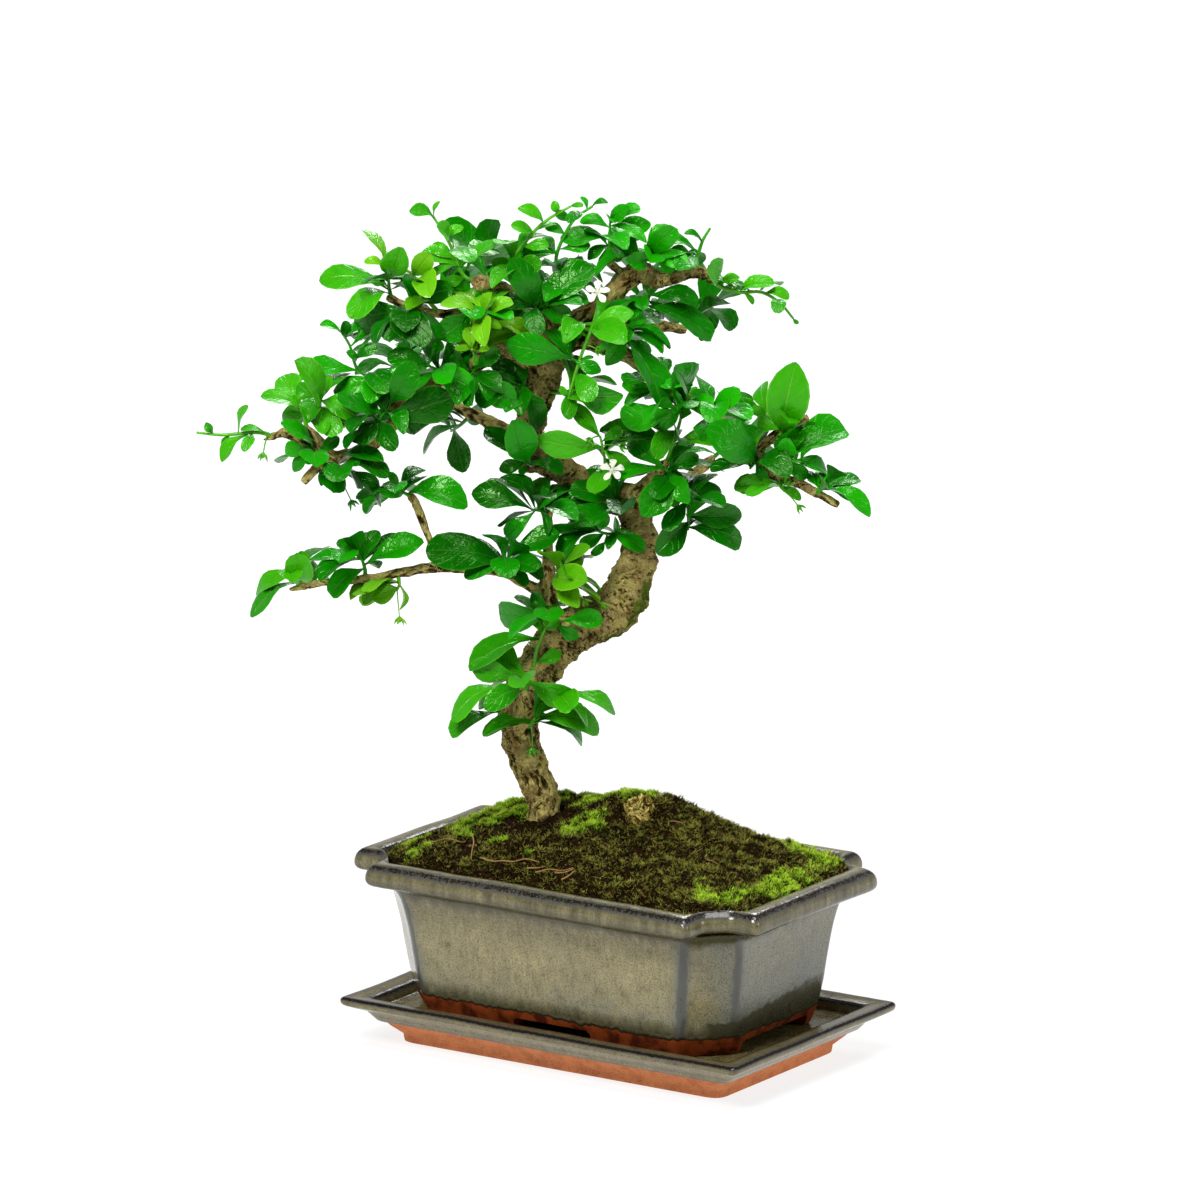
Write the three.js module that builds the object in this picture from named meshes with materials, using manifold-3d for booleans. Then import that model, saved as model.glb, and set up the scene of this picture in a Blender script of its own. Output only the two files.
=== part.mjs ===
// Fukien tea bonsai in a glazed pot on its drip tray.
//
// Millimetres, +Z up. The origin is the middle of the tray's underside. X runs along
// the pot's long side and -Y is the front. The tree is drawn in its own upright plane,
// which is turned about the trunk foot: every point of the tree is a list
// [across, up, out], counted from the place where the trunk leaves the soil.

import * as THREE from "three";
import { mergeVertices } from "three/addons/utils/BufferGeometryUtils.js";
import Module from "manifold-3d";

const wasm = await Module();
wasm.setup();

// Driving dimensions: drip tray
const TRAY = {
  length: 196, depth: 123, height: 20, footLength: 157, footDepth: 87,
  rimWidth: 10, floor: 14.5, innerDraft: 1.6,
};
// Outside of the tray below its lip: [share of the way in to the foot, height]
const TRAY_FOOT = [[1, 0], [0.95, 3], [0.72, 7.6], [0.6, 9.5], [0.38, 14]];
// Its lip and sloping rim: [inset, drop from the top]
const TRAY_LIP = [[0.6, 3.2], [0, 2.2], [0, 1], [0.9, 0], [8.8, 0.8], [10, 1.8]];

// Driving dimensions: pot
const POT = {
  length: 200, depth: 134, base: 14.8, top: 80, height: 65.2, footLength: 159, footDepth: 95,
  notch: 20.5, notchStep: 12, chamfer: 16.5, lipHeight: 9.5, rimWidth: 11,
  bottom: 6, gapUnder: 5, footWall: 10, frontArch: 38, sideArch: 49, archRise: 4.8,
  drainRadius: 7, drainSpacing: 80, offset: [-2, 1],
};
const ARCH_SHOULDER = 5;
// Wall of the pot: [how far it stands out of the foot, height above the foot]
const POT_BODY = [[-1.8, 0], [-1.2, 2], [0.4, 7.5], [2.4, 19], [3.6, 31], [5.2, 42]];
// Cove under the lip: [how far it stands out of the foot, depth under the lip]
const POT_COVE = [[8.5, 2.5], [11, 0.6]];
// Rolled lip: [inset, height above its underside]
const POT_LIP = [[3.4, 0], [0.7, 1.2], [0, 2.6], [0, 6.9], [0.9, 8.8], [2.6, 9.5]];
// Inside of the pot: [inset from the lip, depth under the top]
const POT_CAVITY = { floorInset: 26, walls: [[23, 34.2], [21.3, 23.2], [18, 12], [12, 4]] };

// Clearance between pieces that touch, and the shortest edge that is kept
const GAP = 0.3;
const FINEST = 0.05;

// Soil surface: lowest along the rim, highest behind the middle
const SOIL = {
  halfLength: 89, halfDepth: 56, edge: 77.5, swell: 13, mound: 15, moundAt: [8, 12], moundSize: [38, 26],
  sideMound: 5, sideMoundAt: [-50, 25], sideMoundSize: 25, dip: 1.5, dipSize: 12,
  grain: 0.8, columns: 15, rows: 10, finest: 0.15,
};

// Tree: where the trunk leaves the soil, and how far its plane is turned from X
const FOOT = [-37, 1, 91];
const PLANE_TURN = THREE.MathUtils.degToRad(33.9);

// Leaves
const LEAF = {
  thickness: 0.7, arch: 0.1, fold: 0.2, narrowest: 0.42, droop: 0.06, spacing: 2.4, foot: 0.35,
};
const RULED = { shortest: 17, spread: 9, narrowest: 0.42, widthSpread: 0.08 };
const STEM = { radius: 1.5, tipRadius: 1.1, sides: 3 };
const BUD = { radius: 1.1, thread: 0.4 };
const FIRST_SEED = 1009;
const FLOWER = {
  petals: 5, petalLength: 5.4, petalWidth: 3.4, throat: 1.1,
  places: [[22, 226, 20], [28, 153, 24]],
};
const TUFT = { size: [5.5, 4.5, 6.5], at: [14, -4], lift: 3.5 };

const COLOURS = {
  glaze: 0x8a8768, trayGlaze: 0x77755a, soil: 0x2a1f12, bark: 0x7a6648,
  dark: 0x0a5a14, mid: 0x128a1a, bright: 0x3fa80a, young: 0x8fcc10, petal: 0xf6f6ee,
  tuft: 0xb9a45a,
};

// Trunk and branches. Each route point is [across, up, out, radius].
const WOOD = [
  { // trunk, from the root ball to the crown
    sides: 9, spacing: 7.4, knobs: 0.06,
    route: [
      [1, -36, 0, 6], [1, -22, 0, 8], [0.5, -8, 0, 7.4], [0, 0, 0, 6.6], [-1.6, 11, 1, 6.6],
      [-7, 26, 3, 7.3], [-9.6, 36, 4, 7.7], [-10.4, 45, 5, 8.2], [-8, 55, 6, 8.4],
      [1, 71.5, 8, 8.8],
      [13, 83.5, 9, 9.6], [25.5, 89, 7, 9.8], [33.6, 97.5, 4, 9.2], [38, 109, 0, 8],
      [38.8, 117, -2, 7.4], [38, 127, -4, 6.6], [35.5, 133, -6, 6.4], [29.5, 135, -8, 6],
      [19.2, 138, -10, 5.8], [7.8, 145.5, -10, 5.8], [-4.5, 151.5, -8, 5.7], [-8.6, 157, -5, 5.7],
      [-7, 163, -2, 5.9], [-4.9, 171, 1, 6], [-2, 180, 3, 6.3], [0.5, 187.5, 4, 6.8],
      [5, 199, 4, 6.2], [11, 208.5, 3, 5],
    ],
  },
  { // upper left limb, ending in a cut stub
    sides: 6, spacing: 9.2, knobs: 0.1,
    route: [
      [1, 190, 4, 4.4], [-9, 198, 8, 4], [-17.6, 201, 10, 3.6], [-25.8, 196, 14, 3.4],
      [-46.3, 187.5, 18, 3.2],
      [-58, 175, 22, 2.9], [-72, 163, 25, 2.8], [-86, 158, 27, 2.6], [-92, 155, 28, 2.2],
      [-98, 149, 29, 1.7],
    ],
  },
  { // pale cut stub under the upper left limb
    sides: 6, spacing: 10.3, knobs: 0.08,
    route: [[-48, 186, 18, 2.6], [-57, 182, 21, 2.6], [-65, 178, 24, 3]],
  },
  { // stub that turns up at the left
    sides: 5, spacing: 9.2, knobs: 0.1,
    route: [[-84, 158, 27, 2.2], [-88, 162, 28, 2.3], [-92, 167, 28, 2.2], [-96.5, 171.5, 28, 1.6]],
  },
  { // far left stub with its spike
    sides: 5, spacing: 9.2, knobs: 0.1,
    route: [
      [-88, 158, 27, 2], [-97, 164, 27, 1.8], [-105.6, 169.5, 28, 2.2], [-109, 168, 28, 1.2],
      [-114, 166.5, 28, 0.7],
    ],
  },
  { // second stem, straight up from the low bend
    sides: 5, spacing: 11.5, knobs: 0.08,
    route: [
      [8, 84, 14, 3], [3.5, 93, 14, 3.2], [2, 100, 14, 3.4], [1.8, 105, 13, 3.6],
      [1.6, 112, 12, 2.4],
      [2, 124, 9, 1.7], [2, 131.5, 7, 1.4],
    ],
  },
  { // low left branch
    sides: 5, spacing: 11.5, knobs: 0.1,
    route: [
      [1.5, 98, 14, 2.6], [-4, 101.5, 14, 2.4], [-10, 105, 14, 2.2], [-17.6, 108.5, 15, 2.1],
      [-38, 111, 18, 2],
      [-44, 111.5, 19, 2.4], [-56.5, 110, 21, 2], [-72.5, 107.5, 23, 1.8], [-86.8, 106.5, 24, 1.7],
      [-95.4, 105.5, 25, 1.6], [-104, 103.5, 25, 1],
    ],
  },
  { // twig that climbs from the low left branch
    sides: 5, spacing: 11.5, knobs: 0.1,
    route: [
      [-41, 112, 18, 1.7], [-44.2, 117, 19, 1.7], [-47, 124, 20, 1.5], [-49.5, 131.5, 20, 1.7],
      [-52.4, 138.5, 20, 1.9], [-54.6, 142, 20, 1.4],
    ],
  },
  { // front branchlet on the lower trunk
    sides: 5, spacing: 11.5, knobs: 0.1,
    route: [
      [-8, 37, 9, 1.9], [-7, 42, 13, 1.8], [-5.3, 50, 14, 1.6], [-8.5, 57, 16, 1.8],
      [-9, 60, 16, 1.1],
    ],
  },
  { // short limb at the bend under the crown
    sides: 6, spacing: 9.2, knobs: 0.12,
    route: [
      [37, 130, -5, 4.4], [38, 138, -1, 3.8], [42.5, 143, 4, 3.2], [47, 149, 8, 3],
      [49.4, 153, 9, 2],
    ],
  },
  { // right branch
    sides: 6, spacing: 10.3, knobs: 0.1,
    route: [
      [5, 200, 4, 4.4], [14, 203, 6, 3.8], [23.3, 202, 8, 3.4], [35.6, 197.5, 12, 3.1],
      [51.2, 186.6, 16, 2.8],
      [69.6, 174, 20, 2.7], [87.6, 159.5, 24, 2.8], [91, 153, 25, 2.5], [105.2, 147.5, 27, 2.1],
      [120.3, 139.2, 28, 1.6],
    ],
  },
  { // fork of the right branch that climbs
    sides: 5, spacing: 11.5, knobs: 0.1,
    route: [[86, 160, 24, 2.2], [94, 168, 25, 2], [101, 172.5, 26, 1.8], [107.7, 176, 27, 1.6]],
  },
  { // top right limb
    sides: 6, spacing: 7.5, knobs: 0.16,
    route: [
      [9, 205, 3, 4.8], [17.2, 213, 0, 4.4], [24, 217, -3, 4.2], [31.5, 224.5, -6, 4.6],
      [39, 230, -7, 4.4],
      [45.8, 226.5, -6, 3.4], [53, 227.5, -5, 3], [60.2, 230.2, -4, 3.2], [66, 229, -3, 2.4],
      [69.5, 226.5, -3, 1.6],
    ],
  },
  { // twig over the top right limb
    sides: 5, spacing: 11.5, knobs: 0.1,
    route: [[35, 225, -6, 2], [31, 230, -6, 1.8], [25.8, 234.5, -6, 1.6], [24.6, 237, -6, 1]],
  },
  { // top left limb, its cut face towards the viewer
    sides: 6, spacing: 9.2, knobs: 0.1,
    route: [
      [9, 204, 3, 4.4], [4, 213, 3, 4], [0.8, 218.8, 4, 3.8], [-9.8, 222, 8, 3.5],
      [-18, 226, 13, 3.2],
      [-25, 230, 20, 3], [-27, 231, 24, 2.8],
    ],
  },
  { // outer left limb of the crown
    sides: 5, spacing: 11.5, knobs: 0.1,
    route: [
      [-8, 221, 7, 3], [-20, 219, 10, 2.6], [-34, 215, 10, 2.3], [-47, 216, 9, 2],
      [-57, 218.5, 8, 1.8], [-64, 222, 8, 1.3],
    ],
  },
  { // back left limb
    sides: 5, spacing: 11.5, knobs: 0.1,
    route: [[-6, 155, -6, 3.8], [-14, 160, -16, 3.2], [-30, 166, -28, 2.7], [-48, 172, -38, 2]],
  },
  { // back limb of the crown, to the left
    sides: 5, spacing: 11.5, knobs: 0.1,
    route: [
      [4, 200, 2, 4], [0, 205, -8, 3.4], [-6, 208, -16, 3], [-13, 212, -26, 2.6],
      [-20, 216, -36, 2],
    ],
  },
  { // back limb of the crown, to the right
    sides: 5, spacing: 11.5, knobs: 0.1,
    route: [[8, 203, 2, 3.8], [22, 205, -10, 3.2], [40, 204, -24, 2.6], [58, 200, -36, 2]],
  },
  { // back limb at the upper bend
    sides: 5, spacing: 11.5, knobs: 0.1,
    route: [[36, 126, -4, 4], [44, 131, -13, 3.2], [54, 136, -22, 2.6], [70, 146, -34, 1.9]],
  },
];

// Leafy stems. A stem is a list of [across, up, out]; a leaf is its foot and tip in the same way,
// and the width it shows from the front. "fill" leaves are set round the stem by rule.
const SPRAYS = [
  {
    "name": "spray_far_left", "tone": "bright", "fill": 0, "bare": 2.5,
    "stem": [[-110, 167.5, 28], [-115, 170, 30], [-131, 169, 30], [-141, 170, 30]],
    "buds": [[-114, 161, 32]],
    "leaves": [
      [-124, 169, 29, -121, 182, 33, 2.5], [-119, 168, 29, -131, 159, 34, 3.5],
      [-110, 170, 29, -122, 173, 33, 2.5],
    ],
  },
  {
    "name": "spray_left_tip", "tone": "mid", "fill": 0, "bare": 3.5,
    "stem": [[-98, 164.5, 27], [-95, 163, 30], [-92, 162, 31]],
    "leaves": [
      [-92, 164, 30, -105, 164, 32, 7], [-93, 161, 30, -102, 154, 30, 5],
      [-91, 163, 30, -83, 168, 30, 5.5],
    ],
  },
  {
    "name": "spray_left_low", "tone": "dark", "fill": 0, "bare": 3,
    "stem": [[-85.5, 158, 27], [-84.5, 155, 34.5]],
    "buds": [[-78, 141, 30]],
    "leaves": [
      [-86, 156, 31, -85, 151, 49, 11.5], [-83, 155, 31, -65, 140, 29, 8],
    ],
  },
  {
    "name": "spray_left_up", "tone": "bright", "fill": 0, "bare": 2,
    "stem": [[-96, 171, 28], [-97, 176, 27], [-92, 180, 26], [-90, 184, 26]],
    "leaves": [
      [-90, 179, 25, -95, 202, 46, 4], [-95, 180, 25, -113, 187, 31, 5.5],
      [-99, 177, 25, -106, 192, 17, 11.5], [-91, 179, 25, -100, 189, 24, 9],
    ],
  },
  {
    "name": "spray_left_mid", "tone": "mid", "fill": 0, "bare": 5,
    "stem": [[-45.5, 188, 18], [-59, 189, 15], [-75, 192, 14], [-79, 203, 14], [-82, 208, 14]],
    "leaves": [
      [-76, 191, 14, -100, 192, 14, 5.5], [-67, 190, 14, -86, 184, 14, 7.5],
      [-77, 197, 14, -68, 203, 17, 3.5],
    ],
  },
  {
    "name": "spray_left_front", "tone": "dark", "fill": 0, "bare": 6.5,
    "stem": [[-61, 180, 22.5], [-64, 178, 27], [-67.5, 174.5, 31]],
    "leaves": [
      [-68, 178, 30, -81, 182, 20, 6.5], [-62, 182, 30, -53, 200, 43, 12.5],
      [-65, 173, 30, -36, 184, 30, 15.5], [-68, 176, 30, -75, 171, 34, 5.5],
      [-65, 180, 30, -66, 187, 24, 8],
    ],
  },
  {
    "name": "spray_outer_left", "tone": "bright", "fill": 0, "bare": 2.5,
    "stem": [[-61.5, 221, 8], [-63, 226, 8], [-63, 231, 8]],
    "leaves": [
      [-63, 225, 7, -91, 231, 7, 5], [-62, 229, 7, -58, 244, 25, 11.5],
      [-64, 224, 7, -78, 221, 27, 4.5],
    ],
  },
  {
    "name": "spray_yellow_shoot", "tone": "young", "fill": 0, "bare": 3.5,
    "stem": [[-43, 215.5, 9.5], [-49, 224, 13], [-54, 233, 14], [-65, 236, 14]],
    "leaves": [
      [-65, 236, 14, -72, 250, 4, 3.5], [-54, 231, 14, -47, 241, 26, 9],
      [-51, 227, 14, -42, 228, 14, 5],
    ],
  },
  {
    "name": "spray_dark_hanging", "tone": "dark", "fill": 0, "bare": 3,
    "stem": [[-51.5, 217, 8.5], [-54, 219, 16], [-57, 217, 20]],
    "leaves": [
      [-54, 224, 20, -50, 210, 42, 16.5], [-59, 216, 20, -79, 212, 10, 11],
      [-53, 223, 20, -37, 228, 22, 8], [-58, 214, 20, -60, 204, 16, 5.5],
    ],
  },
  {
    "name": "spray_left_shelf", "tone": "mid", "fill": 0, "bare": 4.5,
    "stem": [[-39, 190.5, 16.5], [-44, 195, 23], [-47, 197, 26]],
    "leaves": [
      [-47, 199, 26, -63, 201, 26, 7.5], [-47, 195, 26, -29, 189, 35, 12.5],
      [-46, 200, 26, -42, 207, 22, 5.5], [-42, 193, 26, -54, 186, 26, 5],
    ],
  },
  {
    "name": "spray_inner_shelf", "tone": "dark", "fill": 0, "bare": 4.5,
    "stem": [[-26, 196, 14], [-28, 194, 20], [-30, 192, 24]],
    "buds": [[-18, 194.5, 14]],
    "leaves": [
      [-30, 191, 24, -11, 182, 27, 12.5], [-28, 195, 24, -38, 201, 17, 8],
      [-27, 197, 24, -18, 203, 24, 5.5],
    ],
  },
  {
    "name": "spray_trunk_front", "tone": "dark", "fill": 0, "bare": 8,
    "stem": [[-1.5, 181.5, 3], [-8, 185, 13], [-10, 187, 16]],
    "leaves": [
      [-10, 186, 16, -1, 169, 16, 8], [-9, 187, 16, -18, 190, 13, 5.5],
    ],
  },
  {
    "name": "spray_inner_left", "tone": "mid", "fill": 0, "bare": 3,
    "stem": [[-27, 217, 10], [-28, 218, 16], [-29, 219, 20]],
    "leaves": [
      [-30, 218, 20, -42, 208, 23, 11.5], [-29, 220, 20, -37, 225, 14, 6.5],
      [-28, 221, 20, -22, 227, 22, 5],
    ],
  },
  {
    "name": "spray_up_left", "tone": "bright", "fill": 0, "bare": 4.5,
    "stem": [[-25, 230, 20], [-32, 232, 17], [-38, 245, 15], [-45, 257, 15]],
    "leaves": [
      [-34, 237, 15, -50, 241, 15, 5.5], [-34, 238, 15, -45, 245, 15, 5],
      [-33, 237, 15, -20, 248, 15, 6], [-32, 232, 15, -40, 230, 20, 5.5],
    ],
  },
  {
    "name": "spray_top_left_shoot", "tone": "bright", "fill": 0, "bare": 4.5,
    "stem": [[-9.5, 222, 8], [-13, 234, 6], [-6, 246, 6], [1, 253, 6], [11, 259, 6]],
    "leaves": [
      [0, 252, 6, -10, 259, 9, 3.5], [-4, 248, 6, -13, 252, 9, 4], [-13, 235, 6, -21, 238, 13, 6],
      [-13, 232, 6, -1, 237, 10, 7.5], [-8, 242, 6, 2, 244, 9, 3.5],
    ],
  },
  {
    "name": "spray_top_mid_shoot", "tone": "mid", "fill": 0, "bare": 4,
    "node": "spray_top_shoots",
    "stem": [[1, 218.5, 4], [9, 224, -1], [5, 235, 0], [8, 245, 0], [13, 253, 0], [20, 258, 0]],
    "leaves": [
      [6, 238, 0, -15, 235, 0, 6], [7, 240, 0, 19, 242, 0, 5.5], [6, 232, 0, 17, 233, -7, 7.5],
    ],
  },
  {
    "name": "spray_top_stem", "tone": "bright", "fill": 0, "bare": 3,
    "node": "spray_top_shoots",
    "stem": [[25.5, 235, -6], [27, 243, -6], [27, 250, -6]],
    "leaves": [
      [28, 250, -6, 16, 253, -4, 3], [27, 243, -6, 7, 245, 0, 3], [28, 250, -6, 34, 258, 2, 6],
      [28, 245, -6, 43, 251, -6, 7], [27, 241, -6, 18, 236, -2, 3.5],
      [27, 239, -6, 37, 240, -6, 5],
    ],
  },
  {
    "name": "spray_rosette", "tone": "young", "fill": 0, "bare": 3,
    "stem": [[-22, 218.5, 10], [-21, 214, 20], [-23, 217, 27], [-25, 219, 32]],
    "leaves": [
      [-24, 219, 30, -14, 225, 30, 4.5], [-25, 219, 30, -41, 225, 35, 3],
      [-24, 219, 30, -22, 228, 33, 3.5],
    ],
  },
  {
    "name": "spray_low_rosette", "tone": "young", "fill": 0, "bare": 4.5,
    "stem": [[-22.5, 198, 12.5], [-27, 203, 24], [-29, 204, 28]],
    "leaves": [
      [-30, 205, 28, -30, 213, 28, 5.5],
    ],
  },
  {
    "name": "spray_top_centre", "tone": "dark", "fill": 0, "bare": 5,
    "stem": [[2, 217, 3.5], [-1, 216, 10], [-4, 219, 13]],
    "leaves": [
      [-5, 220, 12, -12, 240, 23, 12.5], [-2, 218, 12, 19, 236, 12, 11],
      [-2, 215, 12, -18, 213, 12, 5], [-2, 216, 12, 11, 217, 17, 8],
      [-4, 219, 12, -19, 224, 19, 8],
    ],
  },
  {
    "name": "spray_centre_big", "tone": "dark", "fill": 0, "bare": 7,
    "stem": [[5, 199, 4], [10, 199, 20], [12, 200, 28]],
    "leaves": [
      [11, 200, 28, -15, 206, 28, 14.5], [13, 199, 28, 23, 196, 32, 6.5],
    ],
  },
  {
    "name": "spray_crossing_stem", "tone": "bright", "fill": 0, "bare": 4.5,
    "stem": [[11, 208.5, 3], [20, 212, 18], [18, 208, 24], [14, 197, 26], [9, 179, 24]],
    "buds": [[22, 225.1, 18.2], [22, 204, 28]],
    "leaves": [
      [21, 214, 24, 36, 219, 24, 8], [18, 209, 24, 7, 213, 28, 3.5],
    ],
  },
  {
    "name": "spray_top_right", "tone": "mid", "fill": 0, "bare": 5,
    "stem": [[39, 230, -7], [42, 236, -1], [44, 239, 1]],
    "leaves": [
      [41, 238, 0, 53, 250, 2, 4.5], [44, 237, 0, 35, 237, 9, 7.5], [45, 237, 0, 52, 249, 13, 10],
      [45, 236, 0, 54, 232, 0, 5.5],
    ],
  },
  {
    "name": "spray_right_shoot", "tone": "bright", "fill": 0, "bare": 2,
    "stem": [[68.5, 227, -3], [73, 224, -2], [80, 222, -2], [89, 222, -2], [97, 217, -2], [102, 211, -2]],
    "leaves": [
      [71, 225, -2, 79, 229, 1, 3.5], [80, 223, -2, 93, 228, 2, 3.5],
      [90, 222, -2, 100, 221, 1, 3.5],
    ],
  },
  {
    "name": "spray_green_stub", "tone": "mid", "fill": 0, "bare": 3.5,
    "node": "spray_top_right",
    "stem": [[60.5, 230, -4], [63, 237, -5], [65, 243, -5], [68, 248, -5]],
    "leaves": [
      [62, 238, -4, 43, 245, 2, 3.5], [63, 236, -4, 51, 239, 0, 3.5],
    ],
  },
  {
    "name": "spray_under_right", "tone": "dark", "fill": 0, "bare": 4.5,
    "stem": [[44.5, 227, -6], [42, 223, -4], [43, 221, 2], [42, 218, 6]],
    "leaves": [
      [44, 224, 6, 63, 220, 6, 5.5], [42, 219, 6, 50, 212, 2, 3.5], [42, 216, 6, 69, 205, 6, 6],
    ],
  },
  {
    "name": "spray_mid_top_right", "tone": "mid", "fill": 0, "bare": 4.5,
    "node": "spray_right_limb",
    "stem": [[30, 199.5, 10], [32, 206, 14], [34, 212, 16]],
    "leaves": [
      [33, 213, 14, 31, 206, 25, 8], [32, 210, 14, 26, 197, 23, 7.5],
      [36, 206, 14, 49, 181, 28, 7], [34, 212, 14, 41, 216, 8, 5.5],
      [32, 205, 14, 44, 200, 12, 5.5],
    ],
  },
  {
    "name": "spray_limb_under", "tone": "bright", "fill": 0, "bare": 4.5,
    "node": "spray_right_limb",
    "stem": [[45.5, 190.5, 14.5], [46, 187, 18], [45, 184.5, 20]],
    "leaves": [
      [45, 185, 18, 32, 188, 18, 6.5], [46, 186, 18, 60, 190, 30, 4.5],
      [45, 184, 18, 51, 178, 21, 4],
    ],
  },
  {
    "name": "spray_centre_fan", "tone": "mid", "fill": 0, "bare": 9,
    "node": "spray_crossing_stem",
    "stem": [[-1.5, 181.5, 3], [10, 183, 14], [14, 186, 20]],
    "leaves": [
      [14, 186, 20, 32, 187, 38, 14.5], [12, 184, 20, 9, 177, 29, 7.5],
    ],
  },
  {
    "name": "spray_right_fan", "tone": "dark", "fill": 0, "bare": 4,
    "node": "spray_right_limb",
    "stem": [[58.5, 181.5, 17.5], [56, 179, 20], [53, 177, 24]],
    "leaves": [
      [54, 178, 20, 31, 175, 20, 12.5], [55, 179, 20, 54, 193, 32, 7.5],
      [59, 180, 20, 56, 199, 44, 4], [57, 177, 20, 68, 182, 34, 5], [58, 176, 20, 48, 170, 20, 5.5],
    ],
  },
  {
    "name": "spray_right_ridge", "tone": "mid", "fill": 0, "bare": 5.5,
    "stem": [[73, 171.5, 20.5], [71, 175, 22], [68.5, 179, 25]],
    "leaves": [
      [71, 180, 22, 77, 188, 40, 5.5], [69, 176, 22, 81, 182, 22, 7.5],
      [68, 177, 22, 60, 186, 20, 5.5], [72, 172, 22, 64, 170, 41, 5.5],
    ],
  },
  {
    "name": "spray_pale_fan", "tone": "bright", "fill": 0, "bare": 7,
    "stem": [[21.5, 137.5, -9.5], [23, 145, -6], [25, 152, 6], [24, 161, 16], [23, 166, 18]],
    "buds": [[28, 152.1, 22.2], [19, 165, 21], [32, 162, 20]],
    "leaves": [
      [23, 168, 18, 11, 180, 18, 9], [24, 159, 18, -3, 165, 18, 14.5],
      [25, 164, 18, 32, 169, 18, 5], [24, 157, 18, 35, 153, 18, 5.5],
    ],
  },
  {
    "name": "spray_bend_left", "tone": "dark", "fill": 0, "bare": 7,
    "stem": [[-8.5, 157.5, -5], [-6, 152, 6], [-5, 152, 10]],
    "leaves": [
      [-4, 153, 8, -11, 173, 27, 14.5], [-9, 155, 8, -24, 166, 8, 9],
      [-5, 151, 8, 8, 150, 8, 6], [-7, 152, 8, -18, 150, 8, 6.5],
    ],
  },
  {
    "name": "spray_mid_arch", "tone": "dark", "fill": 0, "bare": 7,
    "stem": [[28.5, 135.5, -8], [30, 136, 4], [31, 135, 7]],
    "leaves": [
      [31, 139, 6, 11, 142, 8, 8], [32, 134, 6, 10, 131, 18, 8], [23, 133, 6, 7, 138, 6, 6.5],
    ],
  },
  {
    "name": "spray_knob", "tone": "mid", "fill": 0, "bare": 3.5,
    "stem": [[48, 151, 8.5], [50, 151, 13], [51.5, 150, 16]],
    "leaves": [
      [51, 150, 14, 63, 157, 14, 7], [52, 148, 14, 41, 135, 29, 14.5],
    ],
  },
  {
    "name": "spray_green_shoot", "tone": "mid", "fill": 0, "bare": 1,
    "node": "spray_pale_fan",
    "stem": [[49.5, 153, 9], [52, 159, 12], [56, 173, 14], [57, 181, 14]],
    "leaves": [
      [53, 161, 14, 78, 168, 14, 7.5], [52, 161, 14, 24, 170, 14, 7],
    ],
  },
  {
    "name": "spray_right_low", "tone": "dark", "fill": 0, "bare": 4,
    "stem": [[47, 149, 8], [53, 146, 9], [58, 141, 10], [59, 133, 10], [59, 125, 10]],
    "leaves": [
      [59, 127, 10, 47, 118, 21, 11.5], [59, 131, 10, 81, 132, 10, 10],
      [59, 126, 10, 81, 120, 10, 7.5], [59, 138, 10, 72, 143, 10, 4.5],
      [58, 139, 10, 50, 136, 5, 5.5], [59, 134, 10, 62, 142, 14, 5],
    ],
  },
  {
    "name": "spray_pad_top", "tone": "bright", "fill": 0, "bare": 4,
    "stem": [[93.5, 167.5, 25], [97, 169, 28], [96, 173, 28], [90, 178, 28]],
    "leaves": [
      [97, 170, 27, 102, 200, 44, 18], [90, 180, 27, 78, 182, 27, 6],
      [96, 171, 27, 87, 174, 24, 5.5],
    ],
  },
  {
    "name": "spray_pad_left", "tone": "dark", "fill": 0, "bare": 4,
    "stem": [[87.5, 159.5, 24], [86, 157, 27], [84, 155, 30]],
    "buds": [[90, 160, 30]],
    "leaves": [
      [86, 160, 27, 68, 176, 51, 14.5], [84, 155, 27, 68, 155, 35, 4],
      [85, 155, 27, 76, 163, 27, 6.5], [86, 156, 27, 90, 150, 31, 5],
    ],
  },
  {
    "name": "spray_pad_low", "tone": "bright", "fill": 0, "bare": 4,
    "stem": [[95.5, 151, 25.5], [96, 148, 28], [98, 146.5, 32]],
    "buds": [[104, 139, 30], [99, 149, 30]],
    "leaves": [
      [96, 148, 28, 79, 147, 28, 8.5], [97, 147, 28, 105, 143, 31, 4],
    ],
  },
  {
    "name": "spray_pad_right", "tone": "mid", "fill": 0, "bare": 4,
    "stem": [[90.5, 154, 25], [94, 156, 24], [99, 158, 29], [105, 158, 31]],
    "leaves": [
      [100, 159, 30, 123, 170, 16, 10.5], [97, 160, 30, 99, 170, 42, 8],
      [101, 156, 30, 117, 153, 23, 5.5], [99, 157, 30, 108, 151, 26, 5.5],
    ],
  },
  {
    "name": "spray_pad_tip", "tone": "mid", "fill": 0, "bare": 2.5,
    "stem": [[111, 144.5, 27.5], [113, 147, 32], [115, 148, 33]],
    "leaves": [
      [114, 149, 32, 129, 150, 24, 5.5], [114, 147, 32, 127, 143, 28, 5],
      [115, 147, 32, 133, 138, 39, 3.5],
    ],
  },
  {
    "name": "spray_left_low_big", "tone": "dark", "fill": 0, "bare": 1,
    "stem": [[2, 131.5, 7], [-2, 134, 13], [-5, 135, 16]],
    "leaves": [
      [-5, 135, 16, -29, 143, 16, 10], [-4, 135, 16, -16, 124, 16, 7],
      [-3, 134, 16, 2, 126, 19, 4],
    ],
  },
  {
    "name": "spray_twig_top", "tone": "mid", "fill": 0, "bare": 2.5,
    "stem": [[-54, 141, 20], [-57, 143, 21], [-60, 144, 21]],
    "leaves": [
      [-59, 143, 21, -49, 152, 11, 4.5], [-55, 141, 21, -32, 143, 31, 7],
    ],
  },
  {
    "name": "spray_trunk_left", "tone": "mid", "fill": 0, "bare": 7.5,
    "stem": [[38.5, 122.5, -3], [26, 122, 3], [21, 124, 5]],
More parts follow.
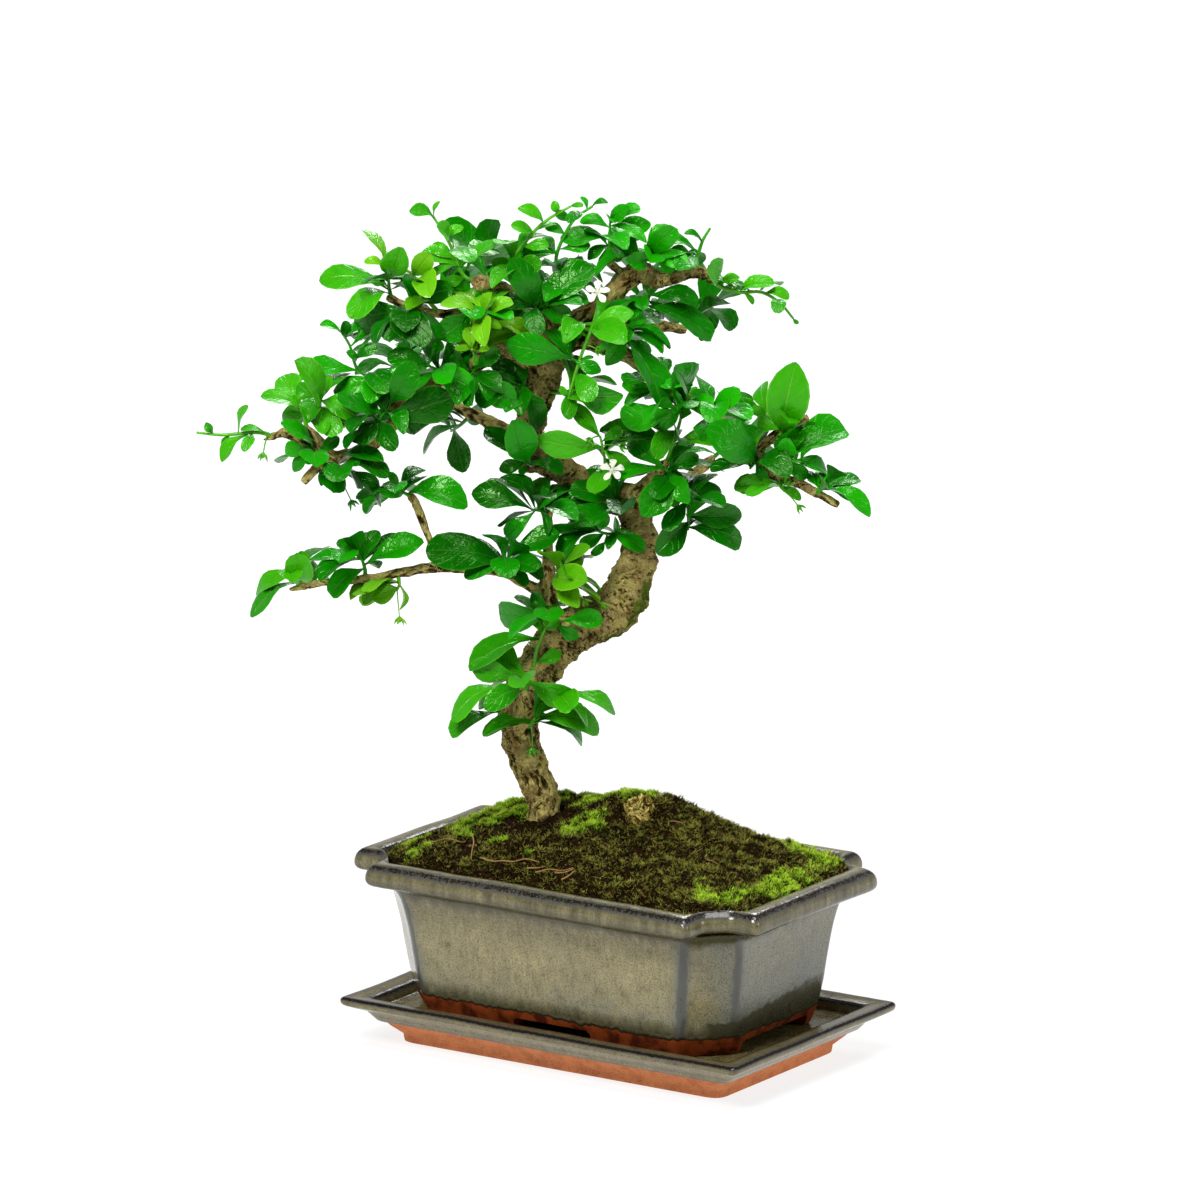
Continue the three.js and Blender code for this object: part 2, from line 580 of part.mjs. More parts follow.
    "leaves": [
      [23, 124, 4, 25, 132, 12, 5.5], [26, 121, 4, 41, 118, 8, 5.5],
      [24, 121, 4, 15, 118, 9, 6],
    ],
  },
  {
    "name": "spray_branch_big", "tone": "dark", "fill": 0, "bare": 2.5,
    "stem": [[-17, 108.5, 15], [-16, 112, 15], [-15, 115, 17]],
    "leaves": [
      [-18, 114, 17, -48, 120, 24, 12.5], [-15, 115, 17, 6, 126, 17, 8],
      [-14, 113, 17, 0, 107, 17, 5.5], [-17, 112, 17, -32, 108, 23, 7.5],
    ],
  },
  {
    "name": "spray_stem_right", "tone": "young", "fill": 0, "bare": 4.5,
    "stem": [[1.5, 108, 12.5], [5, 107, 14], [8.5, 105, 17.5]],
    "buds": [[24, 95, 16], [17, 97, 18]],
    "leaves": [
      [5, 106, 14, 17, 110, 38, 9], [5, 105, 14, 11, 95, 6, 6.5], [4, 111, 14, 16, 113, 7, 5],
      [5, 103, 14, 23, 98, 20, 2.5],
    ],
  },
  {
    "name": "spray_bend_front", "tone": "mid", "fill": 0, "bare": 5.5,
    "stem": [[6, 87.5, 14], [4, 92, 19], [2.5, 93.5, 22]],
    "leaves": [
      [3, 93, 20, -20, 90, 13, 13], [7, 89, 20, 24, 90, 20, 8.5], [5, 88, 20, 14, 82, 21, 5.5],
      [2, 94, 20, -5, 101, 18, 5.5],
    ],
  },
  {
    "name": "spray_branchlet_top", "tone": "bright", "fill": 0, "bare": 3.5,
    "node": "spray_branchlet",
    "stem": [[-8.5, 58, 16], [-4, 70, 17], [-3, 77, 18], [1, 87, 19]],
    "leaves": [
      [-3, 82, 19, -32, 72, 19, 5], [-7, 71, 19, 7, 76, 19, 6], [1, 85, 19, 6, 90, 23, 3.5],
    ],
  },
  {
    "name": "spray_branchlet_mid", "tone": "mid", "fill": 0, "bare": 0.5,
    "node": "spray_branchlet",
    "stem": [[-6.5, 63.5, 16.5], [-8.5, 65, 19], [-9, 66, 21]],
    "leaves": [
      [-9, 70, 21, -30, 71, 21, 11], [-9, 65, 21, 13, 57, 25, 12.5],
      [-9, 60, 21, -23, 58, 35, 7.5], [-12, 62, 21, -39, 54, 30, 2.5],
      [-13, 60, 21, -28, 53, 14, 6.5],
    ],
  },
  {
    "name": "spray_branchlet_right", "tone": "mid", "fill": 0, "bare": 11,
    "node": "spray_branchlet",
    "stem": [[-8.5, 53.5, 6], [0, 56, 16], [6, 58, 18], [9.5, 58.5, 24]],
    "leaves": [
      [9, 58, 16, 30, 51, 16, 5.5], [5, 56, 16, 19, 47, 22, 3.5],
    ],
  },
  {
    "name": "spray_branchlet_low", "tone": "bright", "fill": 0, "bare": 4,
    "stem": [[-7, 42, 13], [-5, 46, 17], [-3.5, 47.5, 20]],
    "buds": [[-5, 33, 13]],
    "leaves": [
      [-8, 50, 17, -25, 44, 25, 3.5], [-6, 46, 17, -24, 42, 25, 3.5],
      [-2, 48, 17, 23, 46, 17, 8], [-2, 46, 17, 16, 36, 10, 3.5], [-18, 50, 17, -39, 47, 24, 3],
    ],
  },
  {
    "name": "spray_branch_tip", "tone": "bright", "fill": 0, "bare": 2.5,
    "stem": [[-98, 105, 25], [-99, 107, 25], [-100.5, 111, 25.5]],
    "leaves": [
      [-101, 111, 25, -119, 104, 25, 5.5], [-97, 102, 25, -120, 96, 36, 2.5],
      [-98, 104, 25, -100, 120, 42, 12.5], [-95, 108, 25, -99, 120, 29, 7.5],
    ],
  },
  {
    "name": "spray_branch_mid", "tone": "mid", "fill": 0, "bare": 2.5,
    "stem": [[-73, 107.5, 23], [-73, 111, 23], [-74, 115, 24], [-75, 117, 25]],
    "leaves": [
      [-76, 118, 25, -96, 116, 25, 5.5], [-76, 119, 25, -84, 124, 25, 5],
      [-74, 117, 25, -68, 128, 25, 5.5], [-72, 112, 25, -87, 102, 29, 6.5],
      [-72, 115, 25, -50, 125, 25, 8],
    ],
  },
  {
    "name": "spray_branch_under", "tone": "young", "fill": 0, "bare": 3,
    "stem": [[-59.5, 109.5, 21.5], [-59, 105, 23], [-60, 103, 24]],
    "buds": [[-59, 91, 25]],
    "leaves": [
      [-60, 104, 24, -71, 102, 28, 10.5], [-59, 104, 24, -57, 96, 27, 2.5],
    ],
  },
  {
    "name": "spray_back_left", "tone": "mid", "fill": 7, "bare": 4.5,
    "stem": [[-45.5, 171, -36.5], [-53, 176, -43], [-59, 179, -50], [-62, 180, -56]],
    "leaves": [],
  },
  {
    "name": "spray_back_low_left", "tone": "dark", "fill": 5, "bare": 4,
    "stem": [[-30, 166, -28], [-35, 160, -34], [-39, 156, -41]],
    "leaves": [],
  },
  {
    "name": "spray_back_top_left", "tone": "mid", "fill": 7, "bare": 4,
    "stem": [[-18.5, 215, -34], [-24, 221, -42], [-27, 223, -50], [-28, 222, -57]],
    "leaves": [],
  },
  {
    "name": "spray_back_top_right", "tone": "dark", "fill": 7, "bare": 3.5,
    "stem": [[56.5, 200.5, -35], [63, 205, -40], [67, 207, -48], [69, 206, -55]],
    "leaves": [],
  },
  {
    "name": "spray_back_right", "tone": "mid", "fill": 6, "bare": 4.5,
    "stem": [[40, 204, -24], [42, 210, -32], [43, 212, -40]],
    "leaves": [],
  },
  {
    "name": "spray_back_low_right", "tone": "mid", "fill": 7, "bare": 3,
    "stem": [[68.5, 145, -32.5], [75, 150, -39], [80, 152, -46], [83, 152, -52]],
    "leaves": [],
  },
];

// Numbers that look random but are the same on every run
function makeRandom(seed) {
  let state = seed;
  return () => {
    state = (state * 16807) % 2147483647;
    return state / 2147483647;
  };
}

// Wrinkles of the bark and the soil: a few waves that never line up
function ripple(a, b) {
  return Math.sin(a * 1.7 + 1.3) * Math.cos(b * 2.3 + 0.4) + 0.5 * Math.sin(a * 4.1 + b * 3.7);
}

function toSolid(geometry) {
  const bare = geometry.clone();
  bare.deleteAttribute("normal");
  bare.deleteAttribute("uv");
  const merged = mergeVertices(bare, 1e-4);
  return new wasm.Manifold(new wasm.Mesh({
    numProp: 3,
    vertProperties: new Float32Array(merged.attributes.position.array),
    triVerts: new Uint32Array(merged.index.array),
  }));
}

function toGeometry(solid) {
  const mesh = solid.getMesh();
  const geometry = new THREE.BufferGeometry();
  geometry.setAttribute("position", new THREE.BufferAttribute(mesh.vertProperties, 3));
  geometry.setIndex(new THREE.BufferAttribute(mesh.triVerts, 1));
  geometry.computeVertexNormals();
  return geometry;
}

// A closed body through rings of equal point counts, its two end rings filled
function loft(rings) {
  const count = rings[0].length;
  const points = rings.flat();
  const faces = [];
  for (let r = 0; r + 1 < rings.length; r += 1) {
    for (let i = 0; i < count; i += 1) {
      const a = r * count + i;
      const b = r * count + ((i + 1) % count);
      faces.push([a, b, b + count], [a, b + count, a + count]);
    }
  }
  const first = flatFaces(rings[0]);
  const last = flatFaces(rings[rings.length - 1]);
  const lastStart = (rings.length - 1) * count;
  first.forEach(([a, b, c]) => faces.push([c, b, a]));
  last.forEach(([a, b, c]) => faces.push([lastStart + a, lastStart + b, lastStart + c]));
  return meshOf(points, faces);
}

// Triangles that fill one ring, turning the way the ring does
function flatFaces(ring) {
  const normal = new THREE.Vector3();
  ring.forEach((point, i) => {
    normal.add(new THREE.Vector3().crossVectors(point, ring[(i + 1) % ring.length]));
  });
  normal.normalize();
  const side = Math.abs(normal.z) > 0.7 ? new THREE.Vector3(1, 0, 0) : new THREE.Vector3(0, 0, 1);
  const across = new THREE.Vector3().crossVectors(side, normal).normalize();
  const along = new THREE.Vector3().crossVectors(normal, across);
  const flat = ring.map((point) => new THREE.Vector2(point.dot(across), point.dot(along)));
  return THREE.ShapeUtils.triangulateShape(flat, []);
}

// A solid from points and faces, turned so that its faces point out
function meshOf(points, faces) {
  let volume = 0;
  faces.forEach(([a, b, c]) => {
    const cross = new THREE.Vector3().crossVectors(points[b], points[c]);
    volume += points[a].dot(cross);
  });
  const ordered = volume > 0 ? faces : faces.map(([a, b, c]) => [a, c, b]);
  const geometry = new THREE.BufferGeometry().setFromPoints(points);
  geometry.setIndex(ordered.flat());
  return toSolid(geometry);
}

function rod(radius, height, x, y, z, sides) {
  const geometry = new THREE.CylinderGeometry(radius, radius, height, sides);
  geometry.rotateX(Math.PI / 2);
  geometry.translate(x, y, z + height / 2);
  return toSolid(geometry);
}

function unite(solids) {
  return solids.reduce((whole, next) => whole.add(next));
}

// The largest of the bodies that a cut leaves
function largest(solid) {
  const bodies = solid.decompose();
  return bodies.reduce((best, next) => (next.volume() > best.volume() ? next : best));
}

// A level rectangle with plain corners
function plainRing(halfX, halfY, z) {
  const corners = [[1, 1], [-1, 1], [-1, -1], [1, -1]];
  return corners.map(([sx, sy]) => new THREE.Vector3(sx * halfX, sy * halfY, z));
}

// A level rectangle whose corners are four points each: a stepped notch, or a plain chamfer
function corneredRing(halfX, halfY, z, cut, step) {
  const third = cut / 3;
  const corner = step > 0
    ? [[0, cut], [step, cut], [cut, step], [cut, 0]]
    : [[0, cut], [third, 2 * third], [2 * third, third], [cut, 0]];
  const quadrants = [[1, 1], [-1, 1], [-1, -1], [1, -1]];
  return quadrants.flatMap(([sx, sy], q) => {
    const points = q % 2 === 0 ? corner : [...corner].reverse();
    return points.map(([dx, dy]) => new THREE.Vector3(sx * (halfX - dx), sy * (halfY - dy), z));
  });
}

function buildTray() {
  const footInset = (TRAY.length - TRAY.footLength) / 2;
  const sideInset = (TRAY.depth - TRAY.footDepth) / 2;
  const outside = TRAY_FOOT.map(([share, z]) => plainRing(
    TRAY.length / 2 - footInset * share,
    TRAY.depth / 2 - sideInset * share,
    z,
  ));
  const lip = TRAY_LIP.map(([inset, drop]) => plainRing(
    TRAY.length / 2 - inset,
    TRAY.depth / 2 - inset,
    TRAY.height - drop,
  ));
  const inner = TRAY.rimWidth + TRAY.innerDraft;
  const floor = plainRing(TRAY.length / 2 - inner, TRAY.depth / 2 - inner, TRAY.floor);
  return loft([...outside, ...lip, floor]);
}

// The pot's outline at one height, from how far it stands out of the foot
function potRing(out, z, chamfer = POT.chamfer) {
  return corneredRing(POT.footLength / 2 + out, POT.footDepth / 2 + out, z, chamfer, 0);
}

function lipRing(inset, z) {
  return corneredRing(POT.length / 2 - inset, POT.depth / 2 - inset, z, POT.notch, POT.notchStep);
}

function potCavity(shrink) {
  const ring = (inset, z) => corneredRing(
    POT.length / 2 - inset - shrink,
    POT.depth / 2 - inset - shrink,
    z,
    POT.chamfer,
    0,
  );
  const floor = POT.base + POT.gapUnder + POT.bottom + shrink;
  return loft([
    ring(POT_CAVITY.floorInset, floor),
    ...POT_CAVITY.walls.map(([inset, drop]) => ring(inset, POT.top - drop)),
    ring(POT.rimWidth, POT.top + POT.height),
  ]);
}

function buildPot() {
  const low = POT.base;
  const lipLow = POT.top - POT.lipHeight;
  const outer = loft([
    ...POT_BODY.map(([out, height]) => potRing(out, low + height)),
    ...POT_COVE.map(([out, drop]) => potRing(out, lipLow - drop)),
    ...POT_LIP.map(([inset, height]) => lipRing(inset, lipLow + height)),
  ]);
  const under = loft([
    potRing(-POT.footWall, low - 1, POT.chamfer / 2),
    potRing(-POT.footWall, low + POT.gapUnder, POT.chamfer / 2),
  ]);
  const cuts = [
    under,
    arch(POT.frontArch, POT.archRise, POT.footDepth + 20, 0, low),
    arch(POT.sideArch, POT.archRise, POT.footLength + 20, Math.PI / 2, low),
    potCavity(0),
  ];
  drainPlaces().forEach(([x, y]) => {
    cuts.push(rod(POT.drainRadius, 20, x, y, low, 8));
  });
  return outer.subtract(unite(cuts)).translate([POT.offset[0], POT.offset[1], 0]);
}

// A low round-shouldered tunnel under the foot
function arch(width, rise, length, turn, low) {
  const shape = new THREE.Shape();
  const half = width / 2;
  shape.moveTo(-half, -1);
  shape.lineTo(half, -1);
  shape.lineTo(half - 1, rise * 0.55);
  shape.lineTo(half - ARCH_SHOULDER, rise);
  shape.lineTo(-half + ARCH_SHOULDER, rise);
  shape.lineTo(-half + 1, rise * 0.55);
  const geometry = new THREE.ExtrudeGeometry(shape, { depth: length, bevelEnabled: false });
  geometry.translate(0, 0, -length / 2);
  geometry.rotateX(Math.PI / 2);
  geometry.rotateZ(turn);
  geometry.translate(0, 0, low);
  return toSolid(geometry);
}

function drainPlaces() {
  return [[-POT.drainSpacing / 2, 0], [POT.drainSpacing / 2, 0]];
}

function soilHeight(x, y) {
  const dx = x - POT.offset[0];
  const dy = y - POT.offset[1];
  const edge = (1 - (dx / SOIL.halfLength) ** 4) * (1 - (dy / SOIL.halfDepth) ** 4);
  const bump = (at, sizeX, sizeY) => {
    return Math.exp(-(((dx - at[0]) / sizeX) ** 2) - ((dy - at[1]) / sizeY) ** 2);
  };
  const foot = Math.exp(-((x - FOOT[0]) ** 2 + (y - FOOT[1]) ** 2) / SOIL.dipSize ** 2);
  return SOIL.edge
    + SOIL.swell * Math.max(edge, 0)
    + SOIL.mound * bump(SOIL.moundAt, SOIL.moundSize[0], SOIL.moundSize[1]) * Math.max(edge, 0)
    + SOIL.sideMound * bump(SOIL.sideMoundAt, SOIL.sideMoundSize, SOIL.sideMoundSize)
    - SOIL.dip * foot
    + SOIL.grain * ripple(x * 0.13, y * 0.17);
}

function buildSoil(woodClear) {
  const halfX = POT.length / 2;
  const halfY = POT.depth / 2;
  const points = [];
  const faces = [];
  const wide = SOIL.columns + 1;
  const deep = SOIL.rows + 1;
  for (let level = 0; level < 2; level += 1) {
    for (let j = 0; j < deep; j += 1) {
      for (let i = 0; i < wide; i += 1) {
        const x = POT.offset[0] - halfX + (2 * halfX * i) / SOIL.columns;
        const y = POT.offset[1] - halfY + (2 * halfY * j) / SOIL.rows;
        points.push(new THREE.Vector3(x, y, level === 0 ? 0 : soilHeight(x, y)));
      }
    }
  }
  const at = (i, j, level) => level * wide * deep + j * wide + i;
  const quad = (a, b, c, d) => faces.push([a, b, c], [a, c, d]);
  for (let j = 0; j < SOIL.rows; j += 1) {
    for (let i = 0; i < SOIL.columns; i += 1) {
      quad(at(i, j, 1), at(i + 1, j, 1), at(i + 1, j + 1, 1), at(i, j + 1, 1));
      quad(at(i, j, 0), at(i, j + 1, 0), at(i + 1, j + 1, 0), at(i + 1, j, 0));
    }
  }
  for (let i = 0; i < SOIL.columns; i += 1) {
    quad(at(i, 0, 0), at(i + 1, 0, 0), at(i + 1, 0, 1), at(i, 0, 1));
    quad(at(i + 1, SOIL.rows, 0), at(i, SOIL.rows, 0), at(i, SOIL.rows, 1), at(i + 1, SOIL.rows, 1));
  }
  for (let j = 0; j < SOIL.rows; j += 1) {
    quad(at(0, j + 1, 0), at(0, j, 0), at(0, j, 1), at(0, j + 1, 1));
    const end = SOIL.columns;
    quad(at(end, j, 0), at(end, j + 1, 0), at(end, j + 1, 1), at(end, j, 1));
  }
  const room = potCavity(GAP).translate([POT.offset[0], POT.offset[1], 0]);
  return largest(meshOf(points, faces).intersect(room).subtract(woodClear)).simplify(SOIL.finest);
}

// From the tree's own plane to the object's frame
function place([across, up, out]) {
  const c = Math.cos(PLANE_TURN);
  const s = Math.sin(PLANE_TURN);
  return new THREE.Vector3(
    FOOT[0] + across * c + out * s,
    FOOT[1] + across * s - out * c,
    FOOT[2] + up,
  );
}

const VIEWER = new THREE.Vector3(Math.sin(PLANE_TURN), -Math.cos(PLANE_TURN), 0);
const UP = new THREE.Vector3(0, 0, 1);

// A tapering round body along a smooth route; each route point is [across, up, out, radius]
function limb({ route, sides, spacing, knobs }, extra) {
  const curve = new THREE.CatmullRomCurve3(route.map(place), false, "centripetal");
  const steps = Math.max(route.length - 1, Math.round(curve.getLength() / spacing));
  let tangent = curve.getTangent(0);
  const arm = new THREE.Vector3().crossVectors(tangent, new THREE.Vector3(0.31, 0.77, 0.55));
  arm.normalize();
  const rings = [];
  for (let k = 0; k <= steps; k += 1) {
    const t = k / steps;
    const next = curve.getTangent(t);
    arm.applyQuaternion(new THREE.Quaternion().setFromUnitVectors(tangent, next));
    tangent = next;
    const span = t * (route.length - 1);
    const low = Math.min(Math.floor(span), route.length - 2);
    const radius = THREE.MathUtils.lerp(route[low][3], route[low + 1][3], span - low);
    const spot = curve.getPoint(t);
    rings.push(Array.from({ length: sides }, (_, i) => {
      const angle = (i / sides) * Math.PI * 2;
      const swell = 1 + knobs * ripple(k * 1.1 + i * 2.1, angle * 2 + k * 0.3);
      const spoke = arm.clone().applyAxisAngle(tangent, angle);
      return spot.clone().addScaledVector(spoke, radius * swell + extra);
    }));
  }
  return loft(rings);
}

function buildWood(extra) {
  return unite(WOOD.map((part) => limb(part, extra)));
}

const GOLDEN_ANGLE = 2.4;

// A leaf blade: narrow foot, widest past the middle and a blunt tip. It is arched along
// its length and folded along its midrib. Each row is [along, half width, has a midrib point].
const BIG_ROWS = [[0.4, 0.72, false], [0.8, 0.95, true]];
const SMALL_ROWS = [[0.66, 1, true]];
const BIG_LEAF = 10.5;
const FOOT_REACH = 3;
const STRAIGHT = 0.6;

// Points and faces of one side of a blade, and its outline as point numbers
function bladeFace(root, base, tip, width, normal, lift) {
  const axis = tip.clone().sub(base);
  const length = axis.length();
  axis.normalize();
  const side = new THREE.Vector3().crossVectors(axis, normal).normalize();
  const points = [];
  const left = [];
  const right = [];
  const faces = [];
  let previous = [];
  const addRow = (from, along, reach, middle) => {
    const rise = length * (LEAF.arch * Math.sin(Math.PI * along) - LEAF.droop * along ** 2);
    const row = [];
    const shares = middle ? [-1, 0, 1] : [-1, 1];
    shares.forEach((share) => {
      row.push(points.length);
      points.push(from.clone().addScaledVector(axis, along * length)
        .addScaledVector(side, share * reach)
        .addScaledVector(normal, lift + rise + LEAF.fold * Math.abs(share) * reach));
    });
    for (let i = 0; i + 1 < Math.max(row.length, previous.length); i += 1) {
      const a = previous[Math.min(i, previous.length - 1)];
      const b = previous[Math.min(i + 1, previous.length - 1)];
      const c = row[Math.min(i, row.length - 1)];
      const d = row[Math.min(i + 1, row.length - 1)];
      if (previous.length > 0 && a !== b) faces.push([a, b, c]);
      if (previous.length > 0 && c !== d) faces.push([b, d, c]);
    }
    previous = row;
    left.push(row[0]);
    right.push(row[row.length - 1]);
  };
  if (root.distanceTo(base) > 0) addRow(root, 0, LEAF.foot, false);
  addRow(base, 0, LEAF.foot, false);
  (width > BIG_LEAF ? BIG_ROWS : SMALL_ROWS).forEach(([along, share, middle]) => {
    addRow(base, along, (width / 2) * share, middle);
  });
  const tipRise = -length * LEAF.droop;
  const tipPoint = points.length;
  points.push(tip.clone().addScaledVector(normal, lift + tipRise));
  faces.push([previous[0], previous[1], tipPoint], [previous[1], previous[2], tipPoint]);
  return { points, faces, outline: [...right, tipPoint, ...left.reverse()] };
}

function blade({ root, base, tip, width, normal }) {
  const under = bladeFace(root, base, tip, width, normal, -LEAF.thickness / 2);
  const over = bladeFace(root, base, tip, width, normal, LEAF.thickness / 2);
  const count = under.points.length;
  const faces = under.faces.map(([a, b, c]) => [a, c, b]);
  over.faces.forEach((face) => faces.push(face.map((i) => i + count)));
  under.outline.forEach((a, i) => {
    const b = under.outline[(i + 1) % under.outline.length];
    faces.push([a, b, b + count], [a, b + count, a + count]);
  });
  return meshOf([...under.points, ...over.points], faces);
}

// The upper side of a leaf: turned just so far from the viewer that the stated width shows
function leafNormal(axis, shown, width) {
  const facing = VIEWER.clone().addScaledVector(axis, -VIEWER.dot(axis));
  if (facing.length() < 0.2) {
    return UP.clone().addScaledVector(axis, -UP.dot(axis)).normalize();
  }
  facing.normalize();
  const edge = new THREE.Vector3().crossVectors(axis, facing);
  const turn = Math.acos(Math.min(shown / width, 1));
  const way = edge.z >= 0 ? 1 : -1;
  return facing.multiplyScalar(Math.cos(turn)).addScaledVector(edge, way * Math.sin(turn));
}

// The place on a stem that lies nearest to a spot, as a distance along the stem
function nearestAlong(stem, spot) {
  let travelled = 0;
  let best = { gap: Infinity, along: 0 };
  for (let k = 0; k + 1 < stem.length; k += 1) {
    const line = new THREE.Line3(stem[k], stem[k + 1]);
    const share = line.closestPointToPointParameter(spot, true);
    const gap = line.at(share, new THREE.Vector3()).distanceTo(spot);
    if (gap < best.gap) best = { gap, along: travelled + share * line.distance() };
    travelled += line.distance();
  }
  return best.along;
}

function pointAlong(stem, along) {
  let left = along;
  for (let k = 0; k + 1 < stem.length; k += 1) {
    const step = stem[k].distanceTo(stem[k + 1]);
    if (left <= step || k + 2 === stem.length) {
      return stem[k].clone().lerp(stem[k + 1], Math.min(left / step, 1));
    }
    left -= step;
  }
  return stem[0].clone();
}

function lengthOf(stem) {
  let length = 0;
  for (let k = 0; k + 1 < stem.length; k += 1) length += stem[k].distanceTo(stem[k + 1]);
  return length;
}

// Where the leaves leave the stem: each nearest to its leaf, but none on top of another
function leafRoots(stem, bare, spots) {
  const length = lengthOf(stem);
  const spacing = Math.min(LEAF.spacing, (length - bare) / (spots.length + 0.5));
  const order = spots.map((spot, i) => ({ i, along: nearestAlong(stem, spot) }));
  order.sort((a, b) => a.along - b.along);
  let ceiling = length - 0.2 * spacing;
  for (let k = order.length - 1; k >= 0; k -= 1) {
    order[k].along = Math.min(order[k].along, ceiling);
    ceiling = order[k].along - spacing;
  }
  const roots = [];
  order.forEach(({ i, along }) => {
    roots[i] = pointAlong(stem, Math.max(along, bare));
  });
  return roots;
}

function stemSolid(points, thick, thin, sides) {
  const rings = points.map((spot, k) => {
    const before = points[Math.max(k - 1, 0)];
    const after = points[Math.min(k + 1, points.length - 1)];
    const tangent = after.clone().sub(before).normalize();
    const arm = new THREE.Vector3().crossVectors(tangent, new THREE.Vector3(0.31, 0.77, 0.55));
    arm.setLength(THREE.MathUtils.lerp(thick, thin, k / (points.length - 1)));
    return Array.from({ length: sides }, (_, i) => {
      const angle = (i / sides) * Math.PI * 2;
      return spot.clone().add(arm.clone().applyAxisAngle(tangent, angle));
    });
  });
  return loft(rings);
}

// Leaves that follow a rule: set round the stem by the golden angle, leaning outwards
function ruledLeaves(stem, bare, count, random) {
  const free = lengthOf(stem) - bare;
  const leaves = [];
  for (let k = 0; k < count; k += 1) {
    const share = count > 3 ? 0.1 + (0.88 * k) / (count - 1) : 0.5 + 0.45 * random();
    const along = bare + free * share;
    const root = pointAlong(stem, along);
    const tangent = pointAlong(stem, along + 0.5).sub(pointAlong(stem, along - 0.5)).normalize();
    const arm = new THREE.Vector3().crossVectors(tangent, UP).normalize();
    arm.applyAxisAngle(tangent, k * GOLDEN_ANGLE + random() * 0.8);
    if (count <= 3) arm.addScaledVector(VIEWER, -1.2);
    const axis = arm.addScaledVector(tangent, 0.7).addScaledVector(UP, 0.3).normalize();
    const length = RULED.shortest + RULED.spread * random();
    const tip = root.clone().addScaledVector(axis, length);
    const normal = UP.clone().multiplyScalar(1.2).add(tangent);
    normal.addScaledVector(axis, -normal.dot(axis)).normalize();
    const width = length * (RULED.narrowest + RULED.widthSpread * random());
    leaves.push({ root, base: root, tip, width, normal });
  }
  return leaves;
}

function plannedLeaves(rows, stem, bare) {
  const roots = leafRoots(stem, bare, rows.map(([a, b, c]) => place([a, b, c])));
  return rows.map(([a, b, c, d, e, f, shown], i) => {
    const tip = place([d, e, f]);
    const spot = place([a, b, c]);
    const lead = spot.clone().sub(roots[i]);
    const forward = lead.dot(tip.clone().sub(spot).normalize());
    const stalked = lead.length() > FOOT_REACH && forward > STRAIGHT * lead.length();
    const base = stalked ? spot : roots[i];
    const axis = tip.clone().sub(base);
    const width = Math.max(shown, LEAF.narrowest * axis.length());
    return { root: roots[i], base, tip, width, normal: leafNormal(axis.normalize(), shown, width) };
  });
}

function sprayLeaves(spray, random) {
  const stem = spray.stem.map(place);
  return [
    ...plannedLeaves(spray.leaves, stem, spray.bare),
    ...ruledLeaves(stem, spray.bare, spray.fill, random),
  ];
}

// A flower bud on its thread
function bud(stem, bare, spot) {
  const centre = place(spot);
  const bead = new THREE.OctahedronGeometry(BUD.radius);
  bead.scale(1, 1, 1.4);
  bead.translate(centre.x, centre.y, centre.z);
  const start = pointAlong(stem, Math.max(nearestAlong(stem, centre), bare));
  const thread = stemSolid([start, centre], BUD.thread, BUD.thread, 3);
  return toSolid(bead).add(thread);
}

function spraySolids(spray, index) {
  const stem = spray.stem.map(place);
  const solids = [stemSolid(stem, STEM.radius, STEM.tipRadius, STEM.sides)];
  sprayLeaves(spray, makeRandom(FIRST_SEED + index)).forEach((leaf) => solids.push(blade(leaf)));
  (spray.buds ?? []).forEach((spot) => solids.push(bud(stem, spray.bare, spot)));
  return solids;
}

// An open flower: five white petals round a small throat, facing the viewer
function buildFlower(centre) {
  const middle = place(centre);
  const normal = VIEWER.clone().addScaledVector(UP, 0.5).normalize();
  const arm = new THREE.Vector3().crossVectors(UP, normal).normalize();
  const throat = new THREE.CylinderGeometry(FLOWER.throat, FLOWER.throat * 0.7, 1.6, 6);
  throat.applyQuaternion(new THREE.Quaternion().setFromUnitVectors(new THREE.Vector3(0, 1, 0), normal));
  throat.translate(middle.x, middle.y, middle.z);
  const solids = [toSolid(throat)];
  for (let k = 0; k < FLOWER.petals; k += 1) {
    const axis = arm.clone().applyAxisAngle(normal, (k / FLOWER.petals) * Math.PI * 2 + 0.3);
    axis.addScaledVector(normal, 0.15).normalize();
    const upright = normal.clone().addScaledVector(axis, -normal.dot(axis)).normalize();
    const tip = middle.clone().addScaledVector(axis, FLOWER.petalLength);
    solids.push(blade({ root: middle, base: middle, tip, width: FLOWER.petalWidth, normal: upright }));
  }
  return unite(solids);
}

// A dry, curled tuft of old moss that lies on the mound
function buildTuft(soil) {
  const geometry = new THREE.IcosahedronGeometry(1, 1);
  const spot = geometry.attributes.position;
  for (let i = 0; i < spot.count; i += 1) {
    const p = new THREE.Vector3().fromBufferAttribute(spot, i);
    const swell = 1 + 0.18 * ripple(p.x * 3, p.z * 3 + p.y * 2);
    p.set(p.x * TUFT.size[0], p.y * TUFT.size[1], p.z * TUFT.size[2]).multiplyScalar(swell);
    spot.setXYZ(i, p.x + TUFT.at[0], p.y + TUFT.at[1], p.z + soilHeight(...TUFT.at) + TUFT.lift);
  }
  return largest(toSolid(geometry).subtract(soil.translate([0, 0, GAP])));
}

const object = new THREE.Group();

function add(name, solid, colour, roughness) {
  const material = new THREE.MeshStandardMaterial({ color: colour, roughness, metalness: 0 });
  const mesh = new THREE.Mesh(toGeometry(solid), material);
  mesh.name = name;
  object.add(mesh);
}

const wood = buildWood(0);
const woodClear = buildWood(GAP);
const soil = buildSoil(woodClear);

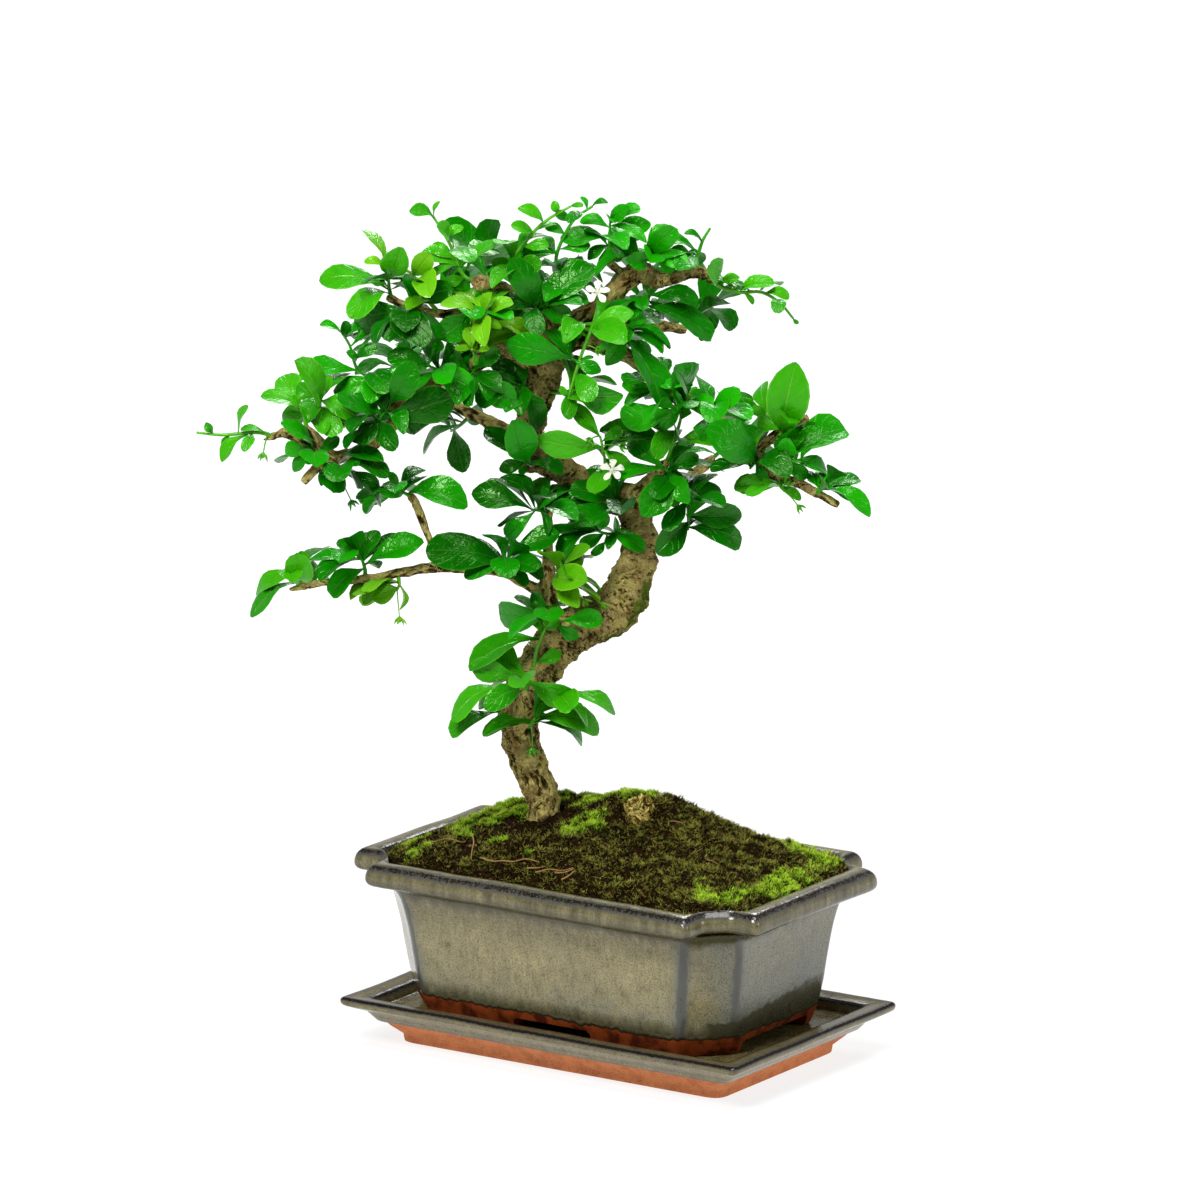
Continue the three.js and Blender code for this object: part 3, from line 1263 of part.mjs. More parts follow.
add("drip_tray", buildTray(), COLOURS.trayGlaze, 0.25);
add("pot", buildPot(), COLOURS.glaze, 0.22);
add("soil", soil, COLOURS.soil, 0.95);
add("dry_moss_tuft", buildTuft(soil), COLOURS.tuft, 0.9);
add("trunk_and_branches", wood, COLOURS.bark, 0.85);

const nodes = new Map();
SPRAYS.forEach((spray, index) => {
  const name = spray.node ?? spray.name;
  if (!nodes.has(name)) nodes.set(name, { tone: spray.tone, solids: [] });
  nodes.get(name).solids.push(...spraySolids(spray, index));
});
nodes.forEach(({ tone, solids }, name) => {
  add(name, largest(unite(solids).subtract(woodClear)).simplify(FINEST), COLOURS[tone], 0.3);
});
FLOWER.places.forEach((centre, k) => {
  add(`flower_${k + 1}`, buildFlower(centre), COLOURS.petal, 0.5);
});

export default object;
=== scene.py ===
"""Looks of a fukien tea bonsai in its glazed pot, on its drip tray.

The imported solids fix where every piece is. This script replaces them with finer meshes
of the same form and gives each one its finish. Lengths are millimetres until a mesh is
made, and the tree is drawn in its own upright plane, as in the part's source.
"""

import logging
import math
from dataclasses import dataclass, field
from enum import Enum
from functools import partial
from typing import Callable, Iterable

import bmesh
import bpy
import numpy as np
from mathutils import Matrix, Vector, kdtree, noise


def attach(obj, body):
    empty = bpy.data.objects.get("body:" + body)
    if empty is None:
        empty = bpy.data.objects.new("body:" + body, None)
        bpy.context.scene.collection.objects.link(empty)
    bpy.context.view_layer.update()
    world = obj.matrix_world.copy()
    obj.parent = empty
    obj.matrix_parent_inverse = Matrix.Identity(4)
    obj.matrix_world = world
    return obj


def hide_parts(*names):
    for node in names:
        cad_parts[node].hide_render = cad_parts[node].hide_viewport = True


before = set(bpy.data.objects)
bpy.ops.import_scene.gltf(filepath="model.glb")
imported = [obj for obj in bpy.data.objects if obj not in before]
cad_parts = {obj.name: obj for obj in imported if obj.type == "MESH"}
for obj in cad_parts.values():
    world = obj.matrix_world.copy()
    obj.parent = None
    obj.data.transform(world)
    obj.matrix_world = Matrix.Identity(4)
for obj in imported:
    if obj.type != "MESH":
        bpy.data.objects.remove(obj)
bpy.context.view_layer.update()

LOG = logging.getLogger("bonsai")
MM = 0.001
UP = np.array([0.0, 0.0, 1.0])

Piece = bpy.types.Object
Socket = bpy.types.NodeSocket
Rng = np.random.Generator
Points = list[np.ndarray]
Faces = list[list[int]]

# Where the trunk leaves the soil, and how far the tree's plane is turned from X
FOOT = np.array([-37.0, 1.0, 91.0])
PLANE_TURN = math.radians(33.9)
TOWARDS_VIEWER = np.array([math.sin(PLANE_TURN), -math.cos(PLANE_TURN), 0.0])
GOLDEN_ANGLE = 2.4
FIFTH_TURN = 2 * math.pi / 5
FIRST_SEED = 1009
WANDER_SEED = 7
LARGEST = 2**31 - 1


class Tone(Enum):
    """How old the leaves of a spray are, from the oldest to the youngest."""

    DARK = "dark"
    MID = "mid"
    BRIGHT = "bright"
    YOUNG = "young"


@dataclass(frozen=True)
class Spray:
    """One leafy shoot: its stem, its leaves and its buds, in the tree's plane.

    A leaf is a base, a tip and the width that shows from the front; an extra leaf is a seed.
    """

    node: str
    tone: Tone
    bare: float
    stem: tuple
    leaves: tuple = ()
    small: tuple = ()
    buds: tuple = ()
    extra: tuple = ()
    fill: int = 0


# Route points of every limb: (across, up, out, radius)
LIMBS = (
    # Trunk from root ball to crown
    ((1, -36, 0, 6), (1, -22, 0, 8), (0.5, -8, 0, 7.4), (0, 0, 0, 6.6), (-1.6, 11, 1, 6.6),
     (-7, 26, 3, 7.3), (-9.6, 36, 4, 7.7), (-10.4, 45, 5, 8.2), (-8, 55, 6, 8.4), (1, 71.5, 8, 8.8),
     (13, 83.5, 9, 9.6), (25.5, 89, 7, 9.8), (33.6, 97.5, 4, 9.2), (38, 109, 0, 8),
     (38.8, 117, -2, 7.4), (38, 127, -4, 6.6), (35.5, 133, -6, 6.4), (29.5, 135, -8, 6),
     (19.2, 138, -10, 5.8), (7.8, 145.5, -10, 5.8), (-4.5, 151.5, -8, 5.7), (-8.6, 157, -5, 5.7),
     (-7, 163, -2, 5.9), (-4.9, 171, 1, 6), (-2, 180, 3, 6.3), (0.5, 187.5, 4, 6.8), (5, 199, 4, 6.2),
     (11, 208.5, 3, 5)),
    # Upper left limb ending in a cut stub
    ((1, 190, 4, 4.4), (-9, 198, 8, 4), (-17.6, 201, 10, 3.6), (-25.8, 196, 14, 3.4),
     (-46.3, 187.5, 18, 3.2), (-58, 175, 22, 2.9), (-72, 163, 25, 2.8), (-86, 158, 27, 2.6),
     (-92, 155, 28, 2.2), (-98, 149, 29, 1.7)),
    # Pale cut stub under upper left limb
    ((-48, 186, 18, 2.6), (-57, 182, 21, 2.6), (-65, 178, 24, 3)),
    # Stub turns up at left
    ((-84, 158, 27, 2.2), (-88, 162, 28, 2.3), (-92, 167, 28, 2.2), (-96.5, 171.5, 28, 1.6)),
    # Far left stub with its spike
    ((-88, 158, 27, 2), (-97, 164, 27, 1.8), (-105.6, 169.5, 28, 2.2), (-109, 168, 28, 1.2),
     (-114, 166.5, 28, 0.7)),
    # Second stem straight up from low bend
    ((8, 84, 14, 3), (3.5, 93, 14, 3.2), (2, 100, 14, 3.4), (1.8, 105, 13, 3.6), (1.6, 112, 12, 2.4),
     (2, 124, 9, 1.7), (2, 131.5, 7, 1.4)),
    # Low left branch
    ((1.5, 98, 14, 2.6), (-4, 101.5, 14, 2.4), (-10, 105, 14, 2.2), (-17.6, 108.5, 15, 2.1),
     (-38, 111, 18, 2), (-44, 111.5, 19, 2.4), (-56.5, 110, 21, 2), (-72.5, 107.5, 23, 1.8),
     (-86.8, 106.5, 24, 1.7), (-95.4, 105.5, 25, 1.6), (-104, 103.5, 25, 1)),
    # Twig climbs from low left branch
    ((-41, 112, 18, 1.7), (-44.2, 117, 19, 1.7), (-47, 124, 20, 1.5), (-49.5, 131.5, 20, 1.7),
     (-52.4, 138.5, 20, 1.9), (-54.6, 142, 20, 1.4)),
    # Front branchlet on lower trunk
    ((-8, 37, 9, 1.9), (-7, 42, 13, 1.8), (-5.3, 50, 14, 1.6), (-8.5, 57, 16, 1.8), (-9, 60, 16, 1.1)),
    # Short limb at bend under crown
    ((37, 130, -5, 4.4), (38, 138, -1, 3.8), (42.5, 143, 4, 3.2), (47, 149, 8, 3), (49.4, 153, 9, 2)),
    # Right branch
    ((5, 200, 4, 4.4), (14, 203, 6, 3.8), (23.3, 202, 8, 3.4), (35.6, 197.5, 12, 3.1),
     (51.2, 186.6, 16, 2.8), (69.6, 174, 20, 2.7), (87.6, 159.5, 24, 2.8), (91, 153, 25, 2.5),
     (105.2, 147.5, 27, 2.1), (120.3, 139.2, 28, 1.6)),
    # Fork of right branch climbs
    ((86, 160, 24, 2.2), (94, 168, 25, 2), (101, 172.5, 26, 1.8), (107.7, 176, 27, 1.6)),
    # Top right limb
    ((9, 205, 3, 4.8), (17.2, 213, 0, 4.4), (24, 217, -3, 4.2), (31.5, 224.5, -6, 4.6),
     (39, 230, -7, 4.4), (45.8, 226.5, -6, 3.4), (53, 227.5, -5, 3), (60.2, 230.2, -4, 3.2),
     (66, 229, -3, 2.4), (69.5, 226.5, -3, 1.6)),
    # Twig over top right limb
    ((35, 225, -6, 2), (31, 230, -6, 1.8), (25.8, 234.5, -6, 1.6), (24.6, 237, -6, 1)),
    # Top left limb its cut face towards viewer
    ((9, 204, 3, 4.4), (4, 213, 3, 4), (0.8, 218.8, 4, 3.8), (-9.8, 222, 8, 3.5), (-18, 226, 13, 3.2),
     (-25, 230, 20, 3), (-27, 231, 24, 2.8)),
    # Outer left limb of crown
    ((-8, 221, 7, 3), (-20, 219, 10, 2.6), (-34, 215, 10, 2.3), (-47, 216, 9, 2), (-57, 218.5, 8, 1.8),
     (-64, 222, 8, 1.3)),
    # Back left limb
    ((-6, 155, -6, 3.8), (-14, 160, -16, 3.2), (-30, 166, -28, 2.7), (-48, 172, -38, 2)),
    # Back limb of crown to left
    ((4, 200, 2, 4), (0, 205, -8, 3.4), (-6, 208, -16, 3), (-13, 212, -26, 2.6), (-20, 216, -36, 2)),
    # Back limb of crown to right
    ((8, 203, 2, 3.8), (22, 205, -10, 3.2), (40, 204, -24, 2.6), (58, 200, -36, 2)),
    # Back limb at upper bend
    ((36, 126, -4, 4), (44, 131, -13, 3.2), (54, 136, -22, 2.6), (70, 146, -34, 1.9)),
)

# Sprays in the order of the part's source
SPRAYS = (
    Spray("far_left", Tone.BRIGHT, 2.5, ((-110, 168, 28), (-115, 170, 30), (-131, 169, 30),
    (-141, 170, 30)), leaves=((-124, 169, 29, -121, 182, 33, 2), (-119, 168, 29, -131, 159, 34, 4),
    (-110, 170, 29, -122, 173, 33, 2)), small=((-134, 170, 29, -137, 174, 31, 4),
    (-127, 169, 29, -131, 165, 31, 2)), buds=((-114, 161, 32),), extra=(238,)),
    Spray("left_tip", Tone.MID, 3.5, ((-98, 164, 27), (-95, 163, 30), (-92, 162, 31)),
    leaves=((-92, 164, 30, -105, 164, 32, 7), (-93, 161, 30, -102, 154, 30, 5),
    (-91, 163, 30, -83, 168, 30, 6)), small=((-93, 160, 30, -90, 160, 39, 4),), extra=(106, 133, 147, 148,
    271, 296)),
    Spray("left_low", Tone.DARK, 3, ((-86, 158, 27), (-84, 155, 34)),
    leaves=((-86, 156, 31, -85, 151, 49, 12), (-83, 155, 31, -65, 140, 29, 8)), buds=((-78, 141, 30),),
    extra=(30, 62, 119, 147, 148, 276, 316, 334)),
    Spray("left_up", Tone.BRIGHT, 2, ((-96, 171, 28), (-97, 176, 27), (-92, 180, 26), (-90, 184, 26)),
    leaves=((-90, 179, 25, -95, 202, 46, 4), (-95, 180, 25, -113, 187, 31, 6),
    (-99, 177, 25, -106, 192, 17, 12), (-91, 179, 25, -100, 189, 24, 9)),
    small=((-90, 184, 25, -86, 193, 28, 4),), extra=(15, 42, 57, 85, 120, 147, 153, 165, 209, 331, 352,
    375, 398)),
    Spray("left_mid", Tone.MID, 5, ((-46, 188, 18), (-59, 189, 15), (-75, 192, 14), (-79, 203, 14),
    (-82, 208, 14)), leaves=((-76, 191, 14, -100, 192, 14, 6), (-67, 190, 14, -86, 184, 14, 8),
    (-77, 197, 14, -68, 203, 17, 4)), small=((-82, 208, 14, -91, 212, 17, 2),
    (-77, 196, 14, -79, 201, 20, 3), (-80, 206, 14, -81, 214, 21, 5)), extra=(42, 98, 101, 141, 190, 207,
    297, 317, 355)),
    Spray("left_front", Tone.DARK, 6.5, ((-61, 180, 22), (-64, 178, 27), (-68, 174, 31)),
    leaves=((-68, 178, 30, -81, 182, 20, 6), (-62, 182, 30, -53, 200, 43, 12),
    (-65, 173, 30, -36, 184, 30, 16), (-68, 176, 30, -75, 171, 34, 6), (-65, 180, 30, -66, 187, 24, 8)),
    extra=(37, 42, 84, 120, 165, 206, 207, 275, 296, 318, 357, 361)),
    Spray("outer_left", Tone.BRIGHT, 2.5, ((-62, 221, 8), (-63, 226, 8), (-63, 231, 8)),
    leaves=((-63, 225, 7, -91, 231, 7, 5), (-62, 229, 7, -58, 244, 25, 12),
    (-64, 224, 7, -78, 221, 27, 4)), extra=(60, 203, 313, 348, 357, 395)),
    Spray("yellow_shoot", Tone.YOUNG, 3.5, ((-43, 216, 10), (-49, 224, 13), (-54, 233, 14),
    (-65, 236, 14)), leaves=((-65, 236, 14, -72, 250, 4, 4), (-54, 231, 14, -47, 241, 26, 9),
    (-51, 227, 14, -42, 228, 14, 5)), small=((-64, 236, 14, -72, 239, 17, 3),
    (-57, 234, 14, -62, 240, 17, 2)), extra=(83, 253, 317, 331)),
    Spray("dark_hanging", Tone.DARK, 3, ((-52, 217, 8), (-54, 219, 16), (-57, 217, 20)),
    leaves=((-54, 224, 20, -50, 210, 42, 16), (-59, 216, 20, -79, 212, 10, 11),
    (-53, 223, 20, -37, 228, 22, 8), (-58, 214, 20, -60, 204, 16, 6)), extra=(37, 42, 60, 102, 147, 148,
    210, 375)),
    Spray("left_shelf", Tone.MID, 4.5, ((-39, 190, 16), (-44, 195, 23), (-47, 197, 26)),
    leaves=((-47, 199, 26, -63, 201, 26, 8), (-47, 195, 26, -29, 189, 35, 12),
    (-46, 200, 26, -42, 207, 22, 6), (-42, 193, 26, -54, 186, 26, 5)), extra=(42, 59, 147, 190, 211,
    317)),
    Spray("inner_shelf", Tone.DARK, 4.5, ((-26, 196, 14), (-28, 194, 20), (-30, 192, 24)),
    leaves=((-30, 191, 24, -11, 182, 27, 12), (-28, 195, 24, -38, 201, 17, 8),
    (-27, 197, 24, -18, 203, 24, 6)), buds=((-18, 194, 14),), extra=(42, 270, 289, 297, 318, 361, 375)),
    Spray("trunk_front", Tone.DARK, 8, ((-2, 182, 3), (-8, 185, 13), (-10, 187, 16)),
    leaves=((-10, 186, 16, -1, 169, 16, 8), (-9, 187, 16, -18, 190, 13, 6)), extra=(27, 42, 168, 211, 254,
    270, 316, 375, 403)),
    Spray("inner_left", Tone.MID, 3, ((-27, 217, 10), (-28, 218, 16), (-29, 219, 20)),
    leaves=((-30, 218, 20, -42, 208, 23, 12), (-29, 220, 20, -37, 225, 14, 6),
    (-28, 221, 20, -22, 227, 22, 5)), extra=(59, 147, 148, 207, 212, 359)),
    Spray("up_left", Tone.BRIGHT, 4.5, ((-25, 230, 20), (-32, 232, 17), (-38, 245, 15), (-45, 257, 15)),
    leaves=((-34, 237, 15, -50, 241, 15, 6), (-34, 238, 15, -45, 245, 15, 5),
    (-33, 237, 15, -20, 248, 15, 6), (-32, 232, 15, -40, 230, 20, 6)),
    small=((-39, 248, 15, -42, 255, 27, 2), (-40, 248, 15, -33, 253, 17, 3),
    (-45, 256, 15, -53, 261, 22, 2), (-45, 257, 15, -43, 263, 17, 2)), extra=(42, 57, 147, 190, 317,
    371)),
    Spray("top_left_shoot", Tone.BRIGHT, 4.5, ((-10, 222, 8), (-13, 234, 6), (-6, 246, 6), (1, 253, 6),
    (11, 259, 6)), leaves=((0, 252, 6, -10, 259, 9, 4), (-4, 248, 6, -13, 252, 9, 4),
    (-13, 235, 6, -21, 238, 13, 6), (-13, 232, 6, -1, 237, 10, 8), (-8, 242, 6, 2, 244, 9, 4)),
    small=((6, 256, 6, 4, 261, 8, 4), (11, 259, 6, 16, 260, 8, 2)), extra=(158, 166, 179, 253, 271, 310,
    360)),
    Spray("top_shoots", Tone.MID, 4, ((1, 218, 4), (9, 224, -1), (5, 235, 0), (8, 245, 0), (13, 253, 0),
    (20, 258, 0)), leaves=((6, 238, 0, -15, 235, 0, 6), (7, 240, 0, 19, 242, 0, 6),
    (6, 232, 0, 17, 233, -7, 8)), small=((11, 252, 0, 5, 256, 2, 4), (18, 257, 0, 16, 262, 1, 2),
    (20, 258, 0, 26, 260, 2, 2), (9, 246, 0, 1, 250, 3, 4)), extra=(57, 79, 120, 136, 188, 253, 288, 297,
    314, 360, 380, 390)),
    Spray("top_shoots", Tone.BRIGHT, 3, ((26, 235, -6), (27, 243, -6), (27, 250, -6)),
    leaves=((28, 250, -6, 16, 253, -4, 3), (27, 243, -6, 7, 245, 0, 3), (28, 250, -6, 34, 258, 2, 6),
    (28, 245, -6, 43, 251, -6, 7), (27, 241, -6, 18, 236, -2, 4), (27, 239, -6, 37, 240, -6, 5)),
    small=((28, 250, -6, 39, 257, -2, 2),), extra=(15, 26, 55, 190, 225, 252, 264, 317)),
    Spray("rosette", Tone.YOUNG, 3, ((-22, 218, 10), (-21, 214, 20), (-23, 217, 27), (-25, 219, 32)),
    leaves=((-24, 219, 30, -14, 225, 30, 4), (-25, 219, 30, -41, 225, 35, 3),
    (-24, 219, 30, -22, 228, 33, 4)), small=((-25, 218, 30, -25, 215, 26, 6),
    (-25, 217, 30, -30, 215, 25, 4), (-23, 217, 30, -18, 214, 32, 4)), extra=(85, 190, 270, 293, 316, 318,
    361)),
    Spray("low_rosette", Tone.YOUNG, 4.5, ((-22, 198, 12), (-27, 203, 24), (-29, 204, 28)),
    leaves=((-30, 205, 28, -30, 213, 28, 6),), small=((-30, 204, 28, -23, 205, 30, 2),
    (-30, 204, 28, -36, 204, 26, 3), (-29, 204, 28, -27, 198, 30, 2)), extra=(42, 81, 85, 168, 190, 254)),
    Spray("top_centre", Tone.DARK, 5, ((2, 217, 4), (-1, 216, 10), (-4, 219, 13)),
    leaves=((-5, 220, 12, -12, 240, 23, 12), (-2, 218, 12, 19, 236, 12, 11),
    (-2, 215, 12, -18, 213, 12, 5), (-2, 216, 12, 11, 217, 17, 8), (-4, 219, 12, -19, 224, 19, 8)),
    extra=(42, 85, 100, 147, 252, 270, 336)),
    Spray("centre_big", Tone.DARK, 7, ((5, 199, 4), (10, 199, 20), (12, 200, 28)),
    leaves=((11, 200, 28, -15, 206, 28, 14), (13, 199, 28, 23, 196, 32, 6)), extra=(42, 211, 254, 318)),
    Spray("crossing_stem", Tone.BRIGHT, 4.5, ((11, 208, 3), (20, 212, 18), (18, 208, 24), (14, 197, 26),
    (9, 179, 24)), leaves=((21, 214, 24, 36, 219, 24, 8), (18, 209, 24, 7, 213, 28, 4)),
    small=((11, 183, 24, 7, 188, 26, 3), (15, 198, 24, 20, 201, 26, 2)), buds=((22, 225, 18),
    (22, 204, 28)), extra=(42, 165, 190, 209, 212, 253, 297)),
    Spray("top_right", Tone.MID, 5, ((39, 230, -7), (42, 236, -1), (44, 239, 1)),
    leaves=((41, 238, 0, 53, 250, 2, 4), (44, 237, 0, 35, 237, 9, 8), (45, 237, 0, 52, 249, 13, 10),
    (45, 236, 0, 54, 232, 0, 6)), extra=(15, 103, 168, 175, 252, 271, 339, 376, 405)),
    Spray("right_shoot", Tone.BRIGHT, 2, ((68, 227, -3), (73, 224, -2), (80, 222, -2), (89, 222, -2),
    (97, 217, -2), (102, 211, -2)), leaves=((71, 225, -2, 79, 229, 1, 4), (80, 223, -2, 93, 228, 2, 4),
    (90, 222, -2, 100, 221, 1, 4)), small=((70, 226, -2, 68, 237, 16, 3), (81, 222, -2, 86, 218, 0, 2),
    (101, 211, -2, 104, 209, -1, 2)), extra=(3, 57, 89, 140, 267, 285, 408)),
    Spray("top_right", Tone.MID, 3.5, ((60, 230, -4), (63, 237, -5), (65, 243, -5), (68, 248, -5)),
    leaves=((62, 238, -4, 43, 245, 2, 4), (63, 236, -4, 51, 239, 0, 4)),
    small=((65, 242, -4, 58, 247, -1, 2),), extra=(144, 253, 275, 393, 408)),
    Spray("under_right", Tone.DARK, 4.5, ((44, 227, -6), (42, 223, -4), (43, 221, 2), (42, 218, 6)),
    leaves=((44, 224, 6, 63, 220, 6, 6), (42, 219, 6, 50, 212, 2, 4), (42, 216, 6, 69, 205, 6, 6)),
    extra=(74, 170, 206, 211, 330, 403)),
    Spray("right_limb", Tone.MID, 4.5, ((30, 200, 10), (32, 206, 14), (34, 212, 16)),
    leaves=((33, 213, 14, 31, 206, 25, 8), (32, 210, 14, 26, 197, 23, 8), (36, 206, 14, 49, 181, 28, 7),
    (34, 212, 14, 41, 216, 8, 6), (32, 205, 14, 44, 200, 12, 6)), extra=(42, 124, 147, 190, 253, 398)),
    Spray("right_limb", Tone.BRIGHT, 4.5, ((46, 190, 14), (46, 187, 18), (45, 184, 20)),
    leaves=((45, 185, 18, 32, 188, 18, 6), (46, 186, 18, 60, 190, 30, 4), (45, 184, 18, 51, 178, 21, 4)),
    extra=(42, 144, 166, 207, 254, 269, 350, 352)),
    Spray("crossing_stem", Tone.MID, 9, ((-2, 182, 3), (10, 183, 14), (14, 186, 20)),
    leaves=((14, 186, 20, 32, 187, 38, 14), (12, 184, 20, 9, 177, 29, 8)), extra=(62, 207, 209, 212,
    252)),
    Spray("right_limb", Tone.DARK, 4, ((58, 182, 18), (56, 179, 20), (53, 177, 24)),
    leaves=((54, 178, 20, 31, 175, 20, 12), (55, 179, 20, 54, 193, 32, 8), (59, 180, 20, 56, 199, 44, 4),
    (57, 177, 20, 68, 182, 34, 5), (58, 176, 20, 48, 170, 20, 6)), extra=(38, 84, 103, 376)),
    Spray("right_ridge", Tone.MID, 5.5, ((73, 172, 20), (71, 175, 22), (68, 179, 25)),
    leaves=((71, 180, 22, 77, 188, 40, 6), (69, 176, 22, 81, 182, 22, 8), (68, 177, 22, 60, 186, 20, 6),
    (72, 172, 22, 64, 170, 41, 6)), extra=(104, 147, 148, 212, 252)),
    Spray("pale_fan", Tone.BRIGHT, 7, ((22, 138, -10), (23, 145, -6), (25, 152, 6), (24, 161, 16),
    (23, 166, 18)), leaves=((23, 168, 18, 11, 180, 18, 9), (24, 159, 18, -3, 165, 18, 14),
    (25, 164, 18, 32, 169, 18, 5), (24, 157, 18, 35, 153, 18, 6)), buds=((28, 152, 22), (19, 165, 21),
    (32, 162, 20)), extra=(21, 23, 101, 288, 350, 359, 396)),
    Spray("bend_left", Tone.DARK, 7, ((-8, 158, -5), (-6, 152, 6), (-5, 152, 10)),
    leaves=((-4, 153, 8, -11, 173, 27, 14), (-9, 155, 8, -24, 166, 8, 9), (-5, 151, 8, 8, 150, 8, 6),
    (-7, 152, 8, -18, 150, 8, 6)), extra=(147, 254, 271, 298, 318)),
    Spray("mid_arch", Tone.DARK, 7, ((28, 136, -8), (30, 136, 4), (31, 135, 7)),
    leaves=((31, 139, 6, 11, 142, 8, 8), (32, 134, 6, 10, 131, 18, 8), (23, 133, 6, 7, 138, 6, 6)),
    extra=(42, 147, 148, 207, 254, 273)),
    Spray("knob", Tone.MID, 3.5, ((48, 151, 8), (50, 151, 13), (52, 150, 16)),
    leaves=((51, 150, 14, 63, 157, 14, 7), (52, 148, 14, 41, 135, 29, 14)), extra=(20, 36, 85, 147, 165,
    168, 207, 275, 340, 361)),
    Spray("pale_fan", Tone.MID, 1, ((50, 153, 9), (52, 159, 12), (56, 173, 14), (57, 181, 14)),
    leaves=((53, 161, 14, 78, 168, 14, 8), (52, 161, 14, 24, 170, 14, 7)),
    small=((58, 180, 14, 62, 186, 12, 3), (57, 179, 14, 51, 182, 14, 3)), extra=(42, 102, 103, 206, 271,
    287, 382)),
    Spray("right_low", Tone.DARK, 4, ((47, 149, 8), (53, 146, 9), (58, 141, 10), (59, 133, 10),
    (59, 125, 10)), leaves=((59, 127, 10, 47, 118, 21, 12), (59, 131, 10, 81, 132, 10, 10),
    (59, 126, 10, 81, 120, 10, 8), (59, 138, 10, 72, 143, 10, 4), (58, 139, 10, 50, 136, 5, 6),
    (59, 134, 10, 62, 142, 14, 5)), extra=(36, 41, 42, 147, 167, 206, 207, 253, 254)),
    Spray("pad_top", Tone.BRIGHT, 4, ((94, 168, 25), (97, 169, 28), (96, 173, 28), (90, 178, 28)),
    leaves=((97, 170, 27, 102, 200, 44, 18), (90, 180, 27, 78, 182, 27, 6),
    (96, 171, 27, 87, 174, 24, 6)), small=((91, 178, 27, 85, 181, 32, 5),), extra=(83, 102, 103, 142, 254,
    333)),
    Spray("pad_left", Tone.DARK, 4, ((88, 160, 24), (86, 157, 27), (84, 155, 30)),
    leaves=((86, 160, 27, 68, 176, 51, 14), (84, 155, 27, 68, 155, 35, 4), (85, 155, 27, 76, 163, 27, 6),
    (86, 156, 27, 90, 150, 31, 5)), buds=((90, 160, 30),), extra=(40, 57, 83, 212, 318)),
    Spray("pad_low", Tone.BRIGHT, 4, ((96, 151, 26), (96, 148, 28), (98, 146, 32)),
    leaves=((96, 148, 28, 79, 147, 28, 8), (97, 147, 28, 105, 143, 31, 4)), buds=((104, 139, 30),
    (99, 149, 30)), extra=(40, 166, 358, 378, 399)),
    Spray("pad_right", Tone.MID, 4, ((90, 154, 25), (94, 156, 24), (99, 158, 29), (105, 158, 31)),
    leaves=((100, 159, 30, 123, 170, 16, 10), (97, 160, 30, 99, 170, 42, 8),
    (101, 156, 30, 117, 153, 23, 6), (99, 157, 30, 108, 151, 26, 6)),
    small=((104, 158, 30, 102, 163, 32, 2), (106, 157, 30, 108, 164, 32, 2)), extra=(42, 105, 254, 271,
    318, 374)),
    Spray("pad_tip", Tone.MID, 2.5, ((111, 144, 28), (113, 147, 32), (115, 148, 33)),
    leaves=((114, 149, 32, 129, 150, 24, 6), (114, 147, 32, 127, 143, 28, 5),
    (115, 147, 32, 133, 138, 39, 4)), extra=(13, 38, 57, 102, 103, 117, 286)),
    Spray("left_low_big", Tone.DARK, 1, ((2, 132, 7), (-2, 134, 13), (-5, 135, 16)),
    leaves=((-5, 135, 16, -29, 143, 16, 10), (-4, 135, 16, -16, 124, 16, 7),
    (-3, 134, 16, 2, 126, 19, 4)), extra=(58, 63, 78, 83, 164, 187, 190, 212, 254, 359, 376)),
    Spray("twig_top", Tone.MID, 2.5, ((-54, 141, 20), (-57, 143, 21), (-60, 144, 21)),
    leaves=((-59, 143, 21, -49, 152, 11, 4), (-55, 141, 21, -32, 143, 31, 7)),
    small=((-57, 143, 21, -66, 147, 33, 4), (-59, 144, 21, -63, 152, 24, 4)), extra=(53, 78, 189, 208,
    211, 271, 275, 376)),
    Spray("trunk_left", Tone.MID, 7.5, ((38, 122, -3), (26, 122, 3), (21, 124, 5)),
    leaves=((23, 124, 4, 25, 132, 12, 6), (26, 121, 4, 41, 118, 8, 6), (24, 121, 4, 15, 118, 9, 6)),
    small=((20, 125, 4, 12, 126, 6, 4), (25, 119, 4, 20, 114, 7, 4)), extra=(61, 103, 166, 175, 238, 294,
    318, 402, 403)),
    Spray("branch_big", Tone.DARK, 2.5, ((-17, 108, 15), (-16, 112, 15), (-15, 115, 17)),
    leaves=((-18, 114, 17, -48, 120, 24, 12), (-15, 115, 17, 6, 126, 17, 8),
    (-14, 113, 17, 0, 107, 17, 6), (-17, 112, 17, -32, 108, 23, 8)), extra=(13, 34, 40, 42, 120, 148, 207,
    212, 251, 382)),
    Spray("stem_right", Tone.YOUNG, 4.5, ((2, 108, 12), (5, 107, 14), (8, 105, 18)),
    leaves=((5, 106, 14, 17, 110, 38, 9), (5, 105, 14, 11, 95, 6, 6), (4, 111, 14, 16, 113, 7, 5),
    (5, 103, 14, 23, 98, 20, 2)), buds=((24, 95, 16), (17, 97, 18)), extra=(38, 57, 79, 103, 147, 165,
    190, 191, 274)),
    Spray("bend_front", Tone.MID, 5.5, ((6, 88, 14), (4, 92, 19), (2, 94, 22)),
    leaves=((3, 93, 20, -20, 90, 13, 13), (7, 89, 20, 24, 90, 20, 8), (5, 88, 20, 14, 82, 21, 6),
    (2, 94, 20, -5, 101, 18, 6)), extra=(42, 148, 207, 226, 403)),
    Spray("branchlet", Tone.BRIGHT, 3.5, ((-8, 58, 16), (-4, 70, 17), (-3, 77, 18), (1, 87, 19)),
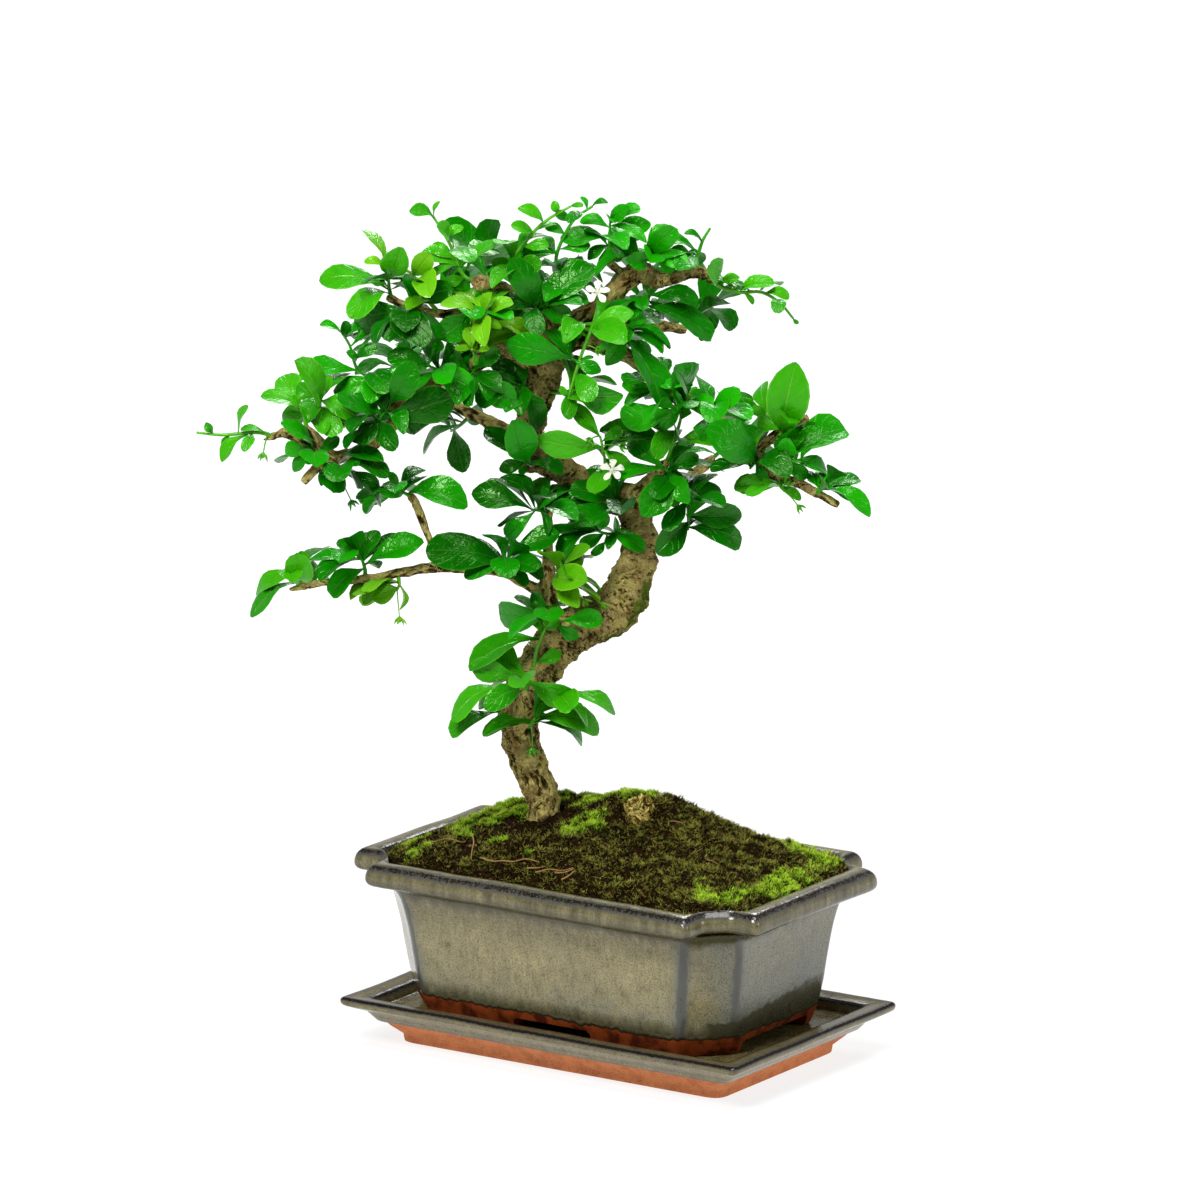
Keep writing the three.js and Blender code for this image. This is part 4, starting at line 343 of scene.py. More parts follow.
    leaves=((-3, 82, 19, -32, 72, 19, 5), (-7, 71, 19, 7, 76, 19, 6), (1, 85, 19, 6, 90, 23, 4)),
    extra=(42, 292, 318, 361, 376, 388)),
    Spray("branchlet", Tone.MID, 0.5, ((-6, 64, 16), (-8, 65, 19), (-9, 66, 21)),
    leaves=((-9, 70, 21, -30, 71, 21, 11), (-9, 65, 21, 13, 57, 25, 12), (-9, 60, 21, -23, 58, 35, 8),
    (-12, 62, 21, -39, 54, 30, 2), (-13, 60, 21, -28, 53, 14, 6)), extra=(42, 148, 168, 361, 380)),
    Spray("branchlet", Tone.MID, 11, ((-8, 54, 6), (0, 56, 16), (6, 58, 18), (10, 58, 24)),
    leaves=((9, 58, 16, 30, 51, 16, 6), (5, 56, 16, 19, 47, 22, 4)), extra=(42, 147, 316, 317)),
    Spray("branchlet_low", Tone.BRIGHT, 4, ((-7, 42, 13), (-5, 46, 17), (-4, 48, 20)),
    leaves=((-8, 50, 17, -25, 44, 25, 4), (-6, 46, 17, -24, 42, 25, 4), (-2, 48, 17, 23, 46, 17, 8),
    (-2, 46, 17, 16, 36, 10, 4), (-18, 50, 17, -39, 47, 24, 3)), buds=((-5, 33, 13),), extra=(85, 100,
    218, 290, 312)),
    Spray("branch_tip", Tone.BRIGHT, 2.5, ((-98, 105, 25), (-99, 107, 25), (-100, 111, 26)),
    leaves=((-101, 111, 25, -119, 104, 25, 6), (-97, 102, 25, -120, 96, 36, 2),
    (-98, 104, 25, -100, 120, 42, 12), (-95, 108, 25, -99, 120, 29, 8)), extra=(38, 102, 115, 145, 179,
    208, 316)),
    Spray("branch_mid", Tone.MID, 2.5, ((-73, 108, 23), (-73, 111, 23), (-74, 115, 24), (-75, 117, 25)),
    leaves=((-76, 118, 25, -96, 116, 25, 6), (-76, 119, 25, -84, 124, 25, 5),
    (-74, 117, 25, -68, 128, 25, 6), (-72, 112, 25, -87, 102, 29, 6), (-72, 115, 25, -50, 125, 25, 8)),
    extra=(21, 39, 254, 359, 389, 403, 420)),
    Spray("branch_under", Tone.YOUNG, 3, ((-60, 110, 22), (-59, 105, 23), (-60, 103, 24)),
    leaves=((-60, 104, 24, -71, 102, 28, 10), (-59, 104, 24, -57, 96, 27, 2)), buds=((-59, 91, 25),),
    extra=(78, 138, 142, 189, 266, 294, 358)),
    Spray("back_left", Tone.MID, 4.5, ((-46, 171, -36), (-53, 176, -43), (-59, 179, -50),
    (-62, 180, -56)), extra=(40, 42, 85, 102, 148, 211), fill=7),
    Spray("back_low_left", Tone.DARK, 4, ((-30, 166, -28), (-35, 160, -34), (-39, 156, -41)), extra=(20,
    290, 296), fill=5),
    Spray("back_top_left", Tone.MID, 4, ((-18, 215, -34), (-24, 221, -42), (-27, 223, -50),
    (-28, 222, -57)), extra=(15, 36, 57, 85, 147, 254, 316), fill=7),
    Spray("back_top_right", Tone.DARK, 3.5, ((56, 200, -35), (63, 205, -40), (67, 207, -48),
    (69, 206, -55)), fill=7),
    Spray("back_right", Tone.MID, 4.5, ((40, 204, -24), (42, 210, -32), (43, 212, -40)), extra=(42, 88,
    166, 179, 211, 225, 286), fill=6),
    Spray("back_low_right", Tone.MID, 3, ((68, 145, -32), (75, 150, -39), (80, 152, -46), (83, 152, -52)),
    extra=(57, 147, 148, 211, 254, 399), fill=7),
)


# Small tools


def linear(hex_colour: str) -> tuple[float, float, float, float]:
    """Turn an sRGB hex value to a linear colour.

    Args:
        hex_colour: six hex digits.

    Returns:
        Linear red, green, blue and an alpha of one.
    """
    parts = [int(hex_colour[i : i + 2], 16) / 255 for i in (0, 2, 4)]
    return (*(c / 12.92 if c <= 0.04045 else ((c + 0.055) / 1.055) ** 2.4 for c in parts), 1.0)


def per_metre(size_mm: float) -> float:
    """Texture scale at which a pattern repeats about every size_mm."""
    return 1 / (size_mm * MM)


def set_inputs(node: bpy.types.Node, inputs: dict) -> None:
    """Give a node's sockets their values, or link them.

    Args:
        node: the node, which can be a shader.
        inputs: input name or number, with a value or another node's output.
    """
    for key, value in inputs.items():
        if isinstance(value, Socket):
            node.id_data.links.new(value, node.inputs[key])
        else:
            node.inputs[key].default_value = value


def add_node(
    tree: bpy.types.NodeTree,
    kind: str,
    inputs: dict | None = None,
    stops: list | None = None,
    output: int | str = 0,
    **settings: object,
) -> Socket:
    """Add one node with its settings, input values and links.

    Args:
        tree: the material's node tree.
        kind: node type without its ShaderNode prefix.
        inputs: input name or number, with a value or another node's output.
        stops: places and colours of a colour ramp.
        output: which of its outputs is wanted.
        settings: other properties of the node.

    Returns:
        That output.
    """
    node = tree.nodes.new("ShaderNode" + kind)
    for name, value in settings.items():
        setattr(node, name, value)
    if stops:
        elements = node.color_ramp.elements
        elements[0].position = stops[0][0]
        elements[-1].position = stops[-1][0]
        for place, _ in stops[1:-1]:
            elements.new(place)
        for element, (_, colour) in zip(elements, stops):
            element.color = colour
    set_inputs(node, inputs or {})
    return node.outputs[output]


def read_marks(add: Callable, name: str) -> list[Socket]:
    """The three numbers of a vertex attribute."""
    vector = add("Attribute", output="Vector", attribute_name=name)
    return list(add("SeparateXYZ", {0: vector}).node.outputs)


def new_material(name: str) -> tuple[bpy.types.Material, Callable, bpy.types.Node]:
    """Make an empty material.

    Args:
        name: its name.

    Returns:
        The material, a function that adds a node to it, and its Principled shader.
    """
    material = bpy.data.materials.new(name)
    material.use_nodes = True
    tree = material.node_tree
    return material, partial(add_node, tree), tree.nodes["Principled BSDF"]


def grey(value: float) -> tuple[float, float, float, float]:
    """A grey of that linear value."""
    return (value, value, value, 1.0)


def make_random(seed: int) -> Callable[[], float]:
    """The part's own source of random numbers, the same on every run.

    Args:
        seed: any positive whole number.

    Returns:
        A function that gives the next number from 0 to 1.
    """
    state = [seed]

    def draw() -> float:
        """Next number."""
        state[0] = (state[0] * 16807) % LARGEST
        return state[0] / LARGEST

    return draw


def unit(vector: np.ndarray) -> np.ndarray:
    """The vector at length one."""
    return vector / max(np.linalg.norm(vector), 1e-9)


def place(spot: Iterable[float]) -> np.ndarray:
    """Turn [across, up, out] in the tree's plane to the object's frame."""
    across, up, out = list(spot)[:3]
    c, s = math.cos(PLANE_TURN), math.sin(PLANE_TURN)
    return FOOT + np.array([across * c + out * s, across * s - out * c, up])


def turned(vector: np.ndarray, axis: np.ndarray, angle: float) -> np.ndarray:
    """Rotate a vector about a unit axis."""
    c, s = math.cos(angle), math.sin(angle)
    return vector * c + np.cross(axis, vector) * s + axis * np.dot(axis, vector) * (1 - c)


def select_only(piece: Piece) -> None:
    """Make one object the only selected and the active one."""
    bpy.ops.object.select_all(action="DESELECT")
    piece.select_set(True)
    bpy.context.view_layer.objects.active = piece


def start_from(primitive: Callable, **settings: object) -> Piece:
    """Add a primitive with nothing else selected.

    Args:
        primitive: the operator that adds it.
        settings: its settings.

    Returns:
        The new object.
    """
    bpy.ops.object.select_all(action="DESELECT")
    primitive(**settings)
    return bpy.context.object


def take_mesh(template: Piece) -> tuple[np.ndarray, Faces]:
    """The vertices and faces of an object, which is then removed."""
    spots = vertices(template)
    faces = [list(face.vertices) for face in template.data.polygons]
    bpy.data.objects.remove(template)
    return spots, faces


def apply_modifier(piece: Piece, kind: str, **settings: object) -> None:
    """Add a modifier, set it and apply it.

    Args:
        piece: the object that gets it.
        kind: the modifier's type.
        settings: its properties.
    """
    select_only(piece)
    modifier = piece.modifiers.new(kind.title(), kind)
    for name, value in settings.items():
        setattr(modifier, name, value)
    bpy.ops.object.modifier_apply(modifier=modifier.name)


def smooth(piece: Piece, degrees: float) -> None:
    """Shade a piece smooth, but leave edges over that angle sharp."""
    select_only(piece)
    bpy.ops.object.shade_smooth_by_angle(angle=math.radians(degrees))


def hand_over(
    piece: Piece, slot: str, nodes: Iterable[str], *materials: bpy.types.Material
) -> None:
    """Dress a finished piece, hang it under the root body and hide the CAD parts that it replaces.

    Args:
        piece: the finished object.
        slot: the record's material slot; not used.
        nodes: CAD nodes that it replaces.
        materials: its finishes, in slot order.
    """
    piece.data.materials.clear()
    for material in materials:
        piece.data.materials.append(material)
    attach(piece, "root")
    if nodes:
        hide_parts(*nodes)
    LOG.info("%s: %d faces", piece.name, len(piece.data.polygons))


class Heap:
    """Vertices, faces and vertex attributes that are gathered into one piece."""

    def __init__(self) -> None:
        """Start empty."""
        self.spots: Points = []
        self.faces: Faces = []
        self.marks: dict[str, Points] = {}
        self.looks: list[int] = []
        self.count = 0

    def add(
        self, spots: np.ndarray, faces: Faces, look: int = 0, **marks: np.ndarray
    ) -> None:
        """Put one more body in.

        Args:
            spots: its vertices in millimetres.
            faces: its faces by vertex number.
            look: the material slot of its faces.
            marks: three numbers for each vertex, by attribute name.
        """
        start = self.count
        self.spots.append(np.asarray(spots, float))
        self.faces.extend([[i + start for i in face] for face in faces])
        self.looks.extend([look] * len(faces))
        for name, values in marks.items():
            self.marks.setdefault(name, []).append(np.asarray(values, float))
        self.count += len(spots)

    def add_tube(
        self, line: np.ndarray, radii: np.ndarray, sides: int, shade: float, look: int = 0
    ) -> None:
        """Put in a round body of one shade, which reads as no blade.

        Args:
            line: its middle line.
            radii: its radius at each point.
            sides: how many sides it has.
            shade: its own lightness.
            look: the material slot of its faces.
        """
        spots, faces = tube(line, radii, sides)
        self.add(
            spots, faces, look, blade=np.zeros_like(spots), tint=np.full_like(spots, shade)
        )

    def piece(self, name: str) -> Piece:
        """Make the object.

        Args:
            name: its name.

        Returns:
            A mesh object at the origin, in metres.
        """
        mesh = bpy.data.meshes.new(name)
        mesh.from_pydata((np.concatenate(self.spots) * MM).tolist(), [], self.faces)
        mesh.polygons.foreach_set("material_index", self.looks)
        mesh.update()
        piece = bpy.data.objects.new(name, mesh)
        bpy.context.scene.collection.objects.link(piece)
        for mark, values in self.marks.items():
            mark_vertices(piece, mark, np.concatenate(values))
        return piece


def tube(points: np.ndarray, radii: np.ndarray, sides: int) -> tuple[np.ndarray, Faces]:
    """A round closed body along a line of points.

    Args:
        points: its middle line.
        radii: its radius at each point.
        sides: how many sides it has.

    Returns:
        Vertices and faces.
    """
    count = len(points)
    tangents = np.gradient(points, axis=0)
    arm = unit(np.cross(unit(tangents[0]), np.array([0.31, 0.77, 0.55])))
    angles = np.arange(sides) / sides * 2 * math.pi
    spots = []
    for k in range(count):
        tangent = unit(tangents[k])
        arm = unit(arm - tangent * np.dot(arm, tangent))
        other = np.cross(tangent, arm)
        ring = np.outer(np.cos(angles), arm) + np.outer(np.sin(angles), other)
        spots.append(points[k] + ring * radii[k])
    faces = [list(range(sides))[::-1], [(count - 1) * sides + i for i in range(sides)]]
    for k in range(count - 1):
        for i in range(sides):
            j = (i + 1) % sides
            faces.append([k * sides + i, k * sides + j, (k + 1) * sides + j, (k + 1) * sides + i])
    return np.concatenate(spots), faces


def smooth_line(points: Points, spacing: float) -> tuple[np.ndarray, np.ndarray]:
    """Points along a centripetal Catmull-Rom curve, as the part's source draws its limbs.

    Args:
        points: the curve's own points.
        spacing: about how far apart the result lies.

    Returns:
        The points, and for each one its place in the list of the curve's own points.
    """
    line, spans = [], []
    last = len(points) - 1
    for k in range(last):
        p1, p2 = points[k], points[k + 1]
        p0 = points[k - 1] if k > 0 else 2 * points[0] - points[1]
        p3 = points[k + 2] if k + 2 <= last else 2 * points[last] - points[last - 1]
        pairs = ((p0, p1), (p1, p2), (p2, p3))
        d0, d1, d2 = (max(np.linalg.norm(b - a) ** 0.5, 1e-4) for a, b in pairs)
        t1 = ((p1 - p0) / d0 - (p2 - p0) / (d0 + d1) + (p2 - p1) / d1) * d1
        t2 = ((p2 - p1) / d1 - (p3 - p1) / (d1 + d2) + (p3 - p2) / d2) * d1
        steps = max(1, round(np.linalg.norm(p2 - p1) / spacing))
        for i in range(steps + (k == last - 1)):
            t = i / steps
            cube = 2 * p1 - 2 * p2 + t1 + t2
            square = -3 * p1 + 3 * p2 - 2 * t1 - t2
            line.append(p1 + t1 * t + square * t**2 + cube * t**3)
            spans.append(k + t)
    return np.array(line), np.array(spans)


def rounded_outline(
    corners: np.ndarray, radius: float, arc: int, sides: Iterable[int]
) -> np.ndarray:
    """A level outline with its corners rounded and its sides divided.

    Args:
        corners: corner points in order, as x and y.
        radius: the rounding of every corner.
        arc: points in each rounded corner.
        sides: extra points along the side after each corner.

    Returns:
        Points in order, as x and y.
    """
    arcs = []
    count = len(corners)
    for i in range(count):
        here = corners[i]
        before, after = corners[i - 1] - here, corners[(i + 1) % count] - here
        reach = min(radius, 0.45 * np.linalg.norm(before), 0.45 * np.linalg.norm(after))
        start, end = here + unit(before) * reach, here + unit(after) * reach
        shares = np.linspace(0, 1, arc)[:, None]
        arcs.append((1 - shares) ** 2 * start + 2 * shares * (1 - shares) * here + shares**2 * end)
    outline = []
    for i, extra in enumerate(sides):
        outline.extend(arcs[i])
        start, end = arcs[i][-1], arcs[(i + 1) % count][0]
        outline.extend(start + (end - start) * (k + 1) / (extra + 1) for k in range(extra))
    return np.array(outline)


def ring_at(outline: np.ndarray, z: float) -> np.ndarray:
    """Lift a level outline to height z."""
    return np.column_stack([outline, np.full(len(outline), z)])


def extrude_rings(name: str, rings: Points) -> Piece:
    """Model a closed body by extruding a circle from ring to ring.

    Args:
        name: the object's name.
        rings: outlines with equal point counts, in millimetres, from one end to the other.

    Returns:
        The closed object.
    """
    count = len(rings[0])
    piece = start_from(bpy.ops.mesh.primitive_circle_add, vertices=count)
    piece.name = name
    piece.data.name = name
    bpy.ops.object.mode_set(mode="EDIT")
    numbers = list(range(count))
    for k, ring in enumerate(rings):
        if k > 0:
            bpy.ops.mesh.extrude_edges_move()
        mesh = bmesh.from_edit_mesh(piece.data)
        mesh.verts.ensure_lookup_table()
        mesh.verts.index_update()
        if k > 0:
            verts = [mesh.verts[n] for n in numbers]
            numbers = [
                next(e.other_vert(v).index for e in v.link_edges if e.other_vert(v).select)
                for v in verts
            ]
        for n, spot in zip(numbers, ring):
            mesh.verts[n].co = Vector(spot * MM)
        bmesh.update_edit_mesh(piece.data)
    bpy.ops.mesh.edge_face_add()
    bpy.ops.mesh.select_all(action="DESELECT")
    mesh = bmesh.from_edit_mesh(piece.data)
    mesh.verts.ensure_lookup_table()
    for edge in mesh.edges:
        edge.select = all(v.index < count for v in edge.verts)
    mesh.select_flush(True)
    bmesh.update_edit_mesh(piece.data)
    bpy.ops.mesh.edge_face_add()
    bpy.ops.mesh.select_all(action="SELECT")
    bpy.ops.mesh.normals_make_consistent(inside=False)
    bpy.ops.object.mode_set(mode="OBJECT")
    return piece


def mark_vertices(piece: Piece, name: str, values: np.ndarray) -> None:
    """Store three numbers for each vertex.

    Args:
        piece: the object.
        name: the attribute's name.
        values: one row of three for each vertex.
    """
    layer = piece.data.attributes.new(name, "FLOAT_VECTOR", "POINT")
    layer.data.foreach_set("vector", np.asarray(values, np.float32).ravel())


def read_vertices(piece: Piece, what: str) -> np.ndarray:
    """Three numbers of each vertex of a mesh object, such as its normal."""
    values = np.zeros(len(piece.data.vertices) * 3, np.float32)
    piece.data.vertices.foreach_get(what, values)
    return values.reshape(-1, 3).astype(float)


def vertices(piece: Piece) -> np.ndarray:
    """The vertices of a mesh object in millimetres."""
    return read_vertices(piece, "co") / MM


def move_vertices(piece: Piece, spots: np.ndarray) -> None:
    """Set the vertices of a mesh object from millimetres."""
    piece.data.vertices.foreach_set("co", (spots * MM).astype(np.float32).ravel())
    piece.data.update()


# Finishes


def lay_over(add: Callable, tone: Socket, layers: Iterable[tuple]) -> Socket:
    """Lay colours over a tone, one after the other.

    Args:
        add: adds a node to the material.
        tone: the colour under them.
        layers: the mask of each, the mask's value where it starts and where it is full, its
            strength there, and its hex colour.

    Returns:
        The colour on top.
    """
    for mask, start, full, strength, colour in layers:
        share = add("MapRange", {0: mask, 1: start, 2: full, 4: strength})
        tone = add("MixRGB", {0: share, 1: tone, 2: linear(colour)})
    return tone


@dataclass(frozen=True)
class StonewareGlaze:
    """Glossy olive glaze dipped over terracotta, with a run edge above the bare foot.

    It looks finely stippled, goes dark where it pools and where shade is painted under the pot's lip,
    breaks to brown-black where an edge leaves it thin, and turns blue-grey where it lies thickest,
    on the pot's right face partly as painted reflection.
    """

    name: str
    body: str
    pale: str
    pool: str
    blue: str
    bare_below: float
    run: float
    clay: str
    clay_dark: str
    stipple: float = 0.62
    mottle: float = 6.0
    streak: float = 1.5
    tongue: float = 3.6
    patch: float = 38.0
    thin: str = "1d120b"
    slate: str = "4e4e48"
    roughness: float = 0.12
    # Edge of a second dip, in millimetres: from this x on, its height and its rise with y
    second_dip: tuple = (0.0, -9.0, 0.0)

    def material(self) -> bpy.types.Material:
        """Build the nodes, which read the glaze attribute: worn thin, pooling with painted shade, and
        blue.
        """
        material, add, shader = new_material(self.name)
        spot = add("TexCoord", output="Object")
        upright = add("Mapping", {"Vector": spot, "Scale": (1, 1, 0.14)})
        worn, pooled_and_shade, blue = read_marks(add, "glaze")
        axes = add("SeparateXYZ", {0: spot}).node.outputs
        mottle, streak, tongue, patch, stipple = (
            add("TexNoise", {"Vector": way, "Scale": per_metre(size), "Detail": detail})
            for way, size, detail in (
                (spot, self.mottle, 8.0), (upright, self.streak, 5.0), (upright, self.tongue, 1.0),
                (spot, self.patch, 2.0), (spot, self.stipple, 2.0))
        )
        run = self.run * MM
        start, level, slope = self.second_dip
        # What decides where each layer lies: a base, then other patterns with their weights
        sums = {
            "blue": (blue, (patch, 1.1), (streak, 0.9), (stipple, 0.8)),
            "speck": (stipple, (blue, -0.22)),
            "deep": (pooled_and_shade, (tongue, 0.8)),
            "wear": (worn, (streak, 0.6), (stipple, 0.8)),
            "dip": (axes["Z"], (axes["Y"], -slope), (tongue, 4 * MM)),
            "hang": (axes["Z"], (tongue, 1.8 * run)),
            "edge": (axes["Z"], (patch, 3 * run), (tongue, 1.6 * run)),
            "relief": (streak, (mottle, 2.0), (stipple, 0.5)),
        }
        for name, (total, *terms) in sums.items():
            for pattern, weight in terms:
                total = add("Math", {0: pattern, 1: weight, 2: total}, operation="MULTIPLY_ADD")
            sums[name] = total
        tone = add("ValToRGB", {0: mottle}, stops=[
            (0.14, linear(self.pool)), (0.38, linear(self.body)), (0.72, linear(self.pale))])
        for pattern, low, high in ((streak, 0.82, 1.12), (stipple, 0.6, 1.3)):
            shade = add("ValToRGB", {0: pattern}, stops=[(0.34, grey(low)), (0.66, grey(high))])
            tone = add("MixRGB", {0: 1.0, 1: tone, 2: shade}, blend_type="MULTIPLY")
        dip = {0: sums["dip"], 1: (level + 2.6) * MM, 2: (level + 1.8) * MM, 4: 0.8}
        reach = add("MapRange", {0: axes["X"], 1: (start - 2) * MM, 2: start * MM})
        dip = add("Math", {0: add("MapRange", dip), 1: reach}, operation="MULTIPLY")
        curtain = self.bare_below * MM + 1.1 * run
        bare = self.bare_below * MM + 2.3 * run
        tone = lay_over(add, tone, (
            # Blue-grey where the glaze lies thick; on the pot's right face partly painted reflection
            (sums["blue"], 1.5, 2.3, 0.8, self.blue),
            (sums["speck"], 0.33, 0.27, 0.85, self.slate),
            # The pool colour: glaze pooling, and painted shade under the pot's lip
            (sums["deep"], 0.62, 1.25, 0.85, self.pool),
            (sums["wear"], 0.9, 1.15, 1.0, self.slate),
            (sums["wear"], 1.3, 1.55, 1.0, self.thin),
            (dip, 0.0, 1.0, 1.0, self.pool),
            (sums["hang"], curtain + 0.6 * run, curtain, 0.8, self.pool),
            (sums["edge"], bare + 1.6 * MM, bare + 0.3 * MM, 1.0, self.thin),
        ))
        clay = add("ValToRGB", {0: mottle}, stops=[
            (0.36, linear(self.clay_dark)), (0.56, linear(self.clay))])
        grit = add("ValToRGB", {0: stipple}, stops=[(0.3, grey(0.55)), (0.45, grey(1.0))])
        clay = add("MixRGB", {0: 1.0, 1: clay, 2: grit}, blend_type="MULTIPLY")
        covered = add("MapRange", {0: sums["edge"], 1: bare, 2: bare + 0.3 * MM})
        bump = {"Height": sums["relief"], "Strength": 0.3, "Distance": 0.35 * MM}
        set_inputs(shader, {
            "Base Color": add("MixRGB", {0: covered, 1: clay, 2: tone}),
            "Roughness": add("MapRange", {0: covered, 3: 0.9, 4: self.roughness}),
            "Specular IOR Level": add("MapRange", {0: covered, 3: 0.08, 4: 0.5}),
            "Normal": add("Bump", bump),
        })
        return material


@dataclass(frozen=True)
class Bark:
    """Old fukien tea bark: thin, olive-brown, fissured along the limb, pale where it was cut."""

    name: str = "fukien_tea_bark"
    crevice: str = "241a08"
    body: str = "7c6c38"
    ridge: str = "d0c27c"
    lichen: str = "6e7436"
    moss: str = "4e6c0c"
    cut: str = "96704a"
    stain: str = "b49a78"
    fissure: float = 1.3
    plate: float = 2.6
    patch: float = 6.0
    grit: float = 0.6

    def material(self) -> bpy.types.Material:
        """Build the nodes, which read grain (place in the bark) and wear, whose first number also holds
        painted shade, darker underneath.
        """
        material, add, shader = new_material(self.name)
        grain = add("Attribute", output="Vector", attribute_name="grain")
        # The first number, read as ridge, also holds painted light: upward-facing bark lighter, the
        # underside darker
        ridge, damp, cut = read_marks(add, "wear")
        spot = add("TexCoord", output="Object")
        fine, wide = (
            add("TexNoise", {
                "Vector": way, "Scale": per_metre(size), "Detail": detail, "Roughness": rough})
            for way, size, detail, rough in (
                (grain, self.fissure, 7.0, 0.7), (spot, self.patch, 8.0, 0.65))
        )
        plates = add("TexVoronoi", {"Vector": grain, "Scale": per_metre(self.plate)}, feature="F1")
        relief = add("Math", {0: fine, 1: 1.7, 2: ridge}, operation="MULTIPLY_ADD")
        relief = add("Math", {0: relief, 1: 0.2}, operation="SUBTRACT")
        relief = add("Math", {0: plates, 1: -0.35, 2: relief}, operation="MULTIPLY_ADD")
        tone = add("ValToRGB", {0: relief}, stops=[
            (0.64, linear(self.crevice)), (0.92, linear(self.body)), (1.2, linear(self.ridge))])
        patch = add("MapRange", {0: wide, 1: 0.48, 2: 0.62, 4: 0.6})
        tone = add("MixRGB", {0: patch, 1: tone, 2: linear(self.lichen)}, blend_type="SOFT_LIGHT")
        grit = add("TexNoise", {"Vector": grain, "Scale": per_metre(self.grit), "Detail": 4.0})
        for pattern, share, stops in (
            (wide, 0.85, [(0.38, linear(self.stain)), (0.56, grey(1.08))]),
            (grit, 0.9, [(0.36, grey(0.5)), (0.62, grey(1.2))]),
        ):
            shade = add("ValToRGB", {0: pattern}, stops=stops)
            tone = add("MixRGB", {0: share, 1: tone, 2: shade}, blend_type="MULTIPLY")
        damp = add("Math", {0: damp, 1: fine}, operation="MULTIPLY")
        sawn = add("Math", {0: fine, 1: 0.5, 2: cut}, operation="MULTIPLY_ADD")
        layers = ((damp, 0.24, 0.38, 0.9, self.moss), (sawn, 0.8, 1.1, 0.85, self.cut))
        set_inputs(shader, {
            "Base Color": lay_over(add, tone, layers),
            "Normal": add("Bump", {"Height": relief, "Strength": 0.9, "Distance": 0.9 * MM}),
            "Roughness": 0.85,
            "Specular IOR Level": 0.08,
        })
        return material


@dataclass(frozen=True)
class WaxyLeaf:
    """One side of a living leaf; the upper one is waxy and glossy, with sunk veins."""

    name: str
    deep: str
    fresh: str
    vein: str
    roughness: float
    follow_age: float = 0.0
    gloss: float = 0.3
    vein_strength: float = 0.3
    side_veins: float = 6.0
    cloud: float = 5.0
    quilt: float = 1.7

    def material(self) -> bpy.types.Material:
        """Build the nodes, which read "blade" (along, across) and "tint" (shade, age)."""
        material, add, shader = new_material(self.name)
        along, across, _ = read_marks(add, "blade")
        own, age, _ = read_marks(add, "tint")
        spot = add("TexCoord", output="Object")
        cloud, quilt = (
            add("TexNoise", {"Vector": spot, "Scale": per_metre(size), "Detail": detail})
            for size, detail in ((self.cloud, 4.0), (self.quilt, 2.0))
        )
        across = add("Math", {0: across}, operation="ABSOLUTE")
        mid = add("MapRange", {0: across, 1: 0.07, 2: 0.015})
        margin = add("MapRange", {0: across, 1: 0.9, 2: 1.0, 4: 0.55})
        comb = add("Math", {0: across, 1: -1.7}, operation="MULTIPLY")
        for inputs, operation in (
            ({0: along, 1: self.side_veins, 2: comb}, "MULTIPLY_ADD"),
            ({}, "FRACT"), ({1: 0.5}, "SUBTRACT"), ({}, "ABSOLUTE"),
        ):
            comb = add("Math", {0: comb, **inputs}, operation=operation)
        side = add("MapRange", {0: comb, 1: 0.1, 2: 0.0})
        veins = add("Math", {0: side, 1: 0.3, 2: mid}, operation="MULTIPLY_ADD", use_clamp=True)
        shade = add("Math", {0: age, 1: self.follow_age}, operation="MULTIPLY")
        for pattern, weight in ((own, 1 - self.follow_age), (cloud, 0.5)):
            shade = add("Math", {0: pattern, 1: weight, 2: shade}, operation="MULTIPLY_ADD")
        tone = add("ValToRGB", {0: shade}, stops=[
            (0.25, linear(self.deep)), (1.1, linear(self.fresh))])
        lit = add("Math", {0: veins, 1: self.vein_strength}, operation="MULTIPLY")
        lit = add("Math", {0: lit, 1: margin}, operation="MAXIMUM")
        relief = veins
        for pattern, weight in ((cloud, -1.6), (quilt, -1.1)):
            relief = add("Math", {0: pattern, 1: weight, 2: relief}, operation="MULTIPLY_ADD")
        bump = add("Bump", {"Height": relief, "Strength": 0.6, "Distance": 0.45 * MM}, invert=True)
        set_inputs(shader, {
            "Base Color": add("MixRGB", {0: lit, 1: tone, 2: linear(self.vein)}),
            "Normal": bump,
            "Roughness": self.roughness,
            "Specular IOR Level": self.gloss,
            "Specular Tint": (0.35, 1.0, 0.08, 1.0),
            "Coat Normal": bump,
            "Coat Weight": 0.8 * self.gloss,
            "Coat Roughness": 0.16,
        })
        return material


@dataclass(frozen=True)
class MixedTone:
    """A plain natural surface whose colour and height wander: soil, moss, straw, a green stem."""

    name: str
    low: str
    middle: str
    high: str
    grain: float
    roughness: float = 0.9
    follow: float = 0.5
    bump: float = 0.4
    gloss: float = 0.04

    def material(self) -> bpy.types.Material:
        """Build the nodes, which read tint x as the surface's own lightness; on the moss it also holds
        painted shade.
        """
        material, add, shader = new_material(self.name)
        spot = add("TexCoord", output="Object")
        wander = add("TexNoise", {"Vector": spot, "Scale": per_metre(self.grain), "Detail": 4.0})
        own = add("Math", {0: read_marks(add, "tint")[0], 1: self.follow}, operation="MULTIPLY")
        level = add("Math", {0: wander, 1: 1 - self.follow, 2: own}, operation="MULTIPLY_ADD")
        bump = {"Height": wander, "Strength": self.bump, "Distance": 0.4 * MM}
        set_inputs(shader, {
            "Base Color": add("ValToRGB", {0: level}, stops=[
                (0.25, linear(self.low)), (0.5, linear(self.middle)), (0.78, linear(self.high))]),
            "Normal": add("Bump", bump),
            "Roughness": self.roughness,
            "Specular IOR Level": self.gloss,
        })
        return material


